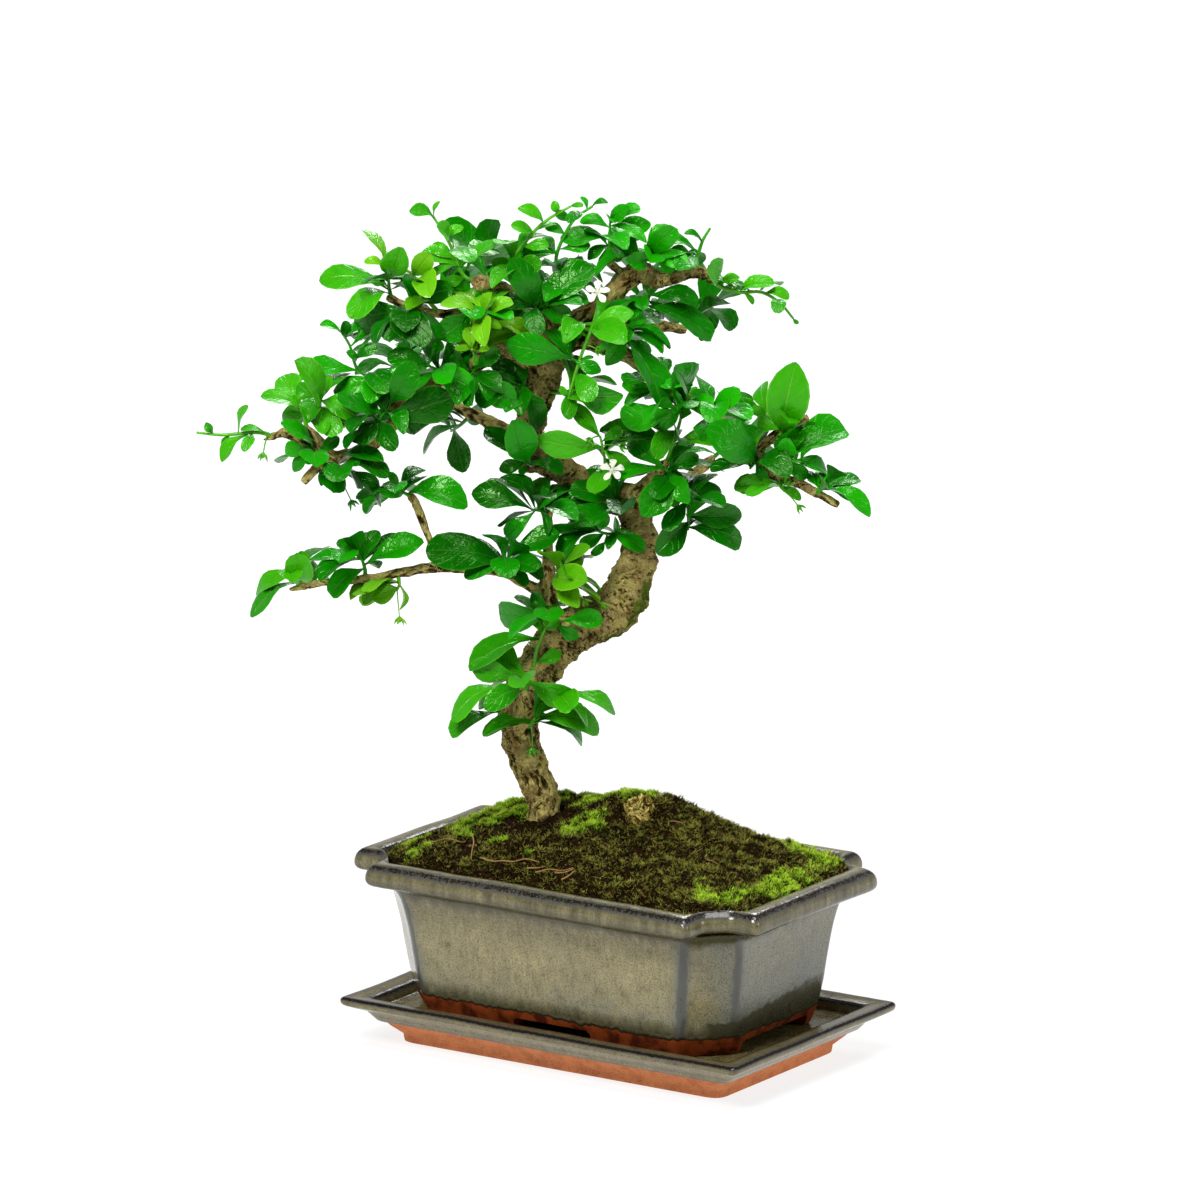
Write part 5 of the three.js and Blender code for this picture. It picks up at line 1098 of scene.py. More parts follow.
POT_GLAZE = StonewareGlaze(
    "olive_glaze_on_pot", "857c57", "988e66", "38351e", "626b66", 22.6, 2.0, "8c4018", "4c1c08",
    second_dip=(71.0, 33.0, 0.11),
)
TRAY_GLAZE = StonewareGlaze(
    "olive_glaze_on_tray", "6a6039", "80764c", "2e280f", "5c5648", 9.2, 0.7, "cc8052", "b8704a"
)
BARK = Bark()
LEAVES = {
    Tone.DARK: WaxyLeaf("old_leaf", "024800", "087a00", "38861a", 0.28),
    Tone.MID: WaxyLeaf("grown_leaf", "046c00", "169800", "4aa41a", 0.3),
    Tone.BRIGHT: WaxyLeaf("fresh_leaf", "107a01", "38a004", "78bc34", 0.36),
    Tone.YOUNG: WaxyLeaf("young_leaf", "2e8604", "62ac0c", "98c838", 0.4),
}
LEAF_UNDER = WaxyLeaf("leaf_underside", "267a06", "4c9a10", "7cbc38", 0.55, 0.85, 0.08, 0.5)
GREEN_STEM = MixedTone("green_shoot", "4c8614", "7cb028", "9cc844", 3.0, 0.5, gloss=0.15)
BUD_GREEN = MixedTone("green_bud", "66a812", "94c828", "b8dc4c", 1.0, 0.45, gloss=0.15)
PETAL = MixedTone("white_petal", "b8c49c", "dadfca", "f2f4ea", 1.2, 0.55, 0.5, 0.2)
ANTHER = MixedTone("yellow_anther", "c9a63a", "e0c35a", "efdc8c", 0.6, 0.7)
SOIL = MixedTone("moist_potting_soil", "060300", "1c1105", "443012", 1.2, 0.95, 0.3, 0.9)
CRUMB = MixedTone("soil_crumb", "0a0501", "2a1c08", "705a30", 0.9, 0.9, 0.8, 0.6)
MOSS = MixedTone("live_moss", "0e2400", "4c9004", "c2e044", 2.2, 0.8, 0.95, 0.2)
OLD_MOSS = MixedTone("dull_moss", "090700", "363608", "a2a24a", 2.5, 0.85, 0.95, 0.2)
DRY_TUFT = MixedTone("dry_moss", "3c2e0c", "8c7830", "ccba6c", 1.5, 0.85, 0.85, 0.3)
STRAW = MixedTone("straw", "2c1a0a", "7c5c30", "b89a68", 1.5, 0.7, 0.9, 0.3)


# Pot and tray


def tree_of(spots: Iterable) -> kdtree.KDTree:
    """A search tree that finds spots by number."""
    spots = list(spots)
    tree = kdtree.KDTree(len(spots))
    for i, spot in enumerate(spots):
        tree.insert(spot, i)
    tree.balance()
    return tree


def near_marks(piece: Piece, spots: np.ndarray, values: np.ndarray, name: str) -> None:
    """Give each vertex the three numbers of the nearest known spot.

    Args:
        piece: the object.
        spots: known spots in millimetres.
        values: one row of three for each spot.
        name: the attribute's name.
    """
    tree = tree_of(spots)
    mark_vertices(piece, name, np.array([values[tree.find(spot)[1]] for spot in vertices(piece)]))


def cut_away(piece: Piece, cutter: Piece) -> None:
    """Take the shape of a cutter out of a piece and remove the cutter."""
    apply_modifier(piece, "BOOLEAN", operation="DIFFERENCE", solver="EXACT", object=cutter)
    bpy.data.objects.remove(cutter)


def cutter_box(size: tuple, centre: tuple, rounding: float) -> Piece:
    """A box with rounded edges, to cut with.

    Args:
        size: its length, depth and height in millimetres.
        centre: its middle in millimetres.
        rounding: the radius of its edges.

    Returns:
        The cutter.
    """
    cutter = start_from(bpy.ops.mesh.primitive_cube_add, size=MM)
    bpy.ops.object.mode_set(mode="EDIT")
    bpy.ops.transform.resize(value=size)
    bpy.ops.mesh.bevel(offset=rounding * MM, segments=4, affect="EDGES")
    bpy.ops.transform.translate(value=tuple(c * MM for c in centre))
    bpy.ops.object.mode_set(mode="OBJECT")
    return cutter


def cutter_rod(radius: float, height: float, centre: tuple) -> Piece:
    """An upright rod, to cut with.

    Args:
        radius: its radius in millimetres.
        height: its length in millimetres.
        centre: its middle in millimetres.

    Returns:
        The cutter.
    """
    cutter = start_from(
        bpy.ops.mesh.primitive_cylinder_add, vertices=28, radius=radius * MM, depth=height * MM
    )
    bpy.ops.object.mode_set(mode="EDIT")
    bpy.ops.transform.translate(value=tuple(c * MM for c in centre))
    bpy.ops.object.mode_set(mode="OBJECT")
    return cutter


def hand_made(piece: Piece, low: float, amount: float) -> None:
    """Let a fired piece wander a little out of true above a height.

    Args:
        piece: the object.
        low: height up to which it stays true, in millimetres.
        amount: how far it wanders.
    """
    # Without a seed, noise_vector starts somewhere else each time
    noise.seed_set(WANDER_SEED)
    spots = vertices(piece)
    for i, spot in enumerate(spots):
        share = min(max((spot[2] - low) / 8, 0), 1)
        waves = noise.noise_vector(Vector(spot) / 34) * 0.8
        ripples = noise.noise_vector(Vector(spot) / 9) * 0.2
        spots[i] += np.array(waves + ripples) * amount * share
    move_vertices(piece, spots)


@dataclass
class DripTray:
    """Rectangular tray with mitred corners and a sloping rim over a bare clay foot."""

    length: float = 196.0
    depth: float = 123.0
    foot_length: float = 157.0
    foot_depth: float = 87.0
    height: float = 20.0
    rounding: float = 2.4
    foot_rounding: float = 6.5
    # Outside below the lip: (share of the way in to the foot, height)
    foot: tuple = (
        (0.985, 0), (0.96, 0.3), (0.95, 1.5), (0.94, 3.4), (0.74, 7.2), (0.7, 8.2), (0.66, 8.9),
        (0.58, 9.3), (0.54, 9.7), (0.46, 11.8), (0.38, 13.9), (0.2, 15.2), (0.07, 16.2),
    )
    # Lip and sloping rim: (inset, drop from the top, worn thin, pooled)
    lip: tuple = (
        (0.5, 3.2, 0, 0.3), (0.15, 2.6, 0, 0.1), (0, 2, 0.1, 0), (0, 1.3, 0.45, 0), (0.2, 0.7, 0.95, 0),
        (0.7, 0.2, 1, 0), (1.4, 0, 0.7, 0), (2.6, 0.05, 0.35, 0), (5, 0.3, 0.15, 0),
        (7.6, 0.65, 0.3, 0), (9, 0.95, 0.9, 0), (9.8, 1.5, 1, 0), (10.3, 2.4, 0.5, 0.2),
        (10.9, 4, 0, 0.5), (11.6, 5.1, 0, 0.8), (13, 5.45, 0, 0.6), (17, 5.5, 0, 0.2),
    )

    def ring(self, inset_x: float, inset_y: float, z: float, rounding: float) -> np.ndarray:
        """One level outline.

        Args:
            inset_x: how far it lies in from each end.
            inset_y: how far it lies in from each side.
            z: its height.
            rounding: the radius of its corners.

        Returns:
            Its points.
        """
        x, y = self.length / 2 - inset_x, self.depth / 2 - inset_y
        corners = np.array([[x, y], [-x, y], [-x, -y], [x, -y]])
        return ring_at(rounded_outline(corners, rounding, 6, (34, 22, 34, 22)), z)

    def build(self) -> None:
        """Model the tray and dress it."""
        foot_x = (self.length - self.foot_length) / 2
        foot_y = (self.depth - self.foot_depth) / 2
        sharper = self.rounding - self.foot_rounding
        rings = [
            self.ring(foot_x * share, foot_y * share, z, self.foot_rounding + sharper * (1 - share))
            for share, z in self.foot
        ]
        marks = [(0.0, 0.0, 0.0)] * len(rings)
        for inset, drop, thin, pooled_and_shade in self.lip:
            rings.append(self.ring(inset, inset, self.height - drop, self.rounding))
            marks.append((thin, pooled_and_shade, 0.0))
        piece = extrude_rings("glazed_drip_tray", rings)
        hand_made(piece, 9.0, 0.55)
        spots = np.concatenate(rings)
        near_marks(piece, spots, np.repeat(np.array(marks), len(rings[0]), axis=0), "glaze")
        smooth(piece, 42)
        hand_over(piece, "tray_glaze", ["drip_tray"], TRAY_GLAZE.material())


@dataclass
class Pot:
    """Oblong pot with chamfered body corners, notched lip corners and a cut-away foot."""

    length: float = 200.0
    depth: float = 134.0
    foot_length: float = 159.0
    foot_depth: float = 95.0
    base: float = 14.8
    top: float = 80.0
    notch: float = 20.5
    step: float = 12.0
    chamfer: float = 16.5
    lip_height: float = 9.5
    rounding: float = 2.6
    offset: tuple = (-2.0, 1.0)
    # Wall: (how far out of the foot, height above the foot, pooling; its top rows are painted shade under
    # the lip)
    wall: tuple = (
        (-2.6, 0, 0), (-2, 0.25, 0), (-1.7, 0.9, 0), (-1.2, 2.2, 0), (-0.5, 4.6, 0), (0.3, 7.2, 0.1),
        (0.8, 9.6, 0.75), (1.25, 12, 0.5), (1.7, 15, 0.2), (2.2, 18.5, 0), (2.7, 23, 0), (3.15, 27, 0),
        (3.6, 31, 0), (4.2, 35.5, 0), (4.75, 39, 0), (5.4, 43, 0), (6.1, 46.5, 0.1), (6.9, 49.5, 0.45),
        (8, 52, 0.9), (9.4, 53.8, 1), (11, 55, 1),
    )
    # Rolled lip and rim: (inset, height above the lip's underside, worn thin, pooling; under the lip
    # partly painted shade)
    lip: tuple = (
        (3.2, 0, 0, 1), (1.7, 0.3, 0, 1), (0.8, 1, 0, 0.9), (0.2, 2.1, 0, 0.75), (0, 3.4, 0, 0.65),
        (0.1, 5, 0, 0.65), (0.5, 6.5, 0.3, 0.6), (1.2, 7.8, 0.75, 0.3), (2.2, 8.8, 0.85, 0),
        (3.5, 9.35, 0.5, 0), (5, 9.6, 0.3, 0), (6.8, 9.55, 0.25, 0), (8.6, 9.3, 0.4, 0),
        (9.9, 8.8, 0.8, 0), (10.7, 8.2, 1, 0), (11.1, 7, 0.7, 0),
    )
    # Inside: (inset, depth under the top)
    inside: tuple = ((12, 4.4), (18, 12), (21.3, 23.2), (23, 34.2), (24, 46), (26, 54.2))
    # Cut-aways: (length, depth, rise)
    arches: tuple = ((38, 130, 4.8), (190, 49, 4.8))
    foot_wall: float = 10.0
    recess: float = 5.0
    rim_from: float = 2.5
    rim_width: float = 8.2
    worn_edge: float = 2.8
    drain_radius: float = 7.0
    drain_places: tuple = (-40.0, 40.0)

    def ring(self, half_x: float, half_y: float, corner: tuple, z: float) -> np.ndarray:
        """One level outline with the same corner in each quadrant.

        Args:
            half_x: half its length.
            half_y: half its depth.
            corner: four points, each by its distance in from both sides.
            z: its height.

        Returns:
            Its points.
        """
        corners = []
        for q, (sx, sy) in enumerate(((1, 1), (-1, 1), (-1, -1), (1, -1))):
            for dx, dy in corner if q % 2 == 0 else corner[::-1]:
                corners.append([sx * (half_x - dx), sy * (half_y - dy)])
        sides = [2, 3, 2, 34, 2, 3, 2, 22] * 2
        outline = rounded_outline(np.array(corners), self.rounding, 5, sides)
        return ring_at(outline + np.array(self.offset), z)

    def plain(self, half_x: float, half_y: float, z: float) -> np.ndarray:
        """An outline with plain chamfers."""
        c = self.chamfer
        return self.ring(half_x, half_y, ((0, c), (c / 3, 2 * c / 3), (2 * c / 3, c / 3), (c, 0)), z)

    def notched(self, inset: float, z: float) -> np.ndarray:
        """An outline of the lip, with its stepped corners."""
        c, s = self.notch, self.step
        return self.ring(
            self.length / 2 - inset, self.depth / 2 - inset, ((0, c), (s, c), (c, s), (c, 0)), z
        )

    def build(self) -> None:
        """Model the pot, cut its foot and dress it."""
        rings, marks = [], []
        edge = self.edge_shares()
        for out, height, pooled_and_shade in self.wall:
            rings.append(
                self.plain(self.foot_length / 2 + out, self.foot_depth / 2 + out, self.base + height)
            )
            marks.append(np.column_stack([0.55 * edge, np.full_like(edge, pooled_and_shade), edge]))
        underside = self.top - self.lip_height
        for inset, height, thin, pooled_and_shade in self.lip:
            rings.append(self.notched(inset, underside + height))
            marks.append(np.tile([thin, pooled_and_shade, 0.0], (len(edge), 1)))
        for inset, drop in self.inside:
            half_x, half_y = self.length / 2 - inset, self.depth / 2 - inset
            rings.append(self.plain(half_x, half_y, self.top - drop))
            marks.append(np.tile([0.2, 0.5, 0.0], (len(edge), 1)))
        rings = self.close_rim(rings, len(self.wall))
        piece = extrude_rings("glazed_pot", rings)
        self.cut_foot(piece)
        hand_made(piece, self.base + 6, 0.8)
        self.paint(piece, np.concatenate(rings), np.concatenate(marks))
        smooth(piece, 40)
        hand_over(piece, "pot_glaze", ["pot"], POT_GLAZE.material())

    def close_rim(self, rings: list, start: int) -> list:
        """Let the rim run from its notched outside to its chamfered inside.

        Args:
            rings: all outlines, outside to inside.
            start: the number of the lip's first outline.

        Returns:
            The outlines, those of the rim's top blended.
        """
        last_lip = start + len(self.lip) - 1
        for k in range(start, last_lip + 1):
            inset, height = self.lip[k - start][:2]
            share = min(max((inset - self.rim_from) / self.rim_width, 0), 1) if height > 5 else 0.0
            inner = self.plain(self.length / 2 - inset, self.depth / 2 - inset, rings[k][0][2])
            rings[k] = rings[k] * (1 - share) + inner * share
        return rings

    def edge_shares(self) -> np.ndarray:
        """How near each point of an outline is to an upright edge of the body."""
        base = self.plain(self.foot_length / 2, self.foot_depth / 2, 0)[:, :2] - np.array(self.offset)
        half_x, half_y, c = self.foot_length / 2, self.foot_depth / 2, self.chamfer
        edges = [
            (sx * px, sy * py)
            for sx in (1, -1)
            for sy in (1, -1)
            for px, py in ((half_x, half_y - c), (half_x - c, half_y))
        ]
        gaps = np.min([np.linalg.norm(base - np.array(e), axis=1) for e in edges], axis=0)
        return np.exp(-((gaps / self.worn_edge) ** 2))

    def cut_foot(self, piece: Piece) -> None:
        """Hollow the foot, cut its arches and drill the drain holes."""
        x, y = self.offset
        low = self.base
        length, depth = self.foot_length - 2 * self.foot_wall, self.foot_depth - 2 * self.foot_wall
        cut_away(piece, cutter_box((length, depth, 2 * self.recess), (x, y, low), 2.0))
        for length, depth, rise in self.arches:
            cut_away(piece, cutter_box((length, depth, 2 * rise), (x, y, low), 2.2))
        for place_x in self.drain_places:
            cut_away(piece, cutter_rod(self.drain_radius, 40, (x + place_x, y, low + 10)))

    def paint(self, piece: Piece, spots: np.ndarray, marks: np.ndarray) -> None:
        """Mark where the glaze is thin, pools or turns blue, with painted shade under the lip and painted
        reflection on the right face.

        Args:
            piece: the pot.
            spots: the points of all its outlines.
            marks: thin, pooling with painted shade, and blue for each point.
        """
        # The blue mark grows towards the right end and the bottom; on the right face it is partly
        # blue-grey glaze, partly painted reflection
        right = np.clip((spots[:, 0] - self.offset[0] - self.foot_length / 2 + 9) / 10, 0, 1)
        low = np.clip((40 - spots[:, 2]) / 14, 0, 1)
        outside = spots[:, 2] < self.top - self.lip_height
        marks = marks.copy()
        marks[:, 2] = np.maximum(marks[:, 2] * 0.9, outside * (0.62 * right + 0.28 * low))
        near_marks(piece, spots, marks, "glaze")


# Soil, moss and what lies on it


@dataclass
class SoilBed:
    """Mounded potting soil that fills the pot, with crumbs and straw on it."""

    offset: tuple = (-2.0, 1.0)
    half_length: float = 88.4
    half_depth: float = 55.4
    chamfer: float = 15.6
    edge: float = 77.5
    crumbs: int = 5600
    straws: int = 46
    # Crumbs that have fallen on the pot's rim and on the tray
    on_rim: tuple = ((-84, -55, 80.2), (-82.5, -56.4, 80.2), (-80.7, -56, 80.2), (-79.5, -57.5, 80.2))
    on_tray: tuple = ((-87, -6, 15), (-88.5, 9, 15), (-84, -22, 15), (86, -5, 15))
    # Straws that the photograph shows: (x, y, direction, length)
    seen_straws: tuple = (
        (-53, -28, -0.9, 24), (-37, -46, 0.05, 30), (-8, -48, 0.1, 18), (2, -49, 0.5, 10),
        (-87, -26, 0.1, 13), (-13, -47, 0.2, 10), (6, -50, 0.8, 9), (-70, -35, -0.1, 22),
    )

    def height(self, x: np.ndarray, y: np.ndarray) -> np.ndarray:
        """The level of the soil, as in the part's source."""
        dx, dy = x - self.offset[0], y - self.offset[1]
        rim = np.maximum((1 - (dx / 89) ** 4) * (1 - (dy / 56) ** 4), 0)
        mound = 15 * np.exp(-(((dx - 8) / 38) ** 2) - ((dy - 12) / 26) ** 2) * rim
        side = 5 * np.exp(-(((dx + 50) / 25) ** 2) - ((dy - 25) / 25) ** 2)
        foot = np.exp(-((x - FOOT[0]) ** 2 + (y - FOOT[1]) ** 2) / 144)
        a, b = x * 0.13, y * 0.17
        waves = np.sin(a * 1.7 + 1.3) * np.cos(b * 2.3 + 0.4) + 0.5 * np.sin(a * 4.1 + b * 3.7)
        return self.edge + 13 * rim + mound + side - 1.5 * foot + 0.8 * waves

    def surface(self, x: float, y: float) -> float:
        """The level of the soil with its lumps, at one spot."""
        lumps = noise.fractal(Vector((x, y, 3.0)) / 8, 1.0, 2.1, 4)
        across = abs(x - self.offset[0]) / self.half_length
        near = max(across, abs(y - self.offset[1]) / self.half_depth)
        calm = min(max((1 - near) * 9, 0.15), 1)
        return float(self.height(np.array(x), np.array(y))) - 0.6 + 1.9 * calm * lumps

    def random_spot(self, rng: Rng) -> tuple[float, float]:
        """A spot anywhere on the rectangle round the bed."""
        x = self.offset[0] + rng.uniform(-1, 1) * self.half_length
        return x, self.offset[1] + rng.uniform(-1, 1) * self.half_depth

    def inside(self, x: float, y: float, margin: float) -> bool:
        """Whether a spot lies on the bed, at least a margin in from its edge."""
        dx, dy = abs(x - self.offset[0]), abs(y - self.offset[1])
        room = self.half_length + self.half_depth - self.chamfer - 1.4 * margin
        return dx < self.half_length - margin and dy < self.half_depth - margin and dx + dy < room

    def build(self) -> None:
        """Model the bed, its crumbs and its straw, and dress them."""
        self.build_bed()
        self.build_crumbs()
        self.build_straw()

    def build_bed(self) -> None:
        """Model the bed from a grid that is cut to the pot's inside."""
        grid = {"x_subdivisions": 150, "y_subdivisions": 96, "size": MM}
        piece = start_from(bpy.ops.mesh.primitive_grid_add, **grid)
        piece.name = piece.data.name = "soil_bed"
        x, y = self.offset
        bpy.ops.object.mode_set(mode="EDIT")
        bpy.ops.transform.resize(value=(2 * self.half_length, 2 * self.half_depth, 1))
        bpy.ops.transform.translate(value=(x * MM, y * MM, 0))
        for sx, sy in ((1, 1), (-1, 1), (-1, -1), (1, -1)):
            bpy.ops.mesh.select_all(action="SELECT")
            corner = Vector((x + sx * (self.half_length - self.chamfer), y + sy * self.half_depth, 0))
            bpy.ops.mesh.bisect(plane_co=corner * MM, plane_no=(sx, sy, 0), clear_outer=True)
        mesh = bmesh.from_edit_mesh(piece.data)
        for vert in mesh.verts:
            spot = vert.co / MM
            vert.co.z = self.surface(spot.x, spot.y) * MM
        for edge in mesh.edges:
            edge.select = edge.is_boundary
        mesh.select_flush(True)
        bmesh.update_edit_mesh(piece.data)
        for drop, inset in ((-3.5, 1.4), (-9, 7), (-12, 10.5)):
            bpy.ops.mesh.extrude_edges_move()
            mesh = bmesh.from_edit_mesh(piece.data)
            for vert in mesh.verts:
                if vert.select:
                    vert.co.z = (self.edge + drop) * MM
                    vert.co.x += (x * MM - vert.co.x) * inset / self.half_length / 3
                    vert.co.y += (y * MM - vert.co.y) * inset / self.half_depth / 3
            bmesh.update_edit_mesh(piece.data)
        bpy.ops.mesh.edge_face_add()
        bpy.ops.mesh.select_all(action="SELECT")
        bpy.ops.mesh.normals_make_consistent(inside=False)
        bpy.ops.object.mode_set(mode="OBJECT")
        smooth(piece, 60)
        mark_vertices(piece, "tint", np.full((len(piece.data.vertices), 3), 0.4))
        hand_over(piece, "soil", ["soil"], SOIL.material())

    def build_crumbs(self) -> None:
        """Strew crumbs of soil over the bed, and a few on the rim and the tray."""
        template = start_from(bpy.ops.mesh.primitive_ico_sphere_add, subdivisions=1, radius=MM)
        bpy.ops.object.mode_set(mode="EDIT")
        bpy.ops.mesh.select_all(action="SELECT")
        bpy.ops.transform.vertex_random(offset=0.3 * MM, seed=5)
        bpy.ops.object.mode_set(mode="OBJECT")
        shape, faces = take_mesh(template)
        rng = np.random.default_rng(71)
        heap = Heap()
        places = [*self.on_rim, *self.on_tray]
        while len(places) < self.crumbs:
            x, y = self.random_spot(rng)
            if self.inside(x, y, 1.0) and np.hypot(x - FOOT[0], y - FOOT[1]) > 7:
                places.append((x, y, self.surface(x, y)))
        for k, (x, y, z) in enumerate(places):
            size = (0.28 + 0.5 * rng.random() ** 2.5) * rng.uniform(0.7, 1.3, 3)
            turn = rng.uniform(0, 6.28)
            c, s = math.cos(turn), math.sin(turn)
            spots = shape * size @ np.array([[c, s, 0], [-s, c, 0], [0, 0, 1]])
            pale = 0.9 if k < len(self.on_rim) else rng.random() ** 1.6
            tint = np.full_like(spots, pale)
            heap.add(spots + np.array([x, y, z + 0.25 * size[2]]), faces, tint=tint)
        piece = heap.piece("soil_crumbs")
        smooth(piece, 50)
        hand_over(piece, "soil", [], CRUMB.material())

    def build_straw(self) -> None:
        """Lay thin roots and bits of straw on the bed, most of them in front of the trunk."""
        rng = np.random.default_rng(17)
        heap = Heap()
        starts = list(self.seen_straws)
        planned = len(starts)
        while len(starts) < self.straws:
            x, y = rng.uniform(-85, 80), rng.uniform(-50, 50)
            starts.append((x, y, rng.uniform(-3, 3), rng.uniform(4, 12)))
        for k, (x, y, turn, length) in enumerate(starts):
            line = []
            for _ in range(max(4, int(length / 2))):
                if not self.inside(x, y, 1.5):
                    break
                level = max(self.surface(x, y), float(self.height(np.array(x), np.array(y))))
                line.append(np.array([x, y, level + 0.9]))
                turn += rng.uniform(-0.16, 0.16)
                x, y = x + 2 * math.cos(turn), y + 2 * math.sin(turn)
            if len(line) > 3:
                line[1:-1] = [(a + 2 * b + c) / 4 for a, b, c in zip(line, line[1:], line[2:])]
                line = smooth_line(line, 1.0)[0]
                stout = 0.95 if k < planned else rng.uniform(0.4, 0.8)
                pale = 0.62 if k < planned else 0.6 * rng.random()
                heap.add_tube(line, np.linspace(0.4, 0.2, len(line)) * stout, 5, pale)
        piece = heap.piece("straw_and_fine_roots")
        smooth(piece, 60)
        hand_over(piece, "soil", [], STRAW.material())


@dataclass(frozen=True)
class MossKind:
    """One kind of moss: its spikes, its clumps and its finish."""

    name: str
    live: bool
    count: int
    seed: int
    look: MixedTone
    # Width and length of a spike, how many make a shoot, and how far they lean and turn
    sizes: tuple
    spikes: int
    lean: tuple
    turn: float
    # Size of its clumps, how far they rise, and which layer of the noise makes them
    clump: float
    rise: float
    noise_layer: float
    # Its lightness, and how far that differs from spike to spike
    shade: float
    spread: float


LIVE_MOSS = MossKind(
    "live_moss_shoots", live=True, count=45000, seed=23, look=MOSS, sizes=(0.46, 1.9), spikes=5,
    lean=(0.3, 1.1), turn=1.5, clump=3.0, rise=1.9, noise_layer=40.0, shade=0.52, spread=0.3,
)
DULL_MOSS = MossKind(
    "dull_moss_shoots", live=False, count=48000, seed=29, look=OLD_MOSS, sizes=(0.42, 2.2),
    spikes=3, lean=(0.5, 1.4), turn=6.28, clump=2.6, rise=1.5, noise_layer=60.0, shade=0.36,
    spread=0.2,
)


@dataclass
class MossCover:
    """Thousands of moss shoots in patches: live and bright at the ends, dull over the mound."""

    bed: SoilBed = field(default_factory=SoilBed)
    margin: float = 0.6
    bare_round_trunk: float = 15.0
    # Least greenness that live moss needs, and the most that dull moss bears
    live_from: float = 0.42
    dull_to: float = 0.8
    # Size of its wide patches, and which layer of the noise makes them
    wide: float = 9.0
    wide_layer: float = 80.0
    # Patches of live moss: (x, y, reach along x, reach along y)
    patches: tuple = (
        (-72, 22, 18, 28), (-64, -10, 15, 14), (-56, 44, 26, 14), (-20, 38, 22, 13), (81, 2, 8, 30),
        (72, -37, 12, 8), (34, 52, 22, 7), (-84, -27, 6, 8), (66, 42, 18, 10), (-14, 12, 14, 9),
        (-9, -11, 11, 9), (-44, 26, 14, 12), (-40, -30, 5, 4), (-58, -28, 6, 5), (-22, -36, 4, 3),
        (-52, 4, 10, 12), (-16, 26, 14, 12), (2, 14, 9, 8), (-72, -42, 7, 6),
    )

    def greenness(self, x: float, y: float) -> float:
        """How much live moss grows at a spot, from none at 0 to dense at 1."""
        cover = max(
            math.exp(-(((x - a) / c) ** 2) - ((y - b) / d) ** 2) for a, b, c, d in self.patches
        )
        return cover + 0.45 * noise.noise(Vector((x, y, 9.0)) / 9)

    def spike(self) -> tuple[np.ndarray, Faces]:
        """One leaf of a moss shoot: a thin three-sided spike, one millimetre each way."""
        cone = {"vertices": 3, "radius1": 0.5 * MM, "radius2": 0, "depth": MM}
        template = start_from(bpy.ops.mesh.primitive_cone_add, **cone)
        bpy.ops.object.mode_set(mode="EDIT")
        bpy.ops.mesh.select_all(action="SELECT")
        bpy.ops.transform.translate(value=(0, 0, 0.5 * MM))
        bpy.ops.object.mode_set(mode="OBJECT")
        return take_mesh(template)

    def allows(self, kind: MossKind, x: float, y: float, rng: Rng) -> bool:
        """Whether that kind of moss can grow at a spot.

        Args:
            kind: the kind of moss.
            x: the spot.
            y: the spot.
            rng: the source of random numbers.

        Returns:
            True if it can.
        """
        if not self.bed.inside(x, y, self.margin):
            return False
        green = self.greenness(x, y)
        if kind.live:
            return green >= self.live_from + 0.25 * rng.random()
        from_trunk = np.hypot((x - FOOT[0] + 3) / 1.3, (y - FOOT[1] + 8) / 1.2)
        nearest = self.bare_round_trunk * (0.75 + 0.5 * rng.random())
        return from_trunk >= nearest and green <= self.dull_to

    def grow(self, kind: MossKind) -> None:
        """Set the shoots of one kind of moss on the bed.

        Args:
            kind: the kind of moss.
        """
        shape, faces = self.spike()
        rng = np.random.default_rng(kind.seed)
        heap = Heap()
        made = 0
        while made < kind.count:
            x, y = self.bed.random_spot(rng)
            if not self.allows(kind, x, y, rng):
                continue
            clump = noise.noise(Vector((x, y, kind.noise_layer)) / kind.clump)
            wide = noise.noise(Vector((x, y, self.wide_layer)) / self.wide)
            front = min(max((-16 - y) / 14, 0), 1) * min(max((44 - x) / 20, 0), 1)
            least = -0.4 if kind.live else 0.5 * front - 0.55
            if clump + 0.5 * wide < least + rng.normal(0, 0.08):
                continue
            root = np.array([x, y, self.bed.surface(x, y) - 0.4 + kind.rise * clump])
            # Clumps that rise are painted lighter and the hollows between them darker: painted shade
            shade = kind.shade + 0.75 * clump + 0.35 * wide + (0.1 if x > 30 else 0.0)
            for k in range(kind.spikes):
                lean = rng.uniform(*kind.lean)
                turn = k * GOLDEN_ANGLE + rng.uniform(0, kind.turn)
                width, length = np.array(kind.sizes) * rng.uniform(0.6, 1.4, 2)
                own = shade + rng.normal(0, kind.spread)
                flat = math.sin(lean)
                up = np.array([math.cos(turn) * flat, math.sin(turn) * flat, math.cos(lean)])
                arm = unit(np.cross(up, [0.3, 0.2, 0.9]))
                axes = np.array([width * arm, width * np.cross(up, arm), length * up])
                # Each spike is painted darker at its foot and lighter at its tip: painted shade among the
                # shoots
                lit = own * (0.5 + 0.9 * shape[:, 2]) + 0.12 * shape[:, 2]
                tint = np.repeat(np.clip(lit, 0, 1)[:, None], 3, axis=1)
                heap.add(shape @ axes + root, faces, tint=tint)
            made += kind.spikes
        hand_over(heap.piece(kind.name), "soil", [], kind.look.material())

    def build(self) -> None:
        """Grow both kinds of moss."""
        for kind in (LIVE_MOSS, DULL_MOSS):
            self.grow(kind)


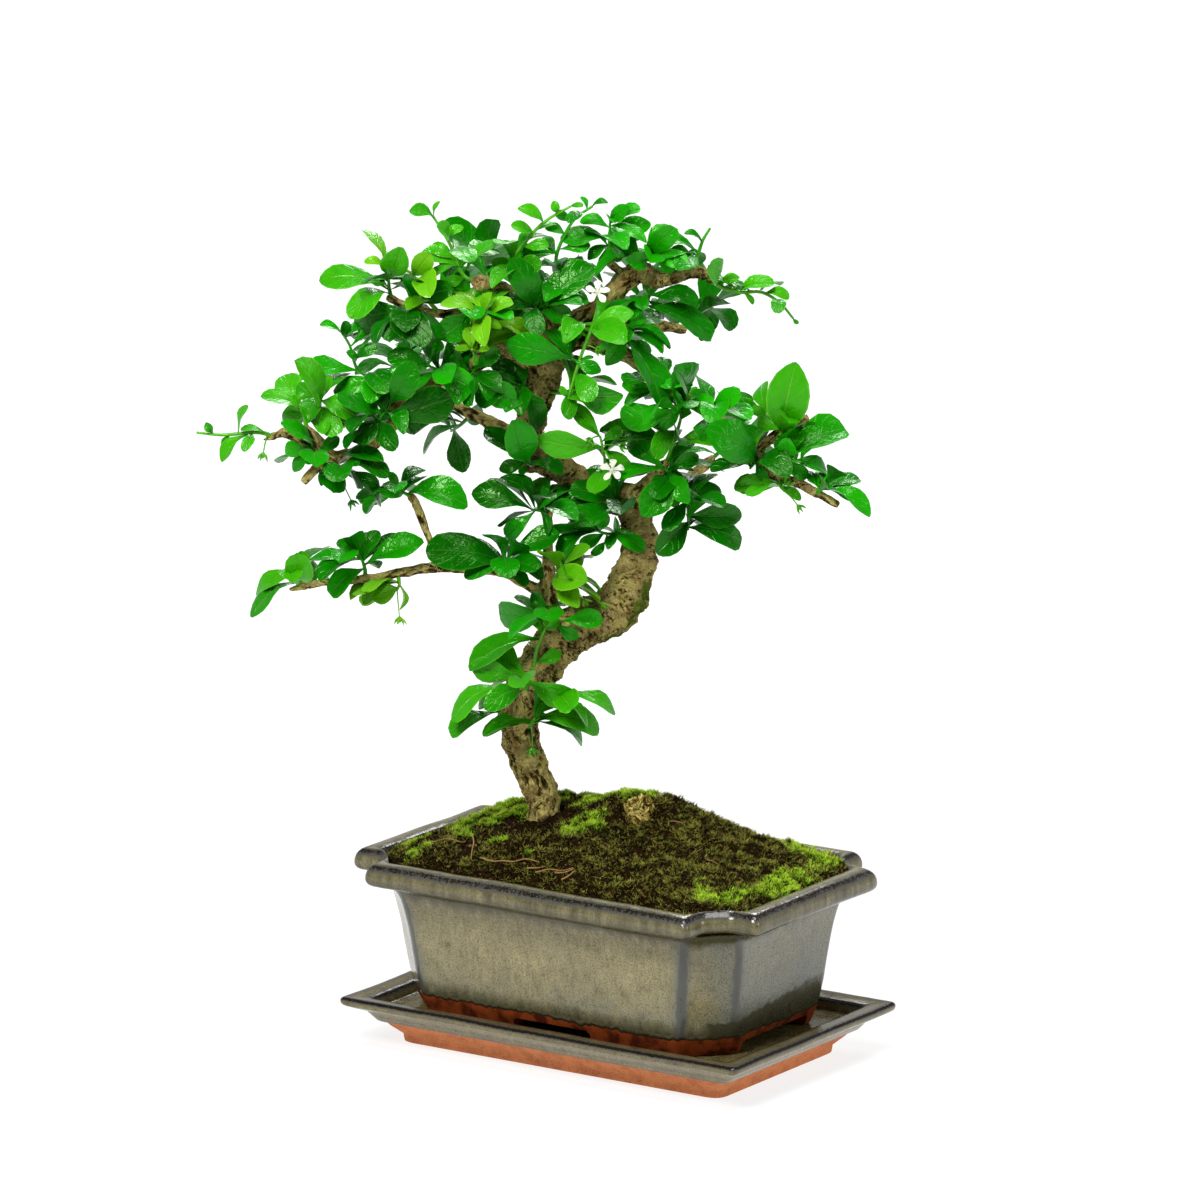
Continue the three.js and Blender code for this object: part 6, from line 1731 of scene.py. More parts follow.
@dataclass
class DryTuft:
    """A curled, dried-out tuft of moss on the mound."""

    centre: tuple = (14.0, -4.0)
    size: tuple = (5.4, 4.4, 6.4)
    lift: float = 3.5
    strands: int = 520

    def build(self) -> None:
        """Wind strands over the tuft's form and dress them."""
        bed = SoilBed()
        base = np.array([*self.centre, float(bed.height(*map(np.array, self.centre))) + self.lift])
        rng = np.random.default_rng(31)
        heap = Heap()
        for k in range(self.strands):
            level = 1.12 - 1.9 * ((k + 0.5) / self.strands) ** 1.15
            turn = k * GOLDEN_ANGLE
            line = []
            depth = rng.uniform(0.62, 1.08)
            slope = rng.uniform(-1.5, 1.5)
            for i in range(7):
                here = level - rng.uniform(0.05, 0.15) * i
                ring = math.sqrt(max(1 - min(abs(here), 1) ** 2, 0.01))
                angle = turn + slope * i * 0.2 + 0.2 * math.sin(i * 1.9 + k)
                dent = 1 + 0.5 * noise.noise(Vector((math.cos(angle), math.sin(angle), here)) * 1.6)
                spoke = np.array([ring * math.cos(angle), ring * math.sin(angle), here]) * dent
                flare = 1 + 0.06 * math.sin(i * 2.3 + k) + (0.22 * rng.random() if i == 6 else 0)
                line.append(base + spoke * self.size * depth * flare)
            radii = np.array([0.12, 0.3, 0.34, 0.32, 0.28, 0.22, 0.1]) * rng.uniform(0.6, 1.1)
            heap.add_tube(np.array(line), radii, 4, rng.random())
        piece = heap.piece("dry_moss_strands")
        smooth(piece, 60)
        hand_over(piece, "dry_moss", ["dry_moss_tuft"], DRY_TUFT.material())


# Trunk and branches


@dataclass
class Wood:
    """The trunk and all its limbs as one body, with bark relief, knots and cut ends."""

    voxel: float = 0.8
    spacing: float = 1.2
    # Size of each kind of relief: fissures along the limb, cracks, lumps and knobs
    relief: float = 0.9
    fissure: float = 2.6
    crack: float = 1.15
    lump: float = 8.5
    knob: float = 4.2
    # Scars of old cuts on the trunk: (across, up, out, reach)
    scars: tuple = (
        (-4, 30, 12, 3.2), (-16, 42, 9, 2.6), (2, 76, 15, 3), (20, 82, 15, 3.4), (38, 92, 9, 3),
        (44, 112, 3, 2.6), (30, 140, -4, 2.4), (-13, 157, 0, 2.4), (4, 182, 9, 2.8), (-6, 176, 7, 2.4),
        (-2, 8, 6, 2.4), (-12, 60, 12, 2.8), (-18, 50, 2, 2.4), (10, 202, 8, 2.6),
    )
    # Where moss has climbed on the bark: (across, up, out, reach)
    damp: tuple = (
        (42, 99, 7, 6), (40, 92, 11, 6.5), (37, 85, 12, 6), (29, 80, 10, 5), (-4, 4, -5, 8), (4, 2, 3, 4),
    )

    def build(self) -> None:
        """Model the wood and dress it."""
        lines = self.limb_lines()
        piece = self.skin(lines)
        self.carve(piece, lines)
        smooth(piece, 70)
        hand_over(piece, "bark", ["trunk_and_branches"], BARK.material())

    def limb_lines(self) -> list[tuple[np.ndarray, np.ndarray]]:
        """Middle line and radius of every limb, closely spaced."""
        lines = []
        for route in LIMBS:
            points, spans = smooth_line([place(row) for row in route], self.spacing)
            radii = np.interp(spans, np.arange(len(route)), [row[3] for row in route])
            lines.append((points, radii))
        return lines

    def skin(self, lines: list[tuple[np.ndarray, np.ndarray]]) -> Piece:
        """Grow the limbs together to one even mesh.

        Args:
            lines: middle line and radius of every limb.

        Returns:
            The wood, still smooth.
        """
        curve = bpy.data.curves.new("trunk_and_limbs", "CURVE")
        curve.dimensions = "3D"
        curve.bevel_depth = MM
        curve.bevel_resolution = 5
        curve.use_fill_caps = True
        for points, radii in lines:
            spline = curve.splines.new("POLY")
            spline.points.add(len(points) - 1)
            spots = np.column_stack([points * MM, np.ones(len(points))])
            spline.points.foreach_set("co", spots.ravel())
            spline.points.foreach_set("radius", radii)
        piece = bpy.data.objects.new("trunk_and_limbs", curve)
        bpy.context.scene.collection.objects.link(piece)
        select_only(piece)
        bpy.ops.object.convert(target="MESH")
        piece = bpy.context.object
        piece.data.name = "trunk_and_limbs"
        self.add_buds(piece)
        apply_modifier(piece, "REMESH", mode="VOXEL", voxel_size=self.voxel * MM)
        apply_modifier(piece, "SMOOTH", factor=0.5, iterations=3)
        return piece

    def add_buds(self, piece: Piece) -> None:
        """Set a small swollen base where each shoot leaves the wood."""
        select_only(piece)
        bpy.ops.object.mode_set(mode="EDIT")
        for spray in SPRAYS:
            spot = place(spray.stem[0]) * MM
            bpy.ops.mesh.select_all(action="DESELECT")
            bpy.ops.mesh.primitive_ico_sphere_add(subdivisions=2, radius=1.9 * MM, location=spot)
            bpy.ops.transform.vertex_random(offset=0.25 * MM, seed=len(spray.leaves))
        bpy.ops.object.mode_set(mode="OBJECT")

    def carve(self, piece: Piece, lines: list[tuple[np.ndarray, np.ndarray]]) -> None:
        """Give the skin its fissures, lumps and scars, and mark bark, moss and cut wood, with painted
        shade on the underside.

        Args:
            piece: the smooth wood.
            lines: middle line and radius of every limb.
        """
        spots, outward = vertices(piece), read_vertices(piece, "normal")
        samples = [
            (points[k], radii[k], i, k)
            for i, (points, radii) in enumerate(lines)
            for k in range(len(points))
        ]
        tree = tree_of(sample[0] for sample in samples)
        tangents = [np.gradient(points, axis=0) for points, _ in lines]
        scars = [(place(row), row[3]) for row in self.scars]
        damp = [(place(row), row[3]) for row in self.damp]
        grain, wear = np.zeros_like(spots), np.zeros_like(spots)
        moved = spots.copy()
        for v, spot in enumerate(spots):
            near = [samples[n] for _, n, _ in tree.find_n(spot, 8)]
            middle, radius, i, k = min(near, key=lambda s: abs(np.linalg.norm(spot - s[0]) - s[1]))
            tangent = unit(tangents[i][k])
            away = spot - middle
            along = k * self.spacing + np.dot(away, tangent)
            around = away - tangent * np.dot(away, tangent)
            place_in_bark = around + np.array([i * 31.0, i * 17.0, 0]) + tangent * along * 0.4
            grain[v] = place_in_bark * MM
            coarse = noise.noise(Vector(place_in_bark) / self.fissure)
            fine = noise.noise(Vector(place_in_bark) / self.crack)
            lump = noise.noise(Vector(spot) / self.lump)
            ridge = 0.5 - abs(coarse) * 1.5 + 0.45 * fine
            depth = min(self.relief, 0.12 * radius + 0.1)
            knobs = noise.noise(Vector(spot) / self.knob + Vector((7, 3, 1)))
            shift = depth * ridge + min(0.24 * radius, 2.2) * (0.8 * lump + 0.7 * knobs)
            scar = 0.0
            for centre, reach in scars:
                gap = np.linalg.norm(spot - centre)
                if gap < 3 * reach:
                    collar = 0.5 * math.exp(-((gap / reach) ** 2))
                    shift += collar - 0.9 * math.exp(-((2.2 * gap / reach) ** 2))
                    scar = max(scar, math.exp(-((1.6 * gap / reach) ** 2)))
            points = lines[i][0]
            past_end = np.dot(spot - points[-1], unit(points[-1] - points[-2]))
            at_end = k >= len(points) - 3 and past_end > -0.25 * radius
            facing = abs(np.dot(outward[v], tangent))
            # The outward height term paints upward-facing bark lighter and the underside darker: painted
            # light and shade
            wear[v, 0] = 0.5 + 0.5 * ridge - 0.35 * scar + 0.16 * outward[v, 2] + 0.25 * lump
            wear[v, 1] = max(math.exp(-((np.linalg.norm(spot - c) / r) ** 2)) for c, r in damp)
            wear[v, 2] = 1.0 if at_end and facing > 0.75 and radius > 1.5 else 0.25 * scar
            moved[v] = spot + outward[v] * (shift if not at_end else 0.3 * shift)
        move_vertices(piece, moved)
        mark_vertices(piece, "grain", grain)
        mark_vertices(piece, "wear", wear)


# Leaves


def length_of(line: Points) -> float:
    """The length of a line of points."""
    return float(sum(np.linalg.norm(b - a) for a, b in zip(line, line[1:])))


def point_along(line: Points, along: float) -> np.ndarray:
    """The point at a distance along a line of points."""
    for k, (a, b) in enumerate(zip(line, line[1:])):
        step = np.linalg.norm(b - a)
        if along <= step or k + 2 == len(line):
            return a + (b - a) * min(along / step, 1)
        along -= step
    return line[0]


def nearest_along(line: Points, spot: np.ndarray) -> float:
    """How far along a line its nearest point to a spot lies."""
    best, travelled, found = math.inf, 0.0, 0.0
    for a, b in zip(line, line[1:]):
        step = np.linalg.norm(b - a)
        share = min(max(np.dot(spot - a, b - a) / step**2, 0), 1)
        gap = np.linalg.norm(a + (b - a) * share - spot)
        if gap < best:
            best, found = gap, travelled + share * step
        travelled += step
    return found


@dataclass
class Leaf:
    """Where one leaf is, and how it is formed."""

    root: np.ndarray
    base: np.ndarray
    tip: np.ndarray
    width: float
    normal: np.ndarray
    age: float = 0.5


@dataclass
class LeafShape:
    """A fukien tea leaf: narrow foot, widest past the middle, blunt tip with a few teeth."""

    # Rows from foot to tip: (along, half width, how far the margin's teeth point forward)
    rows: tuple = (
        (0, 0.05, 0), (0.12, 0.24, 0), (0.27, 0.58, 0), (0.43, 0.87, 0), (0.58, 1.0, 0),
        (0.72, 0.96, 0.01), (0.84, 0.77, 0.03), (0.94, 0.45, 0.02), (1.0, 0.1, 0),
    )
    thickness: float = 0.4
    # Least and most of what bends a blade, as shares of its length or half width
    curl: tuple = (-0.06, 0.16)
    roll: tuple = (0.04, 0.26)
    arch: tuple = (0.05, 0.17)
    fold: tuple = (0.22, 0.6)
    # Usual size of its twist in radians, its sway, and the difference of its halves
    twist: float = 0.3
    sway: float = 0.035
    uneven: float = 0.05
    puff: float = 0.05

    def template(self) -> tuple[np.ndarray, Faces, list[int]]:
        """Model the blade flat, as a grid doubled to a thin closed body.

        Returns:
            For each vertex its place along, across and under; the faces; and which are under.
        """
        steps = len(self.rows) - 1
        grid = {"x_subdivisions": 4, "y_subdivisions": steps, "size": 2}
        piece = start_from(bpy.ops.mesh.primitive_grid_add, **grid)
        bpy.ops.object.mode_set(mode="EDIT")
        bpy.ops.mesh.duplicate()
        bpy.ops.mesh.flip_normals()
        mesh = bmesh.from_edit_mesh(piece.data)
        for vert in mesh.verts:
            inner = abs(vert.co.x) < 0.99 and abs(vert.co.y) < 0.99
            if vert.select and inner:
                vert.co.z = -1
        bmesh.update_edit_mesh(piece.data)
        bpy.ops.mesh.select_all(action="SELECT")
        bpy.ops.mesh.remove_doubles(threshold=0.001)
        bpy.ops.object.mode_set(mode="OBJECT")
        grid = np.array([v.co[:] for v in piece.data.vertices])
        row = np.rint((grid[:, 1] + 1) / 2 * steps).astype(int)
        faces = [list(face.vertices) for face in piece.data.polygons]
        under = [int(face.normal.z < 0) for face in piece.data.polygons]
        bpy.data.objects.remove(piece)
        return np.column_stack([row, grid[:, 0], -grid[:, 2]]), faces, under

    def bend(self, leaf: Leaf, template: np.ndarray, rng: Rng) -> np.ndarray:
        """Bring the flat blade into the place and form of one leaf.

        Args:
            leaf: the leaf.
            template: row, place across and under for each vertex.
            rng: the source of its small differences.

        Returns:
            Its vertices in millimetres.
        """
        axis = leaf.tip - leaf.base
        length = np.linalg.norm(axis)
        axis = axis / length
        normal = unit(leaf.normal - axis * np.dot(leaf.normal, axis))
        side = np.cross(axis, normal)
        table = np.array(self.rows)
        rows = table[template[:, 0].astype(int)]
        across = template[:, 1]
        along = rows[:, 0] + rows[:, 2] * np.abs(across) * rng.uniform(-1, 3)
        spread = np.interp(rows[:, 0] ** rng.uniform(1.0, 1.5), table[:, 0], table[:, 1])
        spread[rows[:, 0] > 0.99] = 0.16
        hump, off_middle = np.sin(math.pi * along), np.abs(across)
        sway = rng.normal(0, self.sway) * hump
        half = 0.5 * leaf.width * spread * (1 + rng.normal(0, self.uneven) * np.sign(across))
        curl, roll = rng.uniform(*self.curl), rng.uniform(*self.roll)
        twist = rng.normal(0, self.twist)
        arch, fold = rng.uniform(*self.arch), rng.uniform(*self.fold)
        rise = length * (arch * hump - 0.06 * along**2 - curl * along**3)
        trough = half * (fold * off_middle - roll * across**2)
        puff = self.puff * leaf.width * np.sin(math.pi * off_middle) * hump
        ripple = self.puff * leaf.width * off_middle * np.sin(along * 9 + rng.uniform(0, 6.3))
        level = rise + trough + puff + ripple - template[:, 2] * self.thickness
        turn = twist * along
        lateral = half * across
        width_way = lateral * np.cos(turn)
        height_way = level + lateral * np.sin(turn)
        return (
            leaf.base
            + np.outer(along * length, axis)
            + np.outer(width_way + sway * length, side)
            + np.outer(height_way, normal)
        )


@dataclass
class Foliage:
    """Every leafy shoot, each in the place of its own node."""

    shape: LeafShape = field(default_factory=LeafShape)
    narrowest: float = 0.5
    root_spacing: float = 2.4
    stem_radius: tuple = (1.0, 0.5)
    sepals: int = 5
    ages: dict = field(
        default_factory=lambda: {Tone.DARK: 0.1, Tone.MID: 0.35, Tone.BRIGHT: 0.65, Tone.YOUNG: 0.9}
    )

    def build(self) -> None:
        """Model the shoots and dress them."""
        template, faces, under = self.shape.template()
        materials = {tone: LEAVES[tone].material() for tone in Tone}
        under_look, stem_look, bud_look = (
            look.material() for look in (LEAF_UNDER, GREEN_STEM, BUD_GREEN)
        )
        groups: dict[str, list[tuple[int, Spray]]] = {}
        for index, spray in enumerate(SPRAYS):
            groups.setdefault("spray_" + spray.node, []).append((index, spray))
        total = 0
        for node, sprays in groups.items():
            heap = Heap()
            for index, spray in sprays:
                rng = np.random.default_rng(400 + index)
                stem = [place(row) for row in spray.stem]
                for leaf in self.leaves_of(index, spray, stem, rng):
                    self.add_leaf(heap, leaf, template, faces, under, rng)
                    total += 1
                self.add_stem(heap, stem)
                for spot in spray.buds:
                    self.add_bud(heap, stem, spray.bare, place(spot), rng)
            piece = heap.piece("leaves_of_" + node)
            smooth(piece, 75)
            tone = sprays[0][1].tone
            looks = (materials[tone], under_look, stem_look, bud_look)
            hand_over(piece, "leaf_" + tone.value, [node], *looks)
        LOG.info("%d leaves in all", total)

    def leaves_of(
        self, index: int, spray: Spray, stem: Points, rng: Rng
    ) -> list[Leaf]:
        """All leaves of one shoot.

        Args:
            index: its number in the plan.
            spray: its plan.
            stem: its stem in the object's frame.
            rng: the source of its small differences.

        Returns:
            Planned leaves, those by rule and some extra ones.
        """
        age = self.ages[spray.tone]
        leaves = self.planned(spray.leaves, stem, spray.bare)
        leaves += self.planned(spray.small, stem, spray.bare)
        draw = make_random(FIRST_SEED + index)
        leaves += self.ruled(stem, spray.bare, spray.fill, draw, (17, 9))
        leaves += [self.seeded(stem, spray.bare, seed) for seed in spray.extra]
        for leaf in leaves:
            leaf.age = min(max(age + rng.normal(0, 0.09), 0), 1)
        return leaves

    def roots(self, stem: Points, bare: float, spots: Points) -> Points:
        """Where leaves leave the stem: each nearest to its leaf, but none on top of another.

        Args:
            stem: the stem.
            bare: how much of its foot carries no leaf.
            spots: where the leaves are.

        Returns:
            The point of the stem that each leaf grows from.
        """
        length = length_of(stem)
        spacing = min(self.root_spacing, (length - bare) / (len(spots) + 0.5))
        order = sorted(((nearest_along(stem, spot), i) for i, spot in enumerate(spots)))
        ceiling = length - 0.2 * spacing
        found = [stem[0]] * len(spots)
        for along, i in reversed(order):
            along = min(along, ceiling)
            ceiling = along - spacing
            found[i] = point_along(stem, max(along, bare))
        return found

    def facing(self, axis: np.ndarray, shown: float, width: float) -> np.ndarray:
        """The upper side of a leaf, turned from the front until the stated width shows.

        Args:
            axis: the way the leaf points.
            shown: the width that shows from the front.
            width: its whole width.

        Returns:
            The way its upper side faces.
        """
        front = TOWARDS_VIEWER - axis * np.dot(TOWARDS_VIEWER, axis)
        if np.linalg.norm(front) < 0.2:
            return unit(UP - axis * np.dot(UP, axis))
        front = unit(front)
        edge = np.cross(axis, front)
        turn = math.acos(min(shown / width, 1))
        return front * math.cos(turn) + edge * (math.sin(turn) * (1 if edge[2] >= 0 else -1))

    def planned(self, rows: tuple, stem: Points, bare: float) -> list[Leaf]:
        """The leaves that the plan places one by one.

        Args:
            rows: the plan's rows.
            stem: the stem they grow on.
            bare: how much of the stem's foot carries no leaf.

        Returns:
            The leaves.
        """
        if not rows:
            return []
        roots = self.roots(stem, bare, [place(row[:3]) for row in rows])
        leaves = []
        for row, root in zip(rows, roots):
            spot, tip = place(row[:3]), place(row[3:6])
            lead = spot - root
            forward = np.dot(lead, unit(tip - spot))
            gap = np.linalg.norm(lead)
            base = spot if gap > 3 and forward > 0.6 * gap else root
            length = np.linalg.norm(tip - base)
            width = max(row[6], self.narrowest * length)
            leaves.append(Leaf(root, base, tip, width, self.facing(unit(tip - base), row[6], width)))
        return leaves

    def ruled(
        self, stem: Points, bare: float, count: int, draw: Callable[[], float], size: tuple
    ) -> list[Leaf]:
        """Leaves that follow a rule: set round the stem by the golden angle, leaning outwards.

        Args:
            stem: the stem they grow on.
            bare: how much of the stem's foot carries no leaf.
            count: how many there are.
            draw: the source of their small differences.
            size: their least length, and how much longer they can be.

        Returns:
            The leaves.
        """
        free = length_of(stem) - bare
        leaves = []
        for k in range(count):
            share = 0.1 + 0.88 * k / (count - 1) if count > 3 else 0.5 + 0.45 * draw()
            along = bare + free * share
            root = point_along(stem, along)
            tangent = unit(point_along(stem, along + 0.5) - point_along(stem, along - 0.5))
            arm = unit(np.cross(tangent, UP))
            arm = turned(arm, tangent, k * GOLDEN_ANGLE + draw() * 0.8)
            if count <= 3:
                arm = arm - 1.2 * TOWARDS_VIEWER
            axis = unit(arm + 0.7 * tangent + 0.3 * UP)
            length = size[0] + size[1] * draw()
            normal = 1.2 * UP + tangent
            normal = unit(normal - axis * np.dot(normal, axis))
            width = length * (self.narrowest + 0.08 * draw())
            leaves.append(Leaf(root, root, root + axis * length, width, normal))
        return leaves

    def seeded(self, stem: Points, bare: float, seed: int) -> Leaf:
        """One leaf whose place and form come from its own seed.

        Args:
            stem: the stem it grows on.
            bare: how much of the stem's foot carries no leaf.
            seed: its seed.

        Returns:
            The leaf.
        """
        draw = make_random(seed)
        for _ in range(3):
            draw()
        root = point_along(stem, bare + (length_of(stem) - bare) * (0.1 + 0.9 * draw()))
        turn, lift = 2 * math.pi * draw(), -0.6 + 1.6 * draw()
        flat = math.cos(lift)
        axis = np.array([math.cos(turn) * flat, math.sin(turn) * flat, math.sin(lift)])
        length = 8 + 15 * draw() ** 1.2
        normal = UP + 0.9 * np.array([draw() - 0.5, draw() - 0.5, draw() - 0.5])
        normal = unit(normal - axis * np.dot(normal, axis))
        width = length * (self.narrowest - 0.02 + 0.1 * draw())
        return Leaf(root, root, root + axis * length, width, normal)

    def add_leaf(
        self,
        heap: Heap,
        leaf: Leaf,
        template: np.ndarray,
        faces: Faces,
        under: list[int],
        rng: Rng,
    ) -> None:
        """Put one leaf and its stalk in a heap.

        Args:
            heap: the heap.
            leaf: the leaf.
            template: its flat blade.
            faces: the blade's faces.
            under: which of the faces are on its underside.
            rng: the source of its small differences.
        """
        spots = self.shape.bend(leaf, template, rng)
        rows = np.array(self.shape.rows)[template[:, 0].astype(int)]
        blade = np.column_stack([rows[:, 0], template[:, 1], 1 - template[:, 2]])
        tint = np.tile([rng.random(), leaf.age, rng.random()], (len(spots), 1))
        upper = [face for face, low in zip(faces, under) if not low]
        lower = [face for face, low in zip(faces, under) if low]
        heap.add(spots, upper + lower, 0, blade=blade, tint=tint)
        heap.looks[-len(lower) :] = [1] * len(lower)
        if np.linalg.norm(leaf.base - leaf.root) > 1:
            line = np.linspace(leaf.root, leaf.base, 4)
            line[1:3] -= UP * 0.4
            heap.add_tube(line, np.array([0.5, 0.42, 0.4, 0.38]), 5, 0.6, 2)

    def add_stem(self, heap: Heap, stem: Points) -> None:
        """Put the stem of a shoot in a heap."""
        line = smooth_line(stem, 2.2)[0]
        radii = np.linspace(*self.stem_radius, len(line))
        spots, faces = tube(line, radii, 7)
        tint = np.zeros((len(spots), 3))
        tint[:, 0] = np.repeat(np.linspace(0.1, 0.9, len(line)), 7)
        heap.add(spots, faces, 2, blade=np.zeros_like(tint), tint=tint)

    def add_bud(
        self,
        heap: Heap,
        stem: Points,
        bare: float,
        centre: np.ndarray,
        rng: Rng,
    ) -> None:
        """Put a flower bud on its thread in a heap.

        Args:
            heap: the heap.
            stem: the stem it hangs on.
            bare: how much of the stem's foot carries no bud.
            centre: the bud's middle.
            rng: the source of its small differences.
        """
        start = point_along(stem, max(nearest_along(stem, centre), bare))
        reach = np.linalg.norm(centre - start)
        middle = (start + centre) / 2 + UP * 0.08 * reach + rng.normal(0, 0.05 * reach, 3)
        line = smooth_line([start, middle, centre], 1.5)[0]
        heap.add_tube(line, np.linspace(0.34, 0.26, len(line)), 4, 0.8, 2)
        way = unit(line[-1] - line[-2])
        profile = np.array([[-1.3, 0.3], [-0.7, 0.8], [0, 0.95], [0.8, 0.7], [1.4, 0.2]])
        bodies = [(centre + np.outer(profile[:, 0], way), profile[:, 1], 6)]
        arm = unit(np.cross(way, UP + 0.1))
        for k in range(self.sepals):
            out = turned(arm, way, k * 2 * math.pi / self.sepals + rng.uniform(-0.3, 0.3))
            lean = rng.uniform(0.35, 1.0)
            step = unit(way + lean * out) * rng.uniform(1.3, 1.8)
            foot = centre - 0.7 * way + 0.4 * out
            sepal = np.array([foot, foot + step + 0.3 * out, foot + 2.3 * step])
            bodies.append((sepal, np.array([0.42, 0.55, 0.1]), 4))
        for line, radii, sides in bodies:
            heap.add_tube(line, radii, sides, rng.random(), 3)


@dataclass
class Flowers:
    """Open white flowers: five rounded petals, green calyx and yellow anthers on white threads."""

    centres: tuple = ((22, 226, 20), (28, 153, 24))
    petal_length: float = 5.2
    petal_width: float = 3.0
    rows: tuple = (
        (0, 0.3, 0), (0.18, 0.5, 0), (0.36, 0.78, 0), (0.52, 0.96, 0), (0.66, 1.0, 0), (0.78, 0.9, 0),
        (0.88, 0.7, 0), (0.95, 0.45, 0), (1.0, 0.16, 0),
    )

    def build(self) -> None:
        """Model the flowers and dress them."""
        shape = LeafShape(rows=self.rows, thickness=0.3)
        template, faces, _ = shape.template()
        looks = (PETAL.material(), BUD_GREEN.material(), ANTHER.material())
        for k, centre in enumerate(self.centres):
            rng = np.random.default_rng(90 + k)
            heap = Heap()
            middle = place(centre)
            normal = unit(TOWARDS_VIEWER + 0.8 * UP)
            arm = unit(np.cross(UP, normal))
            for i in range(5):
                turn = i * FIFTH_TURN + 0.3
                way = turned(arm, normal, turn)
                self.add_petal(heap, shape, template, faces, (middle, normal, way), rng)
                way = turned(arm, normal, turn + FIFTH_TURN / 2)
                self.add_stamen(heap, middle, normal, way, rng)
            calyx = middle + np.outer([-2.4, -1.8, -0.8, 0, 0.35], normal)
            heap.add_tube(calyx, np.array([0.35, 0.9, 1.2, 1.15, 0.5]), 10, 0.5, 1)
            piece = heap.piece(f"open_flower_{k + 1}")
            smooth(piece, 70)
            hand_over(piece, "petal", [f"flower_{k + 1}"], *looks)

    def add_petal(
        self, heap: Heap, shape: LeafShape, template: np.ndarray, faces: list, where: tuple,
        rng: Rng,
    ) -> None:
        """Put one petal in a heap.

        Args:
            heap: the heap.
            shape: the form of a petal.
            template: its flat blade.
            faces: the blade's faces.
            where: the flower's middle, the way it faces and the way the petal points.
            rng: the source of its small differences.
        """
        middle, normal, way = where
        axis = unit(way + normal * rng.uniform(-0.15, 0.25))
        base = middle + axis * 0.6
        tip = middle + axis * self.petal_length
        spots = shape.bend(Leaf(base, base, tip, self.petal_width, normal), template, rng)
        tint = np.tile([0.5 + 0.4 * rng.random(), 0, 0], (len(spots), 1))
        heap.add(spots, faces, 0, blade=np.zeros_like(tint), tint=tint)

    def add_stamen(
        self, heap: Heap, middle: np.ndarray, normal: np.ndarray, way: np.ndarray,
        rng: Rng,
    ) -> None:
        """Put one stamen, a thread with its anther, in a heap.

        Args:
            heap: the heap.
            middle: the flower's middle.
            normal: the way the flower faces.
            way: the way the stamen leans.
            rng: the source of its small differences.
        """
        top = middle + normal * rng.uniform(2.4, 3.2) + way * rng.uniform(1.0, 1.7)
        line = np.array([middle, (middle + top) / 2 + normal * 0.4, top])
        heap.add_tube(line, np.array([0.2, 0.16, 0.14]), 4, 0.7)
        bead = np.array([top - way * 0.5, top, top + way * 0.5])
        heap.add_tube(bead, np.array([0.22, 0.4, 0.2]), 6, 0.6, 2)


# Studio


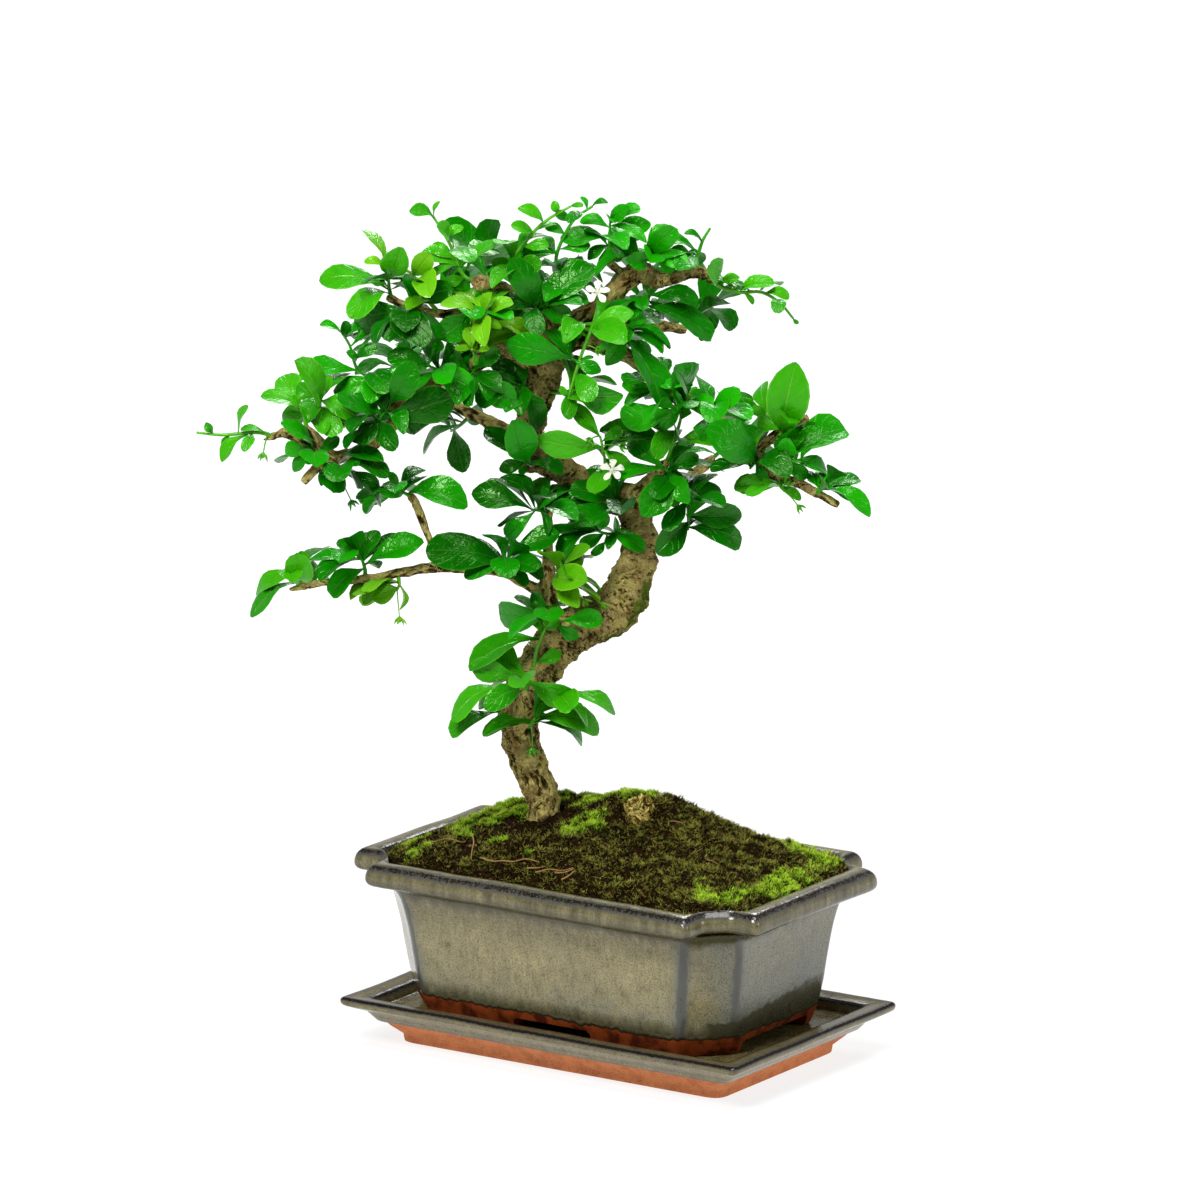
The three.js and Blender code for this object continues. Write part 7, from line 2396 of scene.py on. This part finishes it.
@dataclass
class Studio:
    """Pale floor, white room, soft lights, and the photograph's point of view."""

    azimuth: float = 33.9
    elevation: float = 12.7
    target: tuple = (0.0, 0.0, 0.1893)
    distance: float = 3.5
    lens: float = 256.6
    shift_x: float = -0.01467
    # Softboxes: (name, azimuth, elevation and distance, side in metres, watts)
    lights: tuple = (
        ("key_softbox", (3, 44, 1.6), 0.5, 22.5), ("right_softbox", (104, 18, 1.7), 0.5, 4.5),
        ("top_softbox", (60, 76, 1.5), 0.8, 15.0), ("back_softbox", (205, 42, 1.8), 0.6, 15.0),
    )

    def build(self) -> None:
        """Set up floor, lights and camera."""
        scene = bpy.context.scene
        scene.view_settings.view_transform = "Standard"
        self.add_floor()
        self.add_room(scene)
        for name, *light in self.lights:
            self.add_light(name, *light)
        self.add_camera(scene)

    def spot_from(self, azimuth: float, elevation: float, distance: float) -> Vector:
        """A place round the target, by the same angles as the camera's."""
        a, e = math.radians(azimuth), math.radians(elevation)
        way = Vector((math.sin(a) * math.cos(e), -math.cos(a) * math.cos(e), math.sin(e)))
        return Vector(self.target) + way * distance

    def add_floor(self) -> None:
        """Lay a wide pale floor that the object stands on."""
        floor = start_from(bpy.ops.mesh.primitive_plane_add, size=14)
        floor.name = "studio_floor"
        material, add, shader = new_material("pale_floor")
        spot = add("TexCoord", output="Object")
        cloud = add("TexNoise", {"Vector": spot, "Scale": per_metre(400.0)})
        far = add("VectorMath", {0: spot}, operation="LENGTH", output="Value")
        set_inputs(shader, {
            "Base Color": add("ValToRGB", {0: cloud}, stops=[(0, grey(0.2)), (1, grey(0.22))]),
            "Emission Strength": add("MapRange", {0: far, 1: 0.15, 2: 0.9, 3: 0.82, 4: 1.0}),
            "Emission Color": grey(1.0),
            "Roughness": 0.9,
            "Specular IOR Level": 0.05,
        })
        floor.data.materials.append(material)

    def add_room(self, scene: bpy.types.Scene) -> None:
        """Surround the object with soft white light, dimmer from the photograph's side."""
        world = bpy.data.worlds.new("white_room")
        world.use_nodes = True
        add = partial(add_node, world.node_tree)
        way = add("TexCoord", output="Generated")
        height = add("SeparateXYZ", {0: way}, output="Z")
        level = add("MapRange", {0: height, 1: 0.05, 2: 0.6, 3: 0.6, 4: 0.14})
        side = {0: way, 1: tuple(TOWARDS_VIEWER)}
        side = add("VectorMath", side, operation="DOT_PRODUCT", output="Value")
        side = add("MapRange", {0: side, 1: -0.1, 2: 0.7, 3: 1.0, 4: 0.25})
        level = add("Math", {0: level, 1: side}, operation="MULTIPLY")
        background = world.node_tree.nodes["Background"]
        set_inputs(background, {"Color": grey(1.0), "Strength": level})
        scene.world = world

    def add_light(self, name: str, spot: tuple, size: float, power: float) -> None:
        """Add one softbox that faces the tree.

        Args:
            name: its name.
            spot: its azimuth, elevation and distance from the tree.
            size: its side in metres.
            power: its power in watts.
        """
        light = bpy.data.lights.new(name, "AREA")
        light.size = size
        light.energy = power
        self.aim(name, light, spot)

    def aim(self, name: str, data: bpy.types.ID, spot: tuple) -> Piece:
        """Put a light or a camera in its place, facing the tree.

        Args:
            name: its name.
            data: the light or the camera.
            spot: its azimuth, elevation and distance from the tree.

        Returns:
            Its object.
        """
        thing = bpy.data.objects.new(name, data)
        thing.location = self.spot_from(*spot)
        way = Vector(self.target) - thing.location
        thing.rotation_euler = way.to_track_quat("-Z", "Y").to_euler()
        bpy.context.scene.collection.objects.link(thing)
        return thing

    def add_camera(self, scene: bpy.types.Scene) -> None:
        """Put the camera where the photograph was taken from."""
        data = bpy.data.cameras.new("view")
        data.lens = self.lens
        data.sensor_width = 36
        data.shift_x = self.shift_x
        data.clip_end = 50
        scene.camera = self.aim("view", data, (self.azimuth, self.elevation, self.distance))


def main() -> None:
    """Build the whole scene."""
    logging.basicConfig(level=logging.INFO, format="%(message)s")
    for part in (DripTray(), Pot(), SoilBed(), MossCover(), DryTuft(), Wood(), Foliage(), Flowers()):
        part.build()
    Studio().build()


if __name__ == "__main__":
    main()
